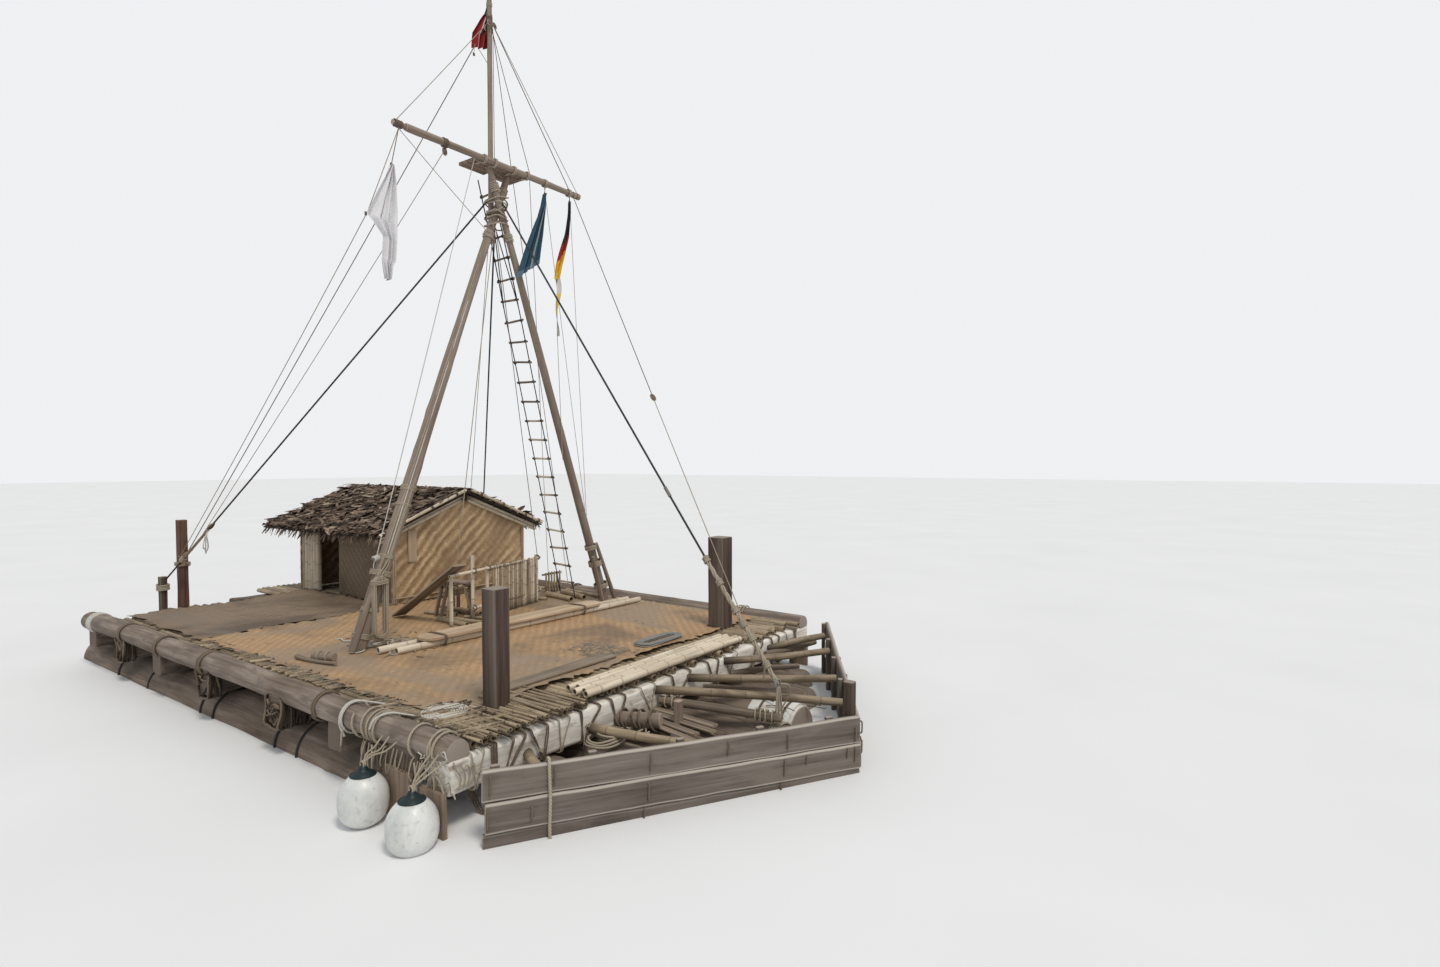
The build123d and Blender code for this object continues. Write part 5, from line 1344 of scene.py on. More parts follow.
# Stowed blade: a flat board with rounded ends
p = Piece()
HALF_LENGTH, HALF_WIDTH, HALF_THICK = 1.375, 0.15, 0.019
outline = []
for way, first in ((1, -90), (-1, 90)):
    for k in range(19):
        a = math.radians(first + 10 * k)
        outline.append((way * (HALF_LENGTH - HALF_WIDTH) + HALF_WIDTH * math.cos(a),
                        HALF_WIDTH * math.sin(a)))
outline = np.array(outline)
ang = math.radians(88)
ux, uy = np.array([math.cos(ang), math.sin(ang), 0]), np.array([-math.sin(ang), math.cos(ang), 0])
centre = np.array([1.08, 0.19, MAT_TOP + 0.084 + HALF_THICK])
inner = outline * [1 - 0.006 / HALF_LENGTH, 1 - 0.05]
verts, grain = [], []
for z, shape in ((-HALF_THICK + 0.001, inner), (-HALF_THICK + 0.006, outline),
                 (HALF_THICK - 0.007, outline), (HALF_THICK - 0.001, inner)):
    for a, b in shape:
        verts.append(centre + ux * a + uy * b + np.array([0, 0, z]))
        grain.append((a, b * 0.6, z))
k = len(outline)
faces = [tuple(range(k))[::-1], tuple(3 * k + i for i in range(k))]
for layer in range(3):
    for i in range(k):
        j = (i + 1) % k
        faces.append((layer * k + i, layer * k + j, (layer + 1) * k + j, (layer + 1) * k + i))
p.add(verts, faces, grain, 0.6)
p.build("stowed_blade_wood", "board", ("stowed_blade",), smooth=30)

p = Piece()
for y in (-0.98, 1.15):
    c = np.array([1.08 + (y - 0.19) * math.tan(math.radians(2)), y, 0])
    loop = [c + (-0.155, 0, 1.045), c + (-0.158, 0.004, 1.082), c + (-0.08, 0.012, 1.094),
            c + (0.08, 0.018, 1.094), c + (0.158, 0.02, 1.082), c + (0.165, 0.015, 1.03),
            c + (0.12, 0.008, 0.972), c + (-0.02, 0.0, 0.972), c + (-0.14, -0.004, 0.985)]
    for off in (0.0, 0.018):
        rope(p, [q + (0, off, 0) for q in loop], 0.0075, smooth=5, closed=True)
p.build("stowed_blade_lashings", "brown_rope", smooth=60)

p = Piece()
plank(p, (3.05, -1.655, MAT_TOP + 0.017), (3.05, -0.215, MAT_TOP + 0.017), 0.186, 0.03, (0, 0, 1),
      wave=0.004, tone=0.4)
p.build("deck_plank_wood", "old_plank", ("deck_plank",), smooth=35)

# Fence of pickets: its ends, its direction and the way out of it
FENCE_A, FENCE_B = np.array([0.45, -0.38, 0.0]), np.array([-0.07, 1.56, 0.0])
FENCE_RUN = unit(FENCE_B - FENCE_A)
FENCE_OUT = np.array([FENCE_RUN[1], -FENCE_RUN[0], 0.0])


def fence_at(share, z, out=0.0):
    """Point of the fence: share of its length, height and distance out of it."""
    return FENCE_A + (FENCE_B - FENCE_A) * share + FENCE_OUT * out + np.array([0, 0, z])


p = Piece()
for z, first in ((0.17, 0.23), (0.66, 0.0)):
    bamboo(p, fence_at(first, MAT_TOP + z), fence_at(1.0, MAT_TOP + z), 0.0198, sides=11, pitch=0.3,
           tone=0.85, depth=0.04)
for share, top in ((0.04, 0.64), (0.25, 0.87), (0.4, 0.69), (0.98, 0.7)):
    bamboo(p, fence_at(share, MAT_TOP, -0.041), fence_at(share, MAT_TOP + top, -0.041), 0.0245,
           sides=11, pitch=0.3, tone=0.7, hollow=(False, True))
for k in range(22):
    share = 0.42 + 0.52 * k / 21
    top = 0.64 + 0.025 * (k % 3)
    bamboo(p, fence_at(share, MAT_TOP, 0.032),
           fence_at(share + rng.uniform(-0.004, 0.004), MAT_TOP + top, 0.032), 0.0155, sides=9,
           pitch=0.22, hollow=(False, True), depth=0.03, tone=0.2 + 0.7 * rng.random(),
           material=1 if rng.random() < 0.55 else 0)
p.build("bamboo_fence_pickets", ["pale_bamboo", "bamboo"], ("bamboo_fence",), smooth=50)

p = Piece()
for z in (0.17, 0.66):
    for share in (0.25, 0.4, 0.98):
        c = fence_at(share, MAT_TOP + z, -0.02)
        wrap(p, c, FENCE_RUN, 0.034, 0.004, 4, per=12, sides=6)
    for k in range(15):
        c = fence_at(0.42 + 0.52 * k / 21, MAT_TOP + z, 0.016)
        a, b = c + FENCE_RUN * 0.022 + (0, 0, 0.024), c - FENCE_RUN * 0.022 - (0, 0, 0.024)
        rope(p, [a - FENCE_OUT * 0.03, a + FENCE_OUT * 0.012, c + FENCE_OUT * 0.036, b + FENCE_OUT * 0.012,
                 b - FENCE_OUT * 0.03], 0.0035, sides=6, smooth=3)
p.build("bamboo_fence_lashings", "brown_rope", smooth=60)


# ---------------------------------------------------------------- lashings
def tail(piece, start, drop, lean=(0.0, 0.0), radius=0.006, material=0):
    """Loose rope end that hangs from a lashing."""
    start = np.asarray(start, float)
    pts = [start, start + (lean[0] * 0.6, lean[1] * 0.6, -drop * 0.25),
           start + (lean[0], lean[1], -drop * 0.6), start + (lean[0] * 0.9, lean[1] * 1.1, -drop)]
    rope(piece, pts, radius, material=material, smooth=5)


# Lashings of the bow beam, over its top, down its face and round the bottom: y of one end, of the turn
# at the bottom and of the other end
BEAM_LASHINGS = ((-2.6, -2.56, -2.49), (-2.22, -2.26, -2.1), (-2.03, -1.9, -1.86), (-1.72, -1.69, -1.6),
                 (-1.47, -1.43, -1.24), (-1.08, -0.99, -0.9), (-0.65, -0.52, -0.45), (-0.18, -0.09, 0.12),
                 (0.45, 0.58, 0.64), (1.03, 0.86, 0.8), (1.43, 1.36, 1.58), (1.8, 1.9, 1.98),
                 (2.18, 2.26, 2.44))
p = Piece()
for k, (y0, yb, y1) in enumerate(BEAM_LASHINGS):
    rng.random()  # keeps the later draws in their order
    for y, side in ((y0, -1), (y1, 1)):
        for off in (0.0, 0.017) if k % 3 else (0.0,):
            b = yb + side * 0.012 + off * side
            pts = [(3.66, y + off + rng.uniform(-0.03, 0.03), 0.874), (3.79, y + off, 0.88),
                   (3.862, y + off, 0.874), (3.88, y + off, 0.845), (3.877, y + off + (b - y) * 0.45, 0.76),
                   (3.877, b, 0.64), (3.87, b, 0.598), (3.84, b, 0.581), (3.74, b, 0.579)]
            rope(p, pts, 0.0058, smooth=5, material=1 if k % 3 else 0)
    if k % 2 == 0:
        c = np.array([3.884, (y0 + y1 + yb) / 3, 0.74 + rng.uniform(-0.05, 0.05)])
        rope(p, [c + (0, -0.03, 0.012), c + (0.01, -0.012, -0.012), c + (0.012, 0.014, 0.012),
                 c + (0.002, 0.032, -0.006)], 0.0065, smooth=5)
    if k in (1, 4, 6, 8, 10):
        tail(p, (3.886, yb, 0.66), rng.uniform(0.08, 0.16), (0.012, rng.uniform(-0.04, 0.05)), 0.0055)
# The beams' crossings with the hull logs, seen between the hull and the deck
for x, half in ((BOW_BEAM_X, 0.134), *((mid, width / 2) for mid, width, *_ in CROSS_BEAMS[:-1])):
    w = half + 0.01
    for y in (-2.4, -1.8, 1.8, 2.4) if x != BOW_BEAM_X else (-2.4, 2.4):
        for off in (-0.03, -0.008) if abs(y) < 2 else (-0.03, -0.008, 0.014):
            c = y + off
            loop = [(x - w, c, 0.6), (x - w, c, 0.86), (x - w + 0.02, c + 0.004, 0.882),
                    (x, c + 0.008, 0.886), (x + w - 0.02, c + 0.012, 0.882), (x + w, c + 0.016, 0.86),
                    (x + w, c + 0.022, 0.6), (x + w - 0.01, c + 0.022, 0.45), (x, c + 0.016, 0.3),
                    (x - w + 0.01, c + 0.004, 0.45)]
            rope(p, loop, 0.008, sides=6, smooth=3, closed=True, material=1)
p.build("beam_lashings", ["rope", "brown_rope"], smooth=60)

# Ropes round the starboard side log, with their ends
p = Piece()
for x, count, spread, material in ((3.66, 2, 0.05, 0), (3.4, 1.5, 0.1, 0), (2.86, 3, 0.05, 0),
                                   (2.7, 1.5, 0.14, 0), (2.42, 2, 0.03, 1), (1.95, 2, 0.028, 2),
                                   (-0.45, 3, 0.026, 2), (-1.7, 3, 0.026, 2), (-2.86, 3, 0.026, 2),
                                   (-3.95, 5, 0.03, 1)):
    for side in (-1, 1):
        if side > 0 and x > 0 and x != 2.86:
            continue
        wrap(p, (x, side * SIDE_Y, SIDE_Z), (1, 0, 0), 0.121, 0.0095, count, spread=spread,
             start=rng.random() * 6, per=22, material=material)
for x, z0, drop, lean in ((2.9, 0.8, 0.3, (0.05, -0.03)), (2.8, 0.8, 0.38, (-0.04, -0.02)),
                          (3.62, 0.8, 0.3, (-0.1, -0.01)), (3.48, 0.79, 0.36, (0.06, -0.02)),
                          (2.44, 0.8, 0.1, (0.03, -0.02)), (3.7, 0.82, 0.22, (0.03, 0.0))):
    tail(p, (x, -SIDE_Y - 0.126, z0), drop, lean, 0.008)
rope(p, [(3.05, -2.52, 0.972), (3.02, -2.6, 1.005), (2.96, -2.7, 1.034), (2.9, -2.79, 1.00),
         (2.88, -2.83, 0.92)], 0.009, smooth=6, material=1)
rope(p, [(2.55, -2.5, 0.975), (2.5, -2.6, 1.01), (2.45, -2.7, 1.034), (2.43, -2.8, 0.99),
         (2.42, -2.83, 0.88), (2.44, -2.8, 0.76)], 0.009, smooth=6, material=1)
rope(p, [(3.6, -2.56, 0.965), (3.62, -2.64, 1.02), (3.64, -2.72, 1.03), (3.66, -2.8, 0.98),
         (3.68, -2.82, 0.9)], 0.008, smooth=6)
p.build("side_log_ropes", ["rope", "pale_rope", "brown_rope"], smooth=60)

# Tangled ends at the bow beam's starboard end
p = Piece()
tr = random.Random(4)
for k in range(16):
    c = np.array([3.74 + tr.uniform(-0.12, 0.13), -2.8, 0.8 + tr.uniform(-0.12, 0.08)])
    pts = [c]
    for _ in range(4):
        c = c + (tr.uniform(-0.06, 0.07), tr.uniform(-0.012, 0.008), tr.uniform(-0.11, 0.035))
        c[1] = max(min(c[1], -2.797), -2.835)
        pts.append(c)
    rope(p, pts, tr.uniform(0.005, 0.0075), sides=6, smooth=4, material=k % 2)
for k in range(4):
    rope(p, [(3.878, -2.76 + 0.05 * k, 0.86 - 0.03 * k), (3.884, -2.74 + 0.05 * k, 0.8),
             (3.882, -2.7 + 0.04 * k, 0.72), (3.88, -2.72 + 0.03 * k, 0.64)], 0.0065, smooth=5)
for x in (3.45, 3.06):
    rope(p, [(x, -2.83, 0.64), (x - 0.01, -2.842, 0.7), (x - 0.02, -2.8, 0.8), (x - 0.02, -2.74, 0.79)],
         0.006, smooth=5)
p.build("beam_end_ropes", ["rope", "pale_rope"], smooth=60)

# Dark bands round the outer hull logs
BAND_R = 0.297
p = Piece()
for place in (-4, 4):
    for x in (-0.77, -0.45, 0.95, 1.38, -2.3, -3.3):
        for dx in (-0.006, 0.006):
            ring_at = (x + dx, place * LOG_PITCH, LOG_TOP - BAND_R)
            rope(p, hoop(ring_at, (0, BAND_R, 0), (0, 0, BAND_R), 40), 0.009, sides=6, closed=True)
p.build("log_bands", "dark_rope", smooth=60)

# ---------------------------------------------------------------- stays
STAY_R, LASHING_R = 0.0115, 0.0105
FORE_TOP, FORE_RING = np.array([0.69, 0.3, 6.44]), np.array([5.02, 0.0, 0.95])
FORE_FOOT = np.array([5.02, 0.0, 0.585])
p = Piece()
c = straight(FORE_TOP, FORE_TOP + (FORE_RING - FORE_TOP) * 0.8, 30)[0]
rope(p, c, STAY_R, sides=8)
wrap(p, FORE_TOP + (FORE_RING - FORE_TOP) * 0.672, FORE_RING - FORE_TOP, 0.01, 0.005, 12, per=10,
     sides=6, material=2)
# lower end: two rope parts seized together down to the ring, then round the log
fore_run = unit(FORE_RING - FORE_TOP)
across = unit(np.cross(fore_run, (0, 1, 0)))
low = FORE_TOP + (FORE_RING - FORE_TOP) * 0.79
u = np.linspace(0, 1, 60)
for phase in (0.0, 2.1, 4.2):
    wob = np.stack([0.013 * np.cos(u * 30 + phase), 0.013 * np.sin(u * 30 + phase)], 1)
    pts = low + u[:, None] * (FORE_RING - low) + wob[:, :1] * across + wob[:, 1:] * np.cross(fore_run, across)
    rope(p, pts, STAY_R, material=1)
for share in (0.03, 0.22, 0.44, 0.66, 0.86):
    wrap(p, low + (FORE_RING - low) * share, fore_run, 0.024, 0.008, 4, per=14, sides=6, material=1)
rope(p, hoop(FORE_RING, (0, 0.045, 0), (0, 0, 0.045), 24), 0.01, sides=8, closed=True, material=2)
for k in range(3):
    dy = -0.02 + 0.02 * k
    rope(p, [FORE_RING + (0.006, dy, -0.03), FORE_RING + (0.012, dy * 2, -0.16),
             FORE_FOOT + (0.012, dy * 3, 0.02)], LASHING_R, smooth=6, material=1)
for k in range(4):
    rope(p, hoop((4.985 + 0.024 * k, 0, LOG_TOP - BAND_R), (0, 0.279, 0), (0.008, 0, 0.279), 48),
         LASHING_R, sides=6, closed=True, material=1)
rope(p, [FORE_RING + (0.01, 0.03, 0.0), FORE_RING + (0.05, 0.11, -0.03),
         FORE_RING + (0.03, 0.16, -0.14), FORE_RING + (-0.02, 0.12, -0.26),
         FORE_RING + (-0.03, 0.03, -0.3)], 0.009, smooth=6, material=1)
tail(p, FORE_RING + (-0.3, 0.02, 0.4), 0.42, (0.1, 0.06), 0.008, 1)
p.build("forestay_rope", ["dark_rope", "rope", "grey_rope"], ("forestay",), smooth=60)

BACK_TOP, BACK_FOOT = np.array([0.463, 0.24, 6.49]), np.array([-3.825, -1.99, 1.4])
back_run = unit(BACK_FOOT - BACK_TOP)


def block(piece, centre, axis, size):
    """Rope block: a rounded wooden shell, the third material of its piece, with a strop round it."""
    axis = unit(axis)
    side = unit(np.cross(axis, (0, 0, 1)) if abs(axis[2]) < 0.9 else np.cross(axis, (1, 0, 0)))
    n = 9
    s = np.linspace(-1, 1, n)
    c = np.asarray(centre) + s[:, None] * axis * size
    r = size * 0.62 * np.sqrt(np.clip(1 - (s * 0.97) ** 2, 0, 1)) + 0.003
    sections = r[:, None, None] * ring(12)[None] * [1.0, 0.62]
    piece.sweep(c, np.repeat(side[None], n, 0), np.repeat(np.cross(axis, side)[None], n, 0), sections,
                0.4, material=2)
    loop = hoop(centre, axis * (size + 0.006), side * (size * 0.64 + 0.004), 20)
    rope(piece, loop, 0.006, sides=6, closed=True, material=1)


wood("block", (0.06, 0.045, 0.035), (0.12, 0.09, 0.07), (0.2, 0.155, 0.12), stretch=(4, 40, 40),
     rough=0.5, bump=0.2, spec=0.4)
p = Piece()
upper = BACK_TOP + (BACK_FOOT - BACK_TOP) * 0.845
lower = BACK_TOP + (BACK_FOOT - BACK_TOP) * 0.955
c = straight(BACK_TOP, upper, 34)[0]
rope(p, c, STAY_R, sides=8)
side = unit(np.cross(back_run, (0, 0, 1)))
for off in (-0.022, 0.0, 0.022):
    rope(p, [upper + side * off, lower + side * off], 0.007, material=1)
wrap(p, lower - back_run * 0.1, back_run, 0.03, 0.007, 5, per=14, sides=6, material=1)
rope(p, [lower, (BACK_FOOT + lower) / 2, BACK_FOOT], 0.011, sides=8)
wrap(p, (-3.86, -2.01, 1.3), (0, 0, 1), 0.062, 0.01, 4, per=20, material=1)
for k in range(3):
    rope(p, [upper + back_run * (0.05 + 0.03 * k), upper + back_run * 0.1 + (0.02 * k, -0.03, -0.08),
             upper + back_run * 0.14 + (0.03, -0.05 + 0.03 * k, -0.2),
             upper + back_run * 0.13 + (0.0, -0.02, -0.25 - 0.03 * k)], 0.008, sides=6, smooth=5, material=3)
block(p, upper + back_run * 0.03, back_run, 0.06)
block(p, lower - back_run * 0.03, back_run, 0.055)
p.build("backstay_stbd_tackle", ["dark_rope", "rope", "block", "pale_rope"],
        ("backstay_stbd",), smooth=60)

p = Piece()
PORT_STAY_X = -3.15
EAVE_TIP = np.array([PORT_STAY_X, 2.882, 2.009])
PORT_TOP, PORT_FOOT = np.array([0.463, 0.36, 6.24]), np.array([PORT_STAY_X, 2.736, 1.02])
c = straight(PORT_TOP, EAVE_TIP, 34)[0]
rope(p, c, STAY_R, sides=8)
rope(p, [EAVE_TIP, PORT_FOOT], STAY_R, sides=8)
wrap(p, (PORT_STAY_X, SIDE_Y, SIDE_Z), (1, 0, 0), 0.121, 0.01, 5, per=24, material=1)
p.build("backstay_port_rope", ["dark_rope", "rope"], ("backstay_port",), smooth=60)

# ---------------------------------------------------------------- lighter rigging
MASTHEAD = np.array([POLE_X, CROSS_Y, 8.8])


def line(piece, a, b, radius=0.0048, sag=0.004, material=0, count=14):
    """Set-up line between two points, with a little sag."""
    a, b = np.asarray(a, float), np.asarray(b, float)
    t = np.linspace(0, 1, count)
    pts = a + t[:, None] * (b - a)
    pts[:, 2] -= sag * np.linalg.norm(b - a) * 4 * t * (1 - t)
    rope(piece, pts, radius, sides=6, material=material)


p = Piece()
QUARTER = np.array([-3.6, -1.86, 1.72])
AFT_POST = np.array([-3.79, -1.74, 1.62])
line(p, MASTHEAD + (0, -0.03, 0), (YARD_X, -1.225, YARD_Z + 0.034), 0.0045, 0.002, 1)
line(p, MASTHEAD + (-0.03, -0.03, -0.02), QUARTER + (0.03, 0.05, 0.06), 0.0056, 0.003, 0, 24)
line(p, (YARD_X, -0.6, 6.79), QUARTER + (0.1, 0.09, 0.1), 0.0042, 0.004, 1, 24)
line(p, (YARD_X + 0.005, -1.57, 5.8), QUARTER + (-0.05, 0.0, 0.03), 0.0048, 0.006, 1, 24)
line(p, (YARD_X, -1.19, YARD_Z - 0.04), (YARD_X + 0.005, -1.57, 5.8), 0.0052, 0.0, 1, 6)
line(p, QUARTER, AFT_POST, 0.0065, 0.0, 1, 4)
line(p, QUARTER + (-0.02, -0.03, 0.02), AFT_POST + (0.0, 0.03, -0.05), 0.0065, 0.0, 1, 4)
line(p, (YARD_X, -1.2, YARD_Z - 0.04), leg_point(*STBD_LEG, 6.02) + (0.05, -0.03, 0), 0.0042, 0.006, 1)
line(p, MASTHEAD + (0.02, 0.03, 0.02), (YARD_X, 1.575, YARD_Z + 0.034), 0.0045, 0.002, 1)
line(p, MASTHEAD + (0.03, 0.03, 0), (YARD_X + 0.01, 1.4, YARD_Z + 0.044), 0.0056, 0.001, 0)
FORE_TIE = FORE_TOP + (FORE_RING - FORE_TOP) * 0.905
start = np.array([YARD_X, 1.5, YARD_Z - 0.04])
PORT_BLOCK = start + (FORE_TIE - start) * 0.56
line(p, start, PORT_BLOCK, 0.0056, 0.002, 0, 16)
line(p, PORT_BLOCK, FORE_TIE + (0.0, 0.03, 0.0), 0.0052, 0.002, 1, 16)
wrap(p, FORE_TIE, fore_run, 0.03, 0.007, 5, per=14, sides=6, material=1)
line(p, MASTHEAD + (0.03, 0.02, -0.03), (-0.62, 2.66, 1.02), 0.0046, 0.003, 0, 24)
line(p, MASTHEAD + (0.035, 0.0, -0.05), (0.8, 0.66, 6.93), 0.0046, 0.002, 0, 12)
line(p, (0.8, 0.66, 6.92), (-1.05, 2.62, 1.02), 0.0042, 0.004, 1, 24)
line(p, (0.47, 0.31, 6.6), (-3.55, 2.87, 2.03), 0.0046, 0.002, 1, 24)
line(p, (0.55, 0.27, 6.1), (0.4, -0.26, MAT_TOP + 0.62), 0.0058, 0.001, 1, 20)
line(p, (0.52, 0.33, 6.16), (-0.05, 1.5, MAT_TOP + 0.66), 0.005, 0.002, 0, 20)
line(p, (YARD_X, 0.95, YARD_Z - 0.03), (0.74, 1.72, 2.35), 0.0036, 0.006, 1, 20)
line(p, (YARD_X, 1.42, YARD_Z - 0.03), (0.7, 1.8, 2.05), 0.0036, 0.008, 1, 20)
# halyards beside the pole
for dx, dy, m in ((0.046, -0.012, 1), (0.04, 0.03, 0), (-0.04, 0.02, 1)):
    line(p, (POLE_X + dx * 0.8, CROSS_Y + dy, 8.74), (POLE_X + dx, CROSS_Y + dy, 6.94), 0.0042, 0.0, m, 8)
for off, z in (((0.05, -0.04, 0.0), 8.79), ((0.04, 0.05, -0.01), 8.8), ((-0.05, -0.02, -0.02), 8.78)):
    block(p, (POLE_X + off[0], CROSS_Y + off[1], z + off[2]), (0.2, off[1] * 4, -1), 0.036)
wrap(p, (POLE_X, CROSS_Y, 8.86), (0, 0, 1), 0.03, 0.006, 6, sides=6)
wrap(p, (POLE_X, CROSS_Y, 9.05), (0, 0, 1), 0.029, 0.005, 4, sides=6, material=1)
block(p, (YARD_X, -0.6, 6.775), (0.1, 0, -1), 0.04)
wrap(p, (YARD_X, -0.6, YARD_Z), (0, 1, 0), 0.044, 0.007, 4, sides=6)
block(p, PORT_BLOCK, FORE_TIE - start, 0.045)
block(p, QUARTER + (0.02, 0.03, 0.03), QUARTER - MASTHEAD, 0.05)
for y in (-1.225, -1.18, 1.4, 1.5, 1.575, 0.96):
    wrap(p, (YARD_X, y, YARD_Z), (0, 1, 0), 0.033 if abs(y - 0.17) > 1.28 else 0.044, 0.0058, 4,
         sides=6, material=int(y > 0))
for k in range(3):
    square = ((1, 1), (0, 1.06), (-1, 1), (-1.06, 0), (-1, -1), (0, -1.06), (1, -1), (1.06, 0))
    pts = [(-3.855 + 0.071 * a, -1.77 + 0.071 * b, 1.585 + 0.019 * k) for a, b in square]
    rope(p, pts, 0.008, smooth=4, closed=True, material=1)
p.build("running_rigging", ["brown_rope", "rope", "block"], smooth=60)

# Ties of the hank on the starboard leg, and the lines made fast there
p = Piece()
for k in range(3):
    pts = hoop((0.6803, -1.44, 1.7 + 0.017 * k), (0.05, 0, 0), (0, 0.098, 0), 26)
    pts[:, 2] += 0.004 * np.sin(np.linspace(0, 4 * math.pi, 26, endpoint=False))
    rope(p, pts, 0.0075, closed=True)


def on_leg(z, turn, out=0.008):
    """Point on the starboard leg's surface, by the turn from its bow side towards starboard."""
    c, r = leg_point(*STBD_LEG, z), leg_radius(z, STBD_LEG[1]) + out
    return c + (r * math.cos(turn), -r * math.sin(turn), 0)


stbd_run = unit(leg_point(*STBD_LEG, 3) - leg_point(*STBD_LEG, 2))
rope(p, [(0.715, -1.43, 1.73), (0.7, -1.42, 1.8), on_leg(1.9, 0.1), on_leg(2.1, 0.1),
         on_leg(2.3, 0.05), on_leg(2.55, 0.0), on_leg(2.75, 0.0)], 0.0075, smooth=6)
rope(p, [(0.705, -1.44, 1.74), (0.695, -1.44, 1.82), on_leg(1.95, 0.3), on_leg(2.2, 0.25),
         on_leg(2.4, 0.2), on_leg(2.56, 0.2)], 0.0075, smooth=6)
rope(p, [(0.71, -1.46, 1.73), (0.7, -1.47, 1.8), on_leg(1.88, 0.8), on_leg(1.98, 1.2),
         on_leg(2.00, 1.6)], 0.0075, smooth=6)
for z, count in ((2.76, 4), (2.57, 2), (1.98, 3), (1.4, 3), (1.12, 4)):
    wrap(p, leg_point(*STBD_LEG, z), stbd_run, leg_radius(z, STBD_LEG[1]), 0.0075, count)
p.build("hank_ties", "rope", smooth=60)


# ---------------------------------------------------------------- flags
def area_of(grid):
    """Area of a grid of points, two triangles a cell."""
    a, b, c, d = grid[:-1, :-1], grid[1:, :-1], grid[1:, 1:], grid[:-1, 1:]
    return float((np.linalg.norm(np.cross(b - a, c - a), axis=-1)
                  + np.linalg.norm(np.cross(c - a, d - a), axis=-1)).sum() / 2)


def cloth(name, material, grid, replaces=()):
    """Piece of a grid of points, with UVs over its width and length."""
    rows, cols = grid.shape[:2]
    t, s = np.linspace(0, 1, rows), np.linspace(0, 1, cols)
    faces, uv = [], []
    for i, j, (a, b, c, d) in cells(rows, cols):
        faces.append((a, d, c, b))
        uv += [(s[j], t[i]), (s[j + 1], t[i]), (s[j + 1], t[i + 1]), (s[j], t[i + 1])]
    points = grid.reshape(-1, 3)
    piece = Piece()
    piece.add(points, faces, points, uv=uv)
    return piece.build(name, material, replaces, smooth=180)


def limp_flag(name, node, material, left, right, plane_x, width, length, folds, seed, spread=1.0):
    """Cloth that hangs in folds between two side lines (y, z), as wide across the folds as it is flat."""
    r = np.random.default_rng(seed)
    rows, cols = 56, folds * 22 + 1
    t, s = np.linspace(0, 1, rows), np.linspace(0, 1, cols)

    def side(points):
        q = np.asarray(points, float)
        u = np.r_[0, np.cumsum(np.linalg.norm(np.diff(q, axis=0), axis=1))]
        return np.stack([np.interp(t * u[-1], u, q[:, i]) for i in (0, 1)], 1)

    a, b = side(left), side(right)
    share = s ** spread
    flat = a[:, None] + share[None, :, None] * (b - a)[:, None]
    phase = 2 * math.pi * folds * s[None] + 0.9 * np.sin(3.1 * t[:, None] + r.uniform(0, 6)) + r.uniform(0, 6)
    wave = np.sin(phase) + 0.1 * np.sin(2.3 * phase + 2 * t[:, None])
    size = 0.8 + 0.2 * np.sin(5 * s[None] + seed) + 0.12 * np.sin(4 * t[:, None] + seed)

    def grid(amp):
        out = np.empty((rows, cols, 3))
        out[..., 0] = plane_x + amp * wave * size
        out[..., 1:] = flat
        out[..., 1] += 0.006 * np.sin(phase * 0.5 + 3)
        return out

    low, high = 0.0, 0.25
    for _ in range(30):
        mid = (low + high) / 2
        low, high = (mid, high) if area_of(grid(mid)) < width * length else (low, mid)
    obj = cloth(name, material, grid((low + high) / 2), (node,))


def bands(stops, skew=0.0, cross=None):
    """Colour of a flag by hard-edged bands; cross is the place, half width and colour of one down it."""
    def color(n, uv):
        across, down, _ = n.split(uv)
        place = n.math("ADD", down, n.math("MULTIPLY", n.math("SUBTRACT", across, 0.5), skew))
        out = stops[0][1]
        for at, tint in stops[1:]:
            out = n.mix(n.math("GREATER_THAN", place, at), out, tint)
        if cross:
            centre, half, tint = cross
            near = n.math("LESS_THAN", n.math("ABSOLUTE", n.math("SUBTRACT", across, centre)), half)
            out = n.mix(near, out, tint)
        return out
    return color


# The white flag's dark line down it is print, with the painted shade of a fold over it.
cloth_mat("white_cloth", bands(((0, (0.8, 0.79, 0.81)), (0.97, (0.66, 0.66, 0.69))),
                               cross=(0.4, 0.02, (0.16, 0.16, 0.18))))
cloth_mat("blue_cloth", bands(((0, (0.032, 0.085, 0.125)), (0.93, (0.1, 0.17, 0.22))),
                              cross=(0.55, 0.018, (0.3, 0.38, 0.42))))
cloth_mat("stripe_cloth", bands(((0, (0.014, 0.012, 0.013)), (0.42, (0.32, 0.02, 0.015)),
                                 (0.64, (0.78, 0.36, 0.02)), (0.8, (0.86, 0.56, 0.03))), skew=0.3))
cloth_mat("streamer_cloth", bands(((0, (0.7, 0.68, 0.66)), (0.25, (0.8, 0.62, 0.16)),
                                   (0.62, (0.66, 0.64, 0.62)))))
cloth_mat("red_cloth", bands(((0, (0.025, 0.035, 0.1)), (0.13, (0.6, 0.6, 0.64)),
                              (0.19, (0.3, 0.02, 0.024))), skew=0.22,
                             cross=(0.34, 0.022, (0.58, 0.46, 0.47))))
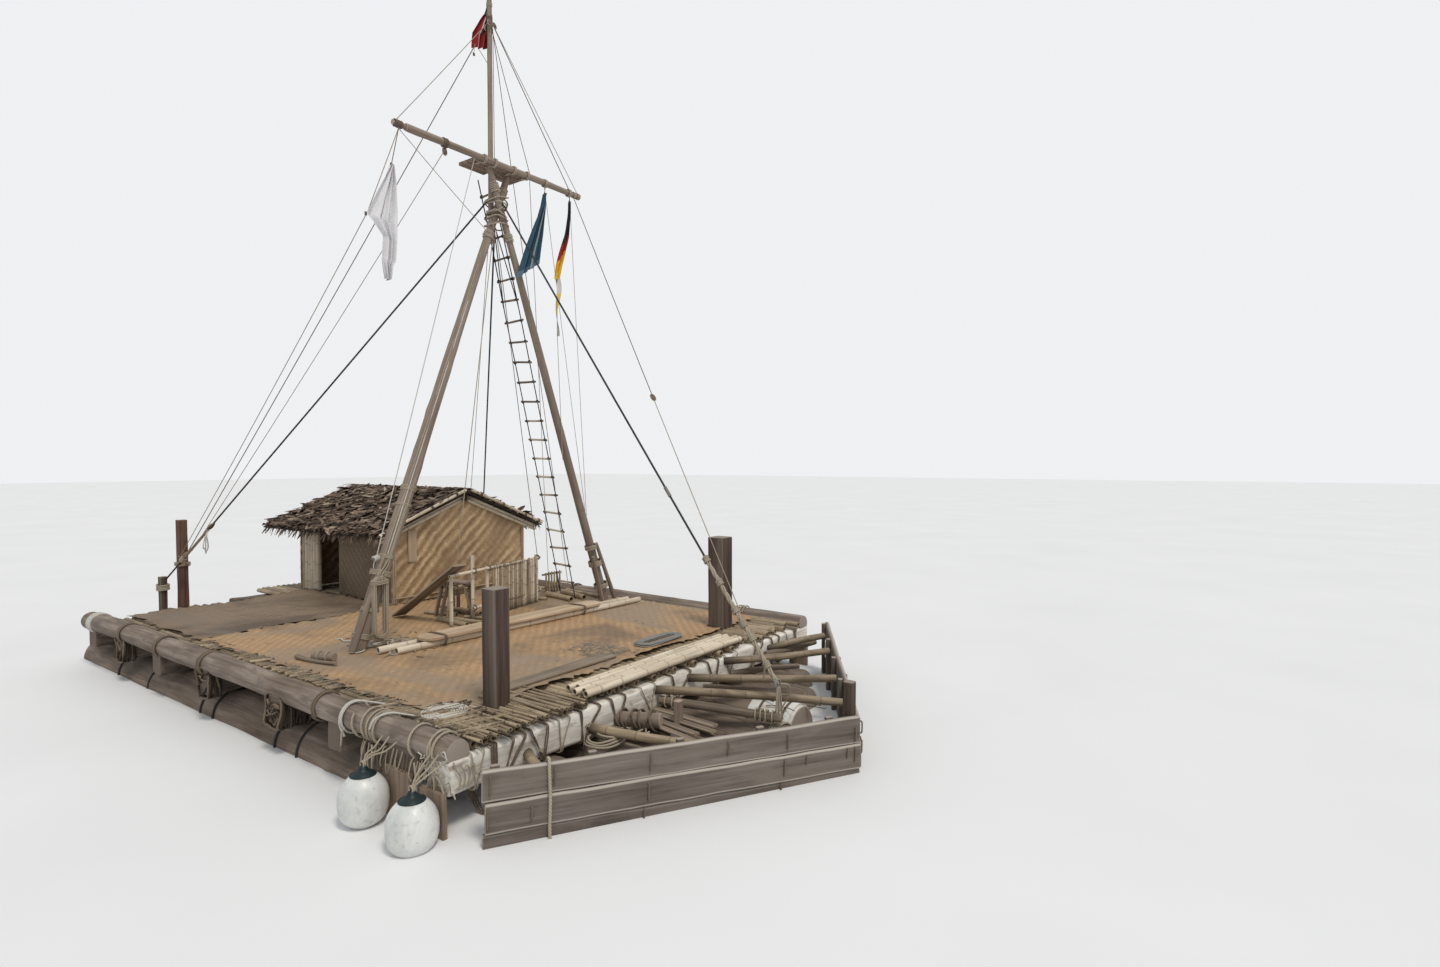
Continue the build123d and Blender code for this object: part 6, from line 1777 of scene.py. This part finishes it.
limp_flag("flag_white_cloth", "flag_white", "white_cloth",
          ((-1.285, 6.4), (-1.44, 6.085), (-1.59, 5.772), (-1.5, 5.69), (-1.405, 5.6), (-1.425, 5.34),
           (-1.4, 5.2), (-1.375, 5.12)),
          ((-1.275, 6.395), (-1.245, 6.2), (-1.235, 5.9), (-1.245, 5.55), (-1.265, 5.32), (-1.3, 5.26),
           (-1.315, 5.12), (-1.335, 5.1)), YARD_X, 0.48, 1.1, 3, 3, spread=0.8)
limp_flag("flag_blue_cloth", "flag_blue", "blue_cloth",
          ((0.955, 6.74), (0.9, 6.56), (0.78, 6.28), (0.63, 5.9), (0.48, 5.5)),
          ((0.968, 6.738), (0.975, 6.55), (0.945, 6.2), (0.905, 5.95), (0.885, 5.79)), YARD_X, 0.6, 1.05, 4,
          8)
limp_flag("flag_stripes_cloth", "flag_stripes", "stripe_cloth",
          ((1.412, 6.76), (1.385, 6.56), (1.325, 6.27), (1.245, 6.05), (1.175, 5.83), (1.14, 5.62)),
          ((1.425, 6.76), (1.44, 6.6), (1.405, 6.25), (1.33, 6.00), (1.262, 5.78), (1.215, 5.6)), YARD_X,
          0.4, 1.15, 4, 12)
# The striped flag's narrow streamer twists as it hangs
STREAMER_ROWS = 40
t = np.linspace(0, 1, STREAMER_ROWS)
mid = np.stack([YARD_X + 0.016 * np.sin(9 * t), 1.178 - 0.006 * t + 0.012 * np.sin(7 * t), 5.63 - 0.8 * t], 1)
turn, half = 0.5 + 2.6 * t, 0.036 - 0.012 * t
s = np.linspace(-1, 1, 5)
side = np.stack([np.cos(turn), np.sin(turn), np.zeros(STREAMER_ROWS)], 1)
verts = mid[:, None] + (s[None] * half[:, None])[..., None] * side[:, None]
verts[..., 0] += 0.01 * (s ** 2)[None]
streamer = cloth("flag_stripes_streamer", "streamer_cloth", verts)
RED_X = POLE_X - 0.031 - 0.045
limp_flag("flag_red_cloth", "flag_red", "red_cloth",
          ((0.345, 9.12), (0.29, 8.98), (0.2, 8.83), (0.075, 8.6), (0.062, 8.42)),
          ((0.36, 9.12), (0.395, 8.98), (0.385, 8.75), (0.35, 8.6), (0.335, 8.52)), RED_X, 0.48, 0.6, 3, 17)

# Halyards, toggles and small ties of the flags
p = Piece()
line(p, (RED_X, 0.13, 8.5), (RED_X - 0.004, 0.115, 8.37), 0.0036, 0.0, 1, 4)
wrap(p, (RED_X - 0.004, 0.115, 8.355), (0, 0, 1), 0.004, 0.006, 3, per=8, sides=6)
line(p, (YARD_X, -1.19, YARD_Z - 0.04), (YARD_X, -1.285, 6.395), 0.0052, 0.0, 0, 5)
line(p, (YARD_X, 0.962, YARD_Z - 0.03), (YARD_X, 0.962, 6.735), 0.0052, 0.0, 0, 4)
line(p, (YARD_X, 1.418, YARD_Z - 0.03), (YARD_X, 1.418, 6.755), 0.0052, 0.0, 0, 4)
line(p, (YARD_X, 1.172, 4.84), (0.72, 1.3, 3.1), 0.004, 0.002, 1, 12)
line(p, (YARD_X, 1.172, 5.62), (YARD_X, 1.172, 4.84), 0.0045, 0.0, 1, 12)
line(p, (POLE_X - 0.03, CROSS_Y, 8.9), (RED_X, 0.352, 9.115), 0.0045, 0.0, 1, 4)
line(p, (RED_X - 0.02, 0.2, 8.47), (POLE_X - 0.03, CROSS_Y - 0.01, 8.3), 0.004, 0.0, 1, 4)
for c in ((YARD_X, -1.285, 6.395), (YARD_X, 0.962, 6.735), (YARD_X, 1.418, 6.757), (RED_X, 0.352, 9.115),
          (YARD_X, -1.59, 5.772)):
    wrap(p, c, (0, 0, 1), 0.006, 0.004, 5, per=10, sides=6)
p.build("flag_halyards", ["brown_rope", "rope"], smooth=60)

# ---------------------------------------------------------------- fenders
n = Nodes("fender")
v = n.coords()
smear = n.noise(n.stretch(v, (3, 3, 1.2)), 1.6, 5.0, 0.6, 0.5)
grit = n.noise(v, 26.0, 4.0, 0.6)
color = n.mix(n.ramp(smear, [(0.44, 0.0), (0.72, 0.75)]), (0.74, 0.74, 0.72), (0.44, 0.47, 0.44))
color = n.mix(n.ramp(grit, [(0.56, 0.0), (0.74, 0.55)]), color, (0.36, 0.37, 0.33))
n.finish(color, n.ramp(smear, [(0.3, 0.22), (0.7, 0.48)]), 0.5)
n = Nodes("fender_cap")
smear = n.noise(n.coords(), 8.0, 4.0, 0.6)
n.finish(n.mix(smear, (0.004, 0.012, 0.014), (0.012, 0.03, 0.033)), 0.45, 0.4)
# Fenders: x and height of the middle, then (height, radius) of body and cap
FENDERS, FENDER_Y = ((3.12, 0.5), (3.76, 0.47)), -3.0203
p = Piece()
for x, z in FENDERS:
    profile = [(-0.222, 0.045), (-0.214, 0.066), (-0.2, 0.09), (-0.178, 0.121), (-0.15, 0.149),
               (-0.115, 0.169), (-0.07, 0.181), (-0.02, 0.184), (0.03, 0.182), (0.07, 0.174),
               (0.105, 0.159), (0.135, 0.139), (0.16, 0.116), (0.182, 0.092)]
    cap = [(0.182, 0.094), (0.194, 0.08), (0.205, 0.063), (0.214, 0.046), (0.224, 0.036), (0.236, 0.032),
           (0.248, 0.024), (0.252, 0.01)]
    for shape, material in ((profile, 0), (cap, 1)):
        h, r = np.array(shape).T
        c = np.stack([np.full(len(h), x), np.full(len(h), FENDER_Y), z + h], 1)
        xs, ys = np.repeat([[1.0, 0, 0]], len(h), 0), np.repeat([[0, 1.0, 0]], len(h), 0)
        p.sweep(c, xs, ys, r[:, None, None] * ring(40)[None], 0.5, material=material, end=False)
    for h, r in ((0.183, 0.093), (-0.206, 0.082)):
        rope(p, hoop((x, FENDER_Y, z + h), (r, 0, 0), (0, r, 0), 40), 0.0045, sides=8, closed=True,
             material=int(h > 0))
p.build("fender_bodies", ["fender", "fender_cap"], ("fenders",), smooth=55)
p = Piece()
for x, z in FENDERS:
    top = z + 0.262
    for off in (-0.006, 0.007):
        rope(p, hoop((x, FENDER_Y + off, top), (0.022, 0, 0), (0, 0, 0.022), 20), 0.0075, closed=True)
    for dx, end in ((-0.05, (x - 0.07, -2.822, 0.9)), (0.03, (x + 0.03, -2.822, 0.92)),
                    (0.1, (x + 0.14, -2.825, 0.9))):
        bend = top + (0.12 if top < 0.76 else 0.08)
        rope(p, [(x, FENDER_Y, top), (x + dx * 0.5, -2.975, top + 0.06), (x + dx, -2.9, bend), end],
             0.0072, smooth=6)
p.build("fender_lines", "rope", smooth=60)

# ---------------------------------------------------------------- deck and bow gear
# Lean plank of weathered wood, propped on the low trestle
LEAN_SLOPE, LEAN_X, LEAN_Y, LEAN_Z = 680.3 / 1169, (-0.76, 0.6), -0.33, 0.97
a = np.array([LEAN_X[0], LEAN_Y, LEAN_Z])
b = np.array([LEAN_X[1], LEAN_Y, LEAN_Z + (LEAN_X[1] - LEAN_X[0]) * LEAN_SLOPE])
up = unit((-LEAN_SLOPE, 0, 1))
p = Piece()
plank(p, a + unit(b - a) * 0.012 + up * 0.014, b + up * 0.014, 0.196, 0.028, up, edge=0.006, wave=0.006,
      tone=0.65, mark_edge=0.8)
p.build("lean_plank_wood", "old_plank", ("lean_plank",), smooth=35)

# Dark board in the window slot, painted shade of the slot's inside, and lines that run down beside the
# starboard leg
p = Piece()
plank(p, (-1.634, 0.4, 1.56), (-1.634, 0.4, 2.02), 0.15, 0.012, (1, 0, 0), wave=0.002, tone=0.2)
p.build("gable_slot_shade_board", "brown_board", smooth=35)
p = Piece()
for turn, out, z0, z1, m in ((0.55, 0.01, 2.02, 5.1, 1), (0.85, 0.012, 1.98, 5.6, 0)):
    pts = [on_leg(z0 + (z1 - z0) * k / 12, turn, out + 0.004 * math.sin(k * 1.9)) for k in range(13)]
    rope(p, pts, 0.0066, sides=6, smooth=3, material=m)
cleat = leg_point(*STBD_LEG, 1.98) + (0.03, -0.145, 0)
line(p, cleat, (0.6, -0.42, 5.6), 0.0062, 0.001, 1, 20)
line(p, (0.6, -0.42, 5.6), (YARD_X - 0.01, -0.17, YARD_Z - 0.035), 0.005, 0.0, 1, 6)
wrap(p, cleat, (0, 1, 0.3), 0.02, 0.008, 4, per=12, sides=6, material=1)
tail(p, cleat + (0.0, 0.0, -0.01), 0.1, (0.0, -0.03), 0.006, 1)
p.build("mast_leg_falls", ["rope", "pale_rope"], smooth=60)

# Low bamboo panel aft of the fence
p = Piece()
LOW_X = -0.47
for z in (MAT_TOP + 0.08, MAT_TOP + 0.3):
    bamboo(p, (LOW_X, 1.965, z), (LOW_X, 2.365, z), 0.0155, sides=10, pitch=0.24, tone=0.6)
for k in range(6):
    y = 2.02 + (2.31 - 2.02) * k / 5
    top = MAT_TOP + 0.34 + rng.uniform(-0.012, 0.0)
    bamboo(p, (LOW_X + 0.028, y, MAT_TOP + 0.001),
           (LOW_X + 0.028, y + rng.uniform(-0.004, 0.004), top), 0.0155, 0.0145, sides=10, pitch=0.2,
           hollow=(False, True), depth=0.03, tone=0.35 + 0.5 * rng.random())
    for z in (MAT_TOP + 0.08, MAT_TOP + 0.3):
        wrap(p, (LOW_X + 0.012, y, z), (0, 1, 1), 0.02, 0.0035, 2, per=10, sides=5, material=1)
p.build("bamboo_fence_low_panel", ["bamboo", "brown_rope"], smooth=50)

# The two short poles that lie by the port leg
p = Piece()
for a, b, tone in (((-0.15, 2.12), (0.47, 1.96), 0.9), ((-0.23, 1.85), (0.42, 1.74), 0.7)):
    bamboo(p, (*a, MAT_TOP + 0.0425), (*b, MAT_TOP + 0.0425), 0.0415, sides=14, pitch=0.22, tone=tone)
for a, b, r in (((-0.3, 2.32), (0.55, 2.2), 0.03), ((-0.55, 1.4), (0.02, 1.62), 0.026),
                ((0.05, -0.12), (0.62, -0.02), 0.03), ((-0.06, -0.2), (0.58, -0.22), 0.033),
                ((0.1, 0.1), (0.56, 0.24), 0.024), ((-0.5, 0.22), (0.14, 0.32), 0.034),
                ((-0.62, -0.02), (-0.08, 0.1), 0.03)):
    bamboo(p, (*a, MAT_TOP + r), (*b, MAT_TOP + r), r - 0.001, sides=12, pitch=0.2,
           tone=0.25 + 0.6 * rng.random())
p.build("stowed_short_poles", "bamboo", smooth=50)

# Splints at the port leg's foot, with their lashings
p = Piece()
log(p, (0.752, 2.33, 0.968), (0.748, 1.93, 1.86), 0.033, 0.024, rough=0.003, sides=12, step=0.08,
    knots=4, tone=0.35)
log(p, (0.765, 2.05, 0.968), (0.752, 1.86, 1.66), 0.028, 0.022, rough=0.003, sides=12, step=0.08,
    knots=3, tone=0.6)
port_run = unit(leg_point(*PORT_LEG, 3) - leg_point(*PORT_LEG, 2))
for z, count, grow in ((1.8, 4, 0.012), (1.55, 5, 0.02), (1.2, 4, 0.026)):
    c = leg_point(*PORT_LEG, z) + (0.02, -0.01, 0)
    wrap(p, c, port_run, leg_radius(z, PORT_LEG[1]) + grow, 0.008, count, material=1)
p.build("mast_leg_port_splints", ["mast", "rope"], smooth=50)

# Splint and cleat of the starboard leg
p = Piece()
log(p, on_leg(0.972, 0.9, 0.03), on_leg(1.98, 0.9, 0.018), 0.034, 0.02, rough=0.003, sides=12,
    step=0.08, knots=4, tone=0.3)
cleat_at = leg_point(*STBD_LEG, 6.02)
log(p, cleat_at + (0.0, -0.09, -0.01), cleat_at + (0.012, 0.075, 0.02), 0.014, 0.012, rough=0.001,
    sides=8, step=0.04, tone=0.3)
wrap(p, leg_point(*STBD_LEG, 1.8) + (0.008, -0.016, 0), stbd_run, leg_radius(1.8, STBD_LEG[1]) + 0.022,
     0.0075, 4, material=1)
p.build("mast_leg_stbd_splint", ["mast", "rope"], smooth=50)

# Pale log end with straps behind the splash boards, and rope gear in front of the beam
wood("pale_log", (0.52, 0.5, 0.46), (0.7, 0.69, 0.65), (0.8, 0.79, 0.76), stretch=(1.0, 14, 14),
     bump=0.3, tone=0.15, stain=(0.36, 0.24, 0.15), stain_scale=3.4, stain_at=(0.57, 0.68))
p = Piece()
WRAP_Z, RINGS = LOG_TOP - 0.292, 9
for place, x0, x1, r in ((1, 4.42, 4.92, 0.286), (-1, 4.3, 4.44, 0.282)):
    a = np.linspace(0, 2 * math.pi, 44, endpoint=False)
    c = np.stack([np.linspace(x0, x1, RINGS), np.full(RINGS, place * LOG_PITCH), np.full(RINGS, WRAP_Z)], 1)
    radii = np.full(RINGS, r)
    radii[[0, -1]] -= 0.008
    waves = (1 + 0.006 * np.sin(5 * a + place))[None, :, None]
    p.sweep(c, np.repeat([[0, 1.0, 0]], RINGS, 0), np.repeat([[0, 0, 1.0]], RINGS, 0),
            radii[:, None, None] * waves * ring(44)[None], 0.6)
p.build("bow_log_wrap", "pale_log", smooth=50)
p = Piece()
for x in (4.56, 4.84):
    for dx in (-0.007, 0.007):
        rope(p, hoop((x + dx, LOG_PITCH, WRAP_Z), (0, 0.293, 0), (0, 0, 0.293), 44), 0.0065, sides=6,
             closed=True)
p.build("bow_log_straps", "brown_rope", smooth=60)

# Stub of a log with turns round it, a short stanchion and coils on the logs
stub_a, stub_b = np.array([3.82, -0.98, LOG_TOP + 0.075]), np.array([4.24, -0.8, LOG_TOP + 0.082])
p = Piece()
log(p, stub_a, stub_b, 0.072, 0.07, rough=0.003, sides=18, step=0.05, knots=3, tone=0.4)
plank(p, (4.3, -0.62, LOG_TOP - 0.02), (4.3, -0.62, LOG_TOP + 0.235), 0.082, 0.062, (1, 0, 0),
      wave=0.003, tone=0.5)
p.build("bow_stub_and_stanchion", "mast", smooth=45)
p = Piece()
stub_run = unit(stub_b - stub_a)
for u, tilt in ((0.14, 0.5), (0.24, 0.3), (0.34, -0.4), (0.5, 0.45), (0.6, 0.2), (0.72, -0.5), (0.84, 0.3)):
    wrap(p, stub_a + (stub_b - stub_a) * u, unit(stub_run + np.array([0, 0, tilt])), 0.088, 0.0085, 1.2,
         per=22, material=1)
for k in range(3):
    r = 0.155 - 0.012 * k
    pts = hoop((4.02, -1.3, LOG_TOP + 0.014 + 0.019 * k), (r, 0, 0), (0, r + 0.05, 0), 36)
    pts[:, 2] += 0.006 * np.sin(np.linspace(0, 6 * math.pi, 36, endpoint=False) + k)
    rope(p, pts, 0.01, closed=True)
for k in range(4):
    u = unit((math.cos(k * 0.9), math.sin(k * 0.9), 0.4 * math.sin(k * 2.1)))
    v = unit(np.cross(u, (0.2, -0.1, 1)))
    r = 0.115 + 0.004 * (k % 3)
    pts = hoop((0, 0, 0), r * u, r * v, 24) * (1, 1, 0.3)
    rope(p, pts + (4.03, -1.26, LOG_TOP + 0.065), 0.011, closed=True, material=k % 2)
tr = random.Random(8)
for k in range(10):
    y = -0.55 + 0.3 * tr.random() * (1 if k % 2 else -3) - 0.2
    c = np.array([3.9 + 0.05 * tr.random(), y, LOG_TOP + 0.016])
    pts = [c]
    for _ in range(5):
        c = c + (tr.uniform(-0.01, 0.09), tr.uniform(-0.12, 0.12), 0)
        pts.append(c + (0, 0, tr.uniform(0, 0.012)))
    rope(p, pts, 0.009, sides=6, smooth=4, material=k % 2)
p.build("bow_rope_gear", ["rope", "brown_rope"], smooth=60)

# Dark bundles of cordage round the beams' starboard ends
p = Piece()
tr = random.Random(40)
for x, half_x, reach in ((1.18, 0.128, 0.3), (-0.4, 0.126, 0.14), (-2.86, 0.112, 0.12)):
    for k in range(int(reach / 0.017)):
        y = -2.797 + 0.017 * k
        w, grow = half_x + tr.uniform(-0.004, 0.016), tr.uniform(0.0, 0.02)
        a, b = tr.uniform(-0.03, 0.03), tr.uniform(-0.03, 0.03)
        loop = [(x - w, y + a, 0.61), (x - w - grow, y, 0.74), (x - w + 0.02, y + b, 0.872 + grow / 3),
                (x, y - a, 0.884), (x + w - 0.02, y - b, 0.872 + grow / 3), (x + w + grow, y, 0.74),
                (x + w, y + a, 0.61), (x + w - 0.03, y, 0.574), (x, y + b, 0.568), (x - w + 0.03, y, 0.574)]
        rope(p, loop, 0.0112, sides=6, smooth=3, closed=True, material=0 if k % 5 else 1)
    for k in range(9 if x > 1 else 3):
        z = tr.uniform(0.63, 0.84)
        rope(p, [(x - half_x * tr.uniform(0.7, 1.0), -2.8, z),
                 (x - 0.03, -2.812, z + tr.uniform(-0.08, 0.08)),
                 (x + 0.04, -2.81, z + tr.uniform(-0.08, 0.08)),
                 (x + half_x * tr.uniform(0.7, 1.0), -2.798, z + tr.uniform(-0.05, 0.05))], 0.0105,
             sides=6, smooth=4, material=k % 2)
p.build("beam_end_bundles", ["burnt_rope", "brown_rope"], smooth=60)

# Tangle that hangs under the side log's bow end
p = Piece()
for k in range(11):
    x = tr.uniform(2.62, 3.7)
    top = np.array([x, -2.8 + tr.uniform(-0.02, 0.02), 0.8])
    wide, deep = tr.uniform(0.04, 0.13), tr.uniform(0.1, 0.24)
    rope(p, [top, top + (0.2 * wide, -0.03, -0.5 * deep), top + (0.5 * wide, -0.035, -deep),
             top + (0.9 * wide, -0.03, -0.6 * deep), top + (wide, 0.0, 0.02)],
         tr.uniform(0.005, 0.0075), sides=6, smooth=5, material=k % 3 == 0)
p.build("side_log_tangle", ["rope", "brown_rope"], smooth=60)

# Ragged bamboo ends at the starboard bow corner, and frayed cane along the mat's edge
p = Piece()
tr = random.Random(21)
for k in range(30):
    y = -2.545 + 0.038 * k + tr.uniform(-0.01, 0.01)
    if y > -1.42:
        break
    x1 = 3.87 + tr.uniform(0.0, 0.075)
    x0 = x1 - tr.uniform(0.5, 1.0)
    r = tr.uniform(0.011, 0.0155)
    z = DECK_Z + 0.012 + 0.012 * (k % 2)
    bamboo(p, (x0, y + tr.uniform(-0.05, 0.05), z), (x1, y, z + tr.uniform(-0.006, 0.004)), r, sides=8,
           pitch=0.22, depth=0.03, tone=tr.random())
for k in range(34):
    x = 2.95 + 0.026 * k + tr.uniform(-0.01, 0.01)
    y0 = -2.56 + tr.uniform(-0.06, 0.02)
    bamboo(p, (x - 0.1, y0, DECK_Z + 0.026),
           (x + tr.uniform(-0.02, 0.06), y0 + tr.uniform(0.28, 0.55), DECK_Z + 0.03),
           tr.uniform(0.006, 0.01), sides=6, pitch=0.2, hollow=(False, False), tone=tr.random())
p.build("deck_corner_canes", "bamboo", smooth=50)

p = Piece()
for _ in range(210):
    x = -1.0 + 4.0 * tr.random()
    y = -2.425 + tr.uniform(-0.012, 0.012)
    ln = tr.uniform(0.05, 0.17)
    ang = tr.uniform(-0.9, 0.9)
    a = np.array([x, y + 0.05, MAT_TOP + 0.006])
    b = a + (ln * math.sin(ang), -ln * math.cos(ang), tr.uniform(-0.02, 0.025))
    straw = [a, (a + b) / 2 + (0, 0, tr.uniform(0, 0.012)), b]
    rope(p, straw, tr.uniform(0.0016, 0.0032), sides=4)
for k in range(150):
    c = np.array([tr.uniform(2.44, 3.17), tr.uniform(-0.37, 0.13), MAT_TOP + 0.007])
    ang = tr.uniform(0, 6.3)
    ln = tr.uniform(0.04, 0.13)
    e = c + (ln * math.cos(ang), ln * math.sin(ang), tr.uniform(0, 0.01))
    rope(p, [c, (c + e) / 2 + (0.01, 0.01, 0.006), e], tr.uniform(0.0018, 0.0035), sides=4, material=k % 2)
for _ in range(120):
    x = tr.uniform(-1.3, 3.4)
    c = np.array([x, tr.uniform(-2.3, 2.3), MAT_TOP + 0.005])
    ang = tr.uniform(0, 6.3)
    e = c + (0.07 * math.cos(ang), 0.07 * math.sin(ang), 0.003)
    rope(p, [c, e], tr.uniform(0.0015, 0.003), sides=4)
p.build("deck_straw", ["rope", "grey_rope"], smooth=60)

# Loose poles, boards and brushwood that lie in the bow, behind the splash boards
p = Piece()
LOW = LOG_TOP + 0.04
for a, b, r, tone in (((3.9, -0.4, 0.7), (5.1, -0.06, 0.655), 0.046, 0.2),
                      ((3.92, 0.3, 0.655), (4.72, 0.72, 0.645), 0.034, 0.7),
                      ((3.9, 0.86, 0.66), (4.36, 1.62, 0.65), 0.034, 0.5),
                      ((3.9, 1.62, 0.72), (4.15, 2.45, 0.74), 0.036, 0.3)):
    log(p, a, b, r, r * 0.9, rough=0.004, sides=14, step=0.08, bend=0.02, knots=5, tone=tone)
for k, (y0, y1, x1) in enumerate(((-0.47, -0.53, 4.66), (-0.56, -0.63, 4.72), (-0.65, -0.73, 4.6),
                                  (-0.74, -0.84, 4.68))):
    plank(p, (3.9, y0, LOW - 0.004 * k), (x1, y1, LOW - 0.014 * k), 0.082, 0.026, (0, 0.08 * k, 1),
          edge=0.006, wave=0.005, tone=0.35 + 0.15 * k, mark_edge=0.5)
tr = random.Random(77)
for _ in range(46):
    c = np.array([tr.uniform(3.93, 4.9), 0.0, LOG_TOP + 0.008])
    c[1] = tr.uniform(-0.9, 1.9) * (1 - (c[0] - 3.93) / 1.6)
    off_axis = c[1] - LOG_PITCH * round(c[1] / LOG_PITCH)
    c[2] = math.sqrt(max(0.02, 0.286 ** 2 - off_axis ** 2)) + LOG_TOP - 0.292 + 0.012
    ang, ln = tr.uniform(-0.7, 0.7), tr.uniform(0.1, 0.34)
    e = c + (ln * math.cos(ang), ln * math.sin(ang) * 0.5, tr.uniform(-0.01, 0.02))
    rope(p, [c, (c + e) / 2 + (0, 0, 0.008), e], tr.uniform(0.004, 0.009), sides=5, material=1)
for u in (0.06, 0.12, 0.8, 0.84, 0.88, 0.93):
    at = np.array([3.9, -0.4, 0.7]) + u * np.array([1.2, 0.34, -0.045])
    wrap(p, at, unit((1.2, 0.34 + 0.2 * (u - 0.5), -0.04)), 0.05, 0.008, 1.3, per=16, sides=6, material=2)
p.build("bow_loose_poles", ["old_plank", "brown_rope", "rope"], smooth=45)

# Cane ends that show between the starboard side log and the mat
p = Piece()
tr = random.Random(61)
x = -1.36
while x < 3.0:
    x += tr.uniform(0.022, 0.052)
    if math.sin(x * 2.3) + 0.5 * math.sin(x * 5.1 + 1) < -0.9:
        continue
    r = tr.uniform(0.008, 0.0145)
    y0, y1 = -2.572 + tr.uniform(0.0, 0.07), -2.36 + tr.uniform(-0.05, 0.03)
    z = DECK_Z + r + tr.uniform(0.0, 0.008)
    bamboo(p, (x + tr.uniform(-0.05, 0.02), y0, z), (x + 0.05 + tr.uniform(-0.02, 0.04), y1, z + 0.003), r,
           r * 0.95, sides=7, pitch=0.2, depth=0.02, hollow=(True, False), tone=tr.random())
p.build("deck_edge_canes", "bamboo", smooth=50)

# Low trestle of sticks, bars and a board, aft of the fence
p = Piece()
for a, b, dark in (((-0.337, -0.045, 0.972), (-0.357, 0.075, 1.373), 1),
                   ((-0.22, -0.048, 0.972), (-0.24, 0.086, 1.418), 1),
                   ((-0.148, 0.002, 0.972), (-0.168, 0.064, 1.403), 0),
                   ((-0.317, 0.217, 0.972), (-0.337, 0.212, 1.418), 1),
                   ((-0.214, 0.225, 0.972), (-0.234, 0.244, 1.412), 1),
                   ((0.125, 0.191, 0.972), (0.105, 0.085, 1.418), 0),
                   ((0.084, 0.162, 0.972), (0.064, 0.224, 1.415), 1)):
    a, b = np.array(a), np.array(b)
    if dark:
        plank(p, a, b, tr.uniform(0.05, 0.075), 0.02, (1, 0.3, 0), edge=0.005, wave=0.006,
              tone=tr.uniform(0.2, 0.7), step=0.06)
    else:
        bamboo(p, a, b, 0.015, sides=10, pitch=0.22, depth=0.02, tone=0.8, material=1)
for a, b in (((-0.43, 0.098, 1.35), (0.17, 0.106, 1.375)), ((-0.41, 0.19, 1.35), (0.14, 0.196, 1.375)),
             ((-0.33, -0.01, 1.4), (-0.33, 0.3, 1.4)), ((0.085, 0.00, 1.405), (0.07, 0.29, 1.405)),
             ((-0.41, 0.05, 1.08), (0.15, 0.14, 1.08))):
    bamboo(p, a, b, 0.019, sides=10, pitch=0.24, depth=0.02, tone=0.5, material=1)
plank(p, (-0.4, 0.145, 1.4365), (0.15, 0.145, 1.4405), 0.15, 0.026, (0, 0, 1), edge=0.006, wave=0.005,
      tone=0.9, mark_edge=0.6)
for x, y, z in ((-0.33, 0.098, 1.365), (-0.33, 0.192, 1.365), (0.083, 0.104, 1.378), (0.078, 0.194, 1.378),
                (-0.22, 0.1, 1.36), (-0.16, 0.1, 1.36)):
    wrap(p, (x, y, z), (0.6, 0.5, 0.5), 0.03, 0.005, 3, per=12, sides=6, material=2)
p.build("trestle_sticks", ["brown_board", "bamboo", "brown_rope"], smooth=40)

# Ends of line, chips and splinters round the starboard leg's foot
p = Piece()
for k in range(34):
    c = np.array([tr.gauss(0.66, 0.22), tr.gauss(-1.3, 0.15), MAT_TOP + 0.01])
    pts = [c]
    head = tr.uniform(0, 6.3)
    for _ in range(tr.randrange(4, 8)):
        head += tr.uniform(-1.1, 1.1)
        c = c + (0.055 * math.cos(head), 0.055 * math.sin(head), 0)
        pts.append(c + (0, 0, tr.uniform(0, 0.01)))
    rope(p, pts, tr.uniform(0.006, 0.0095), sides=6, smooth=4, material=k % 3 == 0)
for _ in range(60):
    c = np.array([tr.gauss(0.6, 0.3), tr.gauss(-1.2, 0.25), MAT_TOP + 0.008])
    ang, ln = tr.uniform(0, 6.3), tr.uniform(0.03, 0.1)
    e = c + (ln * math.cos(ang), ln * math.sin(ang), tr.uniform(0, 0.012))
    rope(p, [c, e], tr.uniform(0.003, 0.007), sides=4, material=2)
p.build("mast_foot_litter", ["rope", "pale_rope", "old_plank"], smooth=60)
p = Piece()
log(p, (0.56, -2.12, MAT_TOP + 0.048), (0.8, -2.02, MAT_TOP + 0.048), 0.046, 0.046, rough=0.002,
    sides=16, step=0.04, tone=0.7)
log(p, (0.36, -2.2, MAT_TOP + 0.03), (0.98, -2.1, MAT_TOP + 0.026), 0.026, 0.02, rough=0.003, sides=12,
    step=0.06, bend=0.02, knots=3, tone=0.3)
for u in (0.3, 0.7):
    wrap(p, (0.56 + 0.24 * u, -2.12 + 0.1 * u, MAT_TOP + 0.048), (0.24, 0.1, 0), 0.048, 0.005, 2,
         per=14, sides=6, material=1)
p.build("side_mat_rolls", ["old_plank", "rope"], smooth=45)
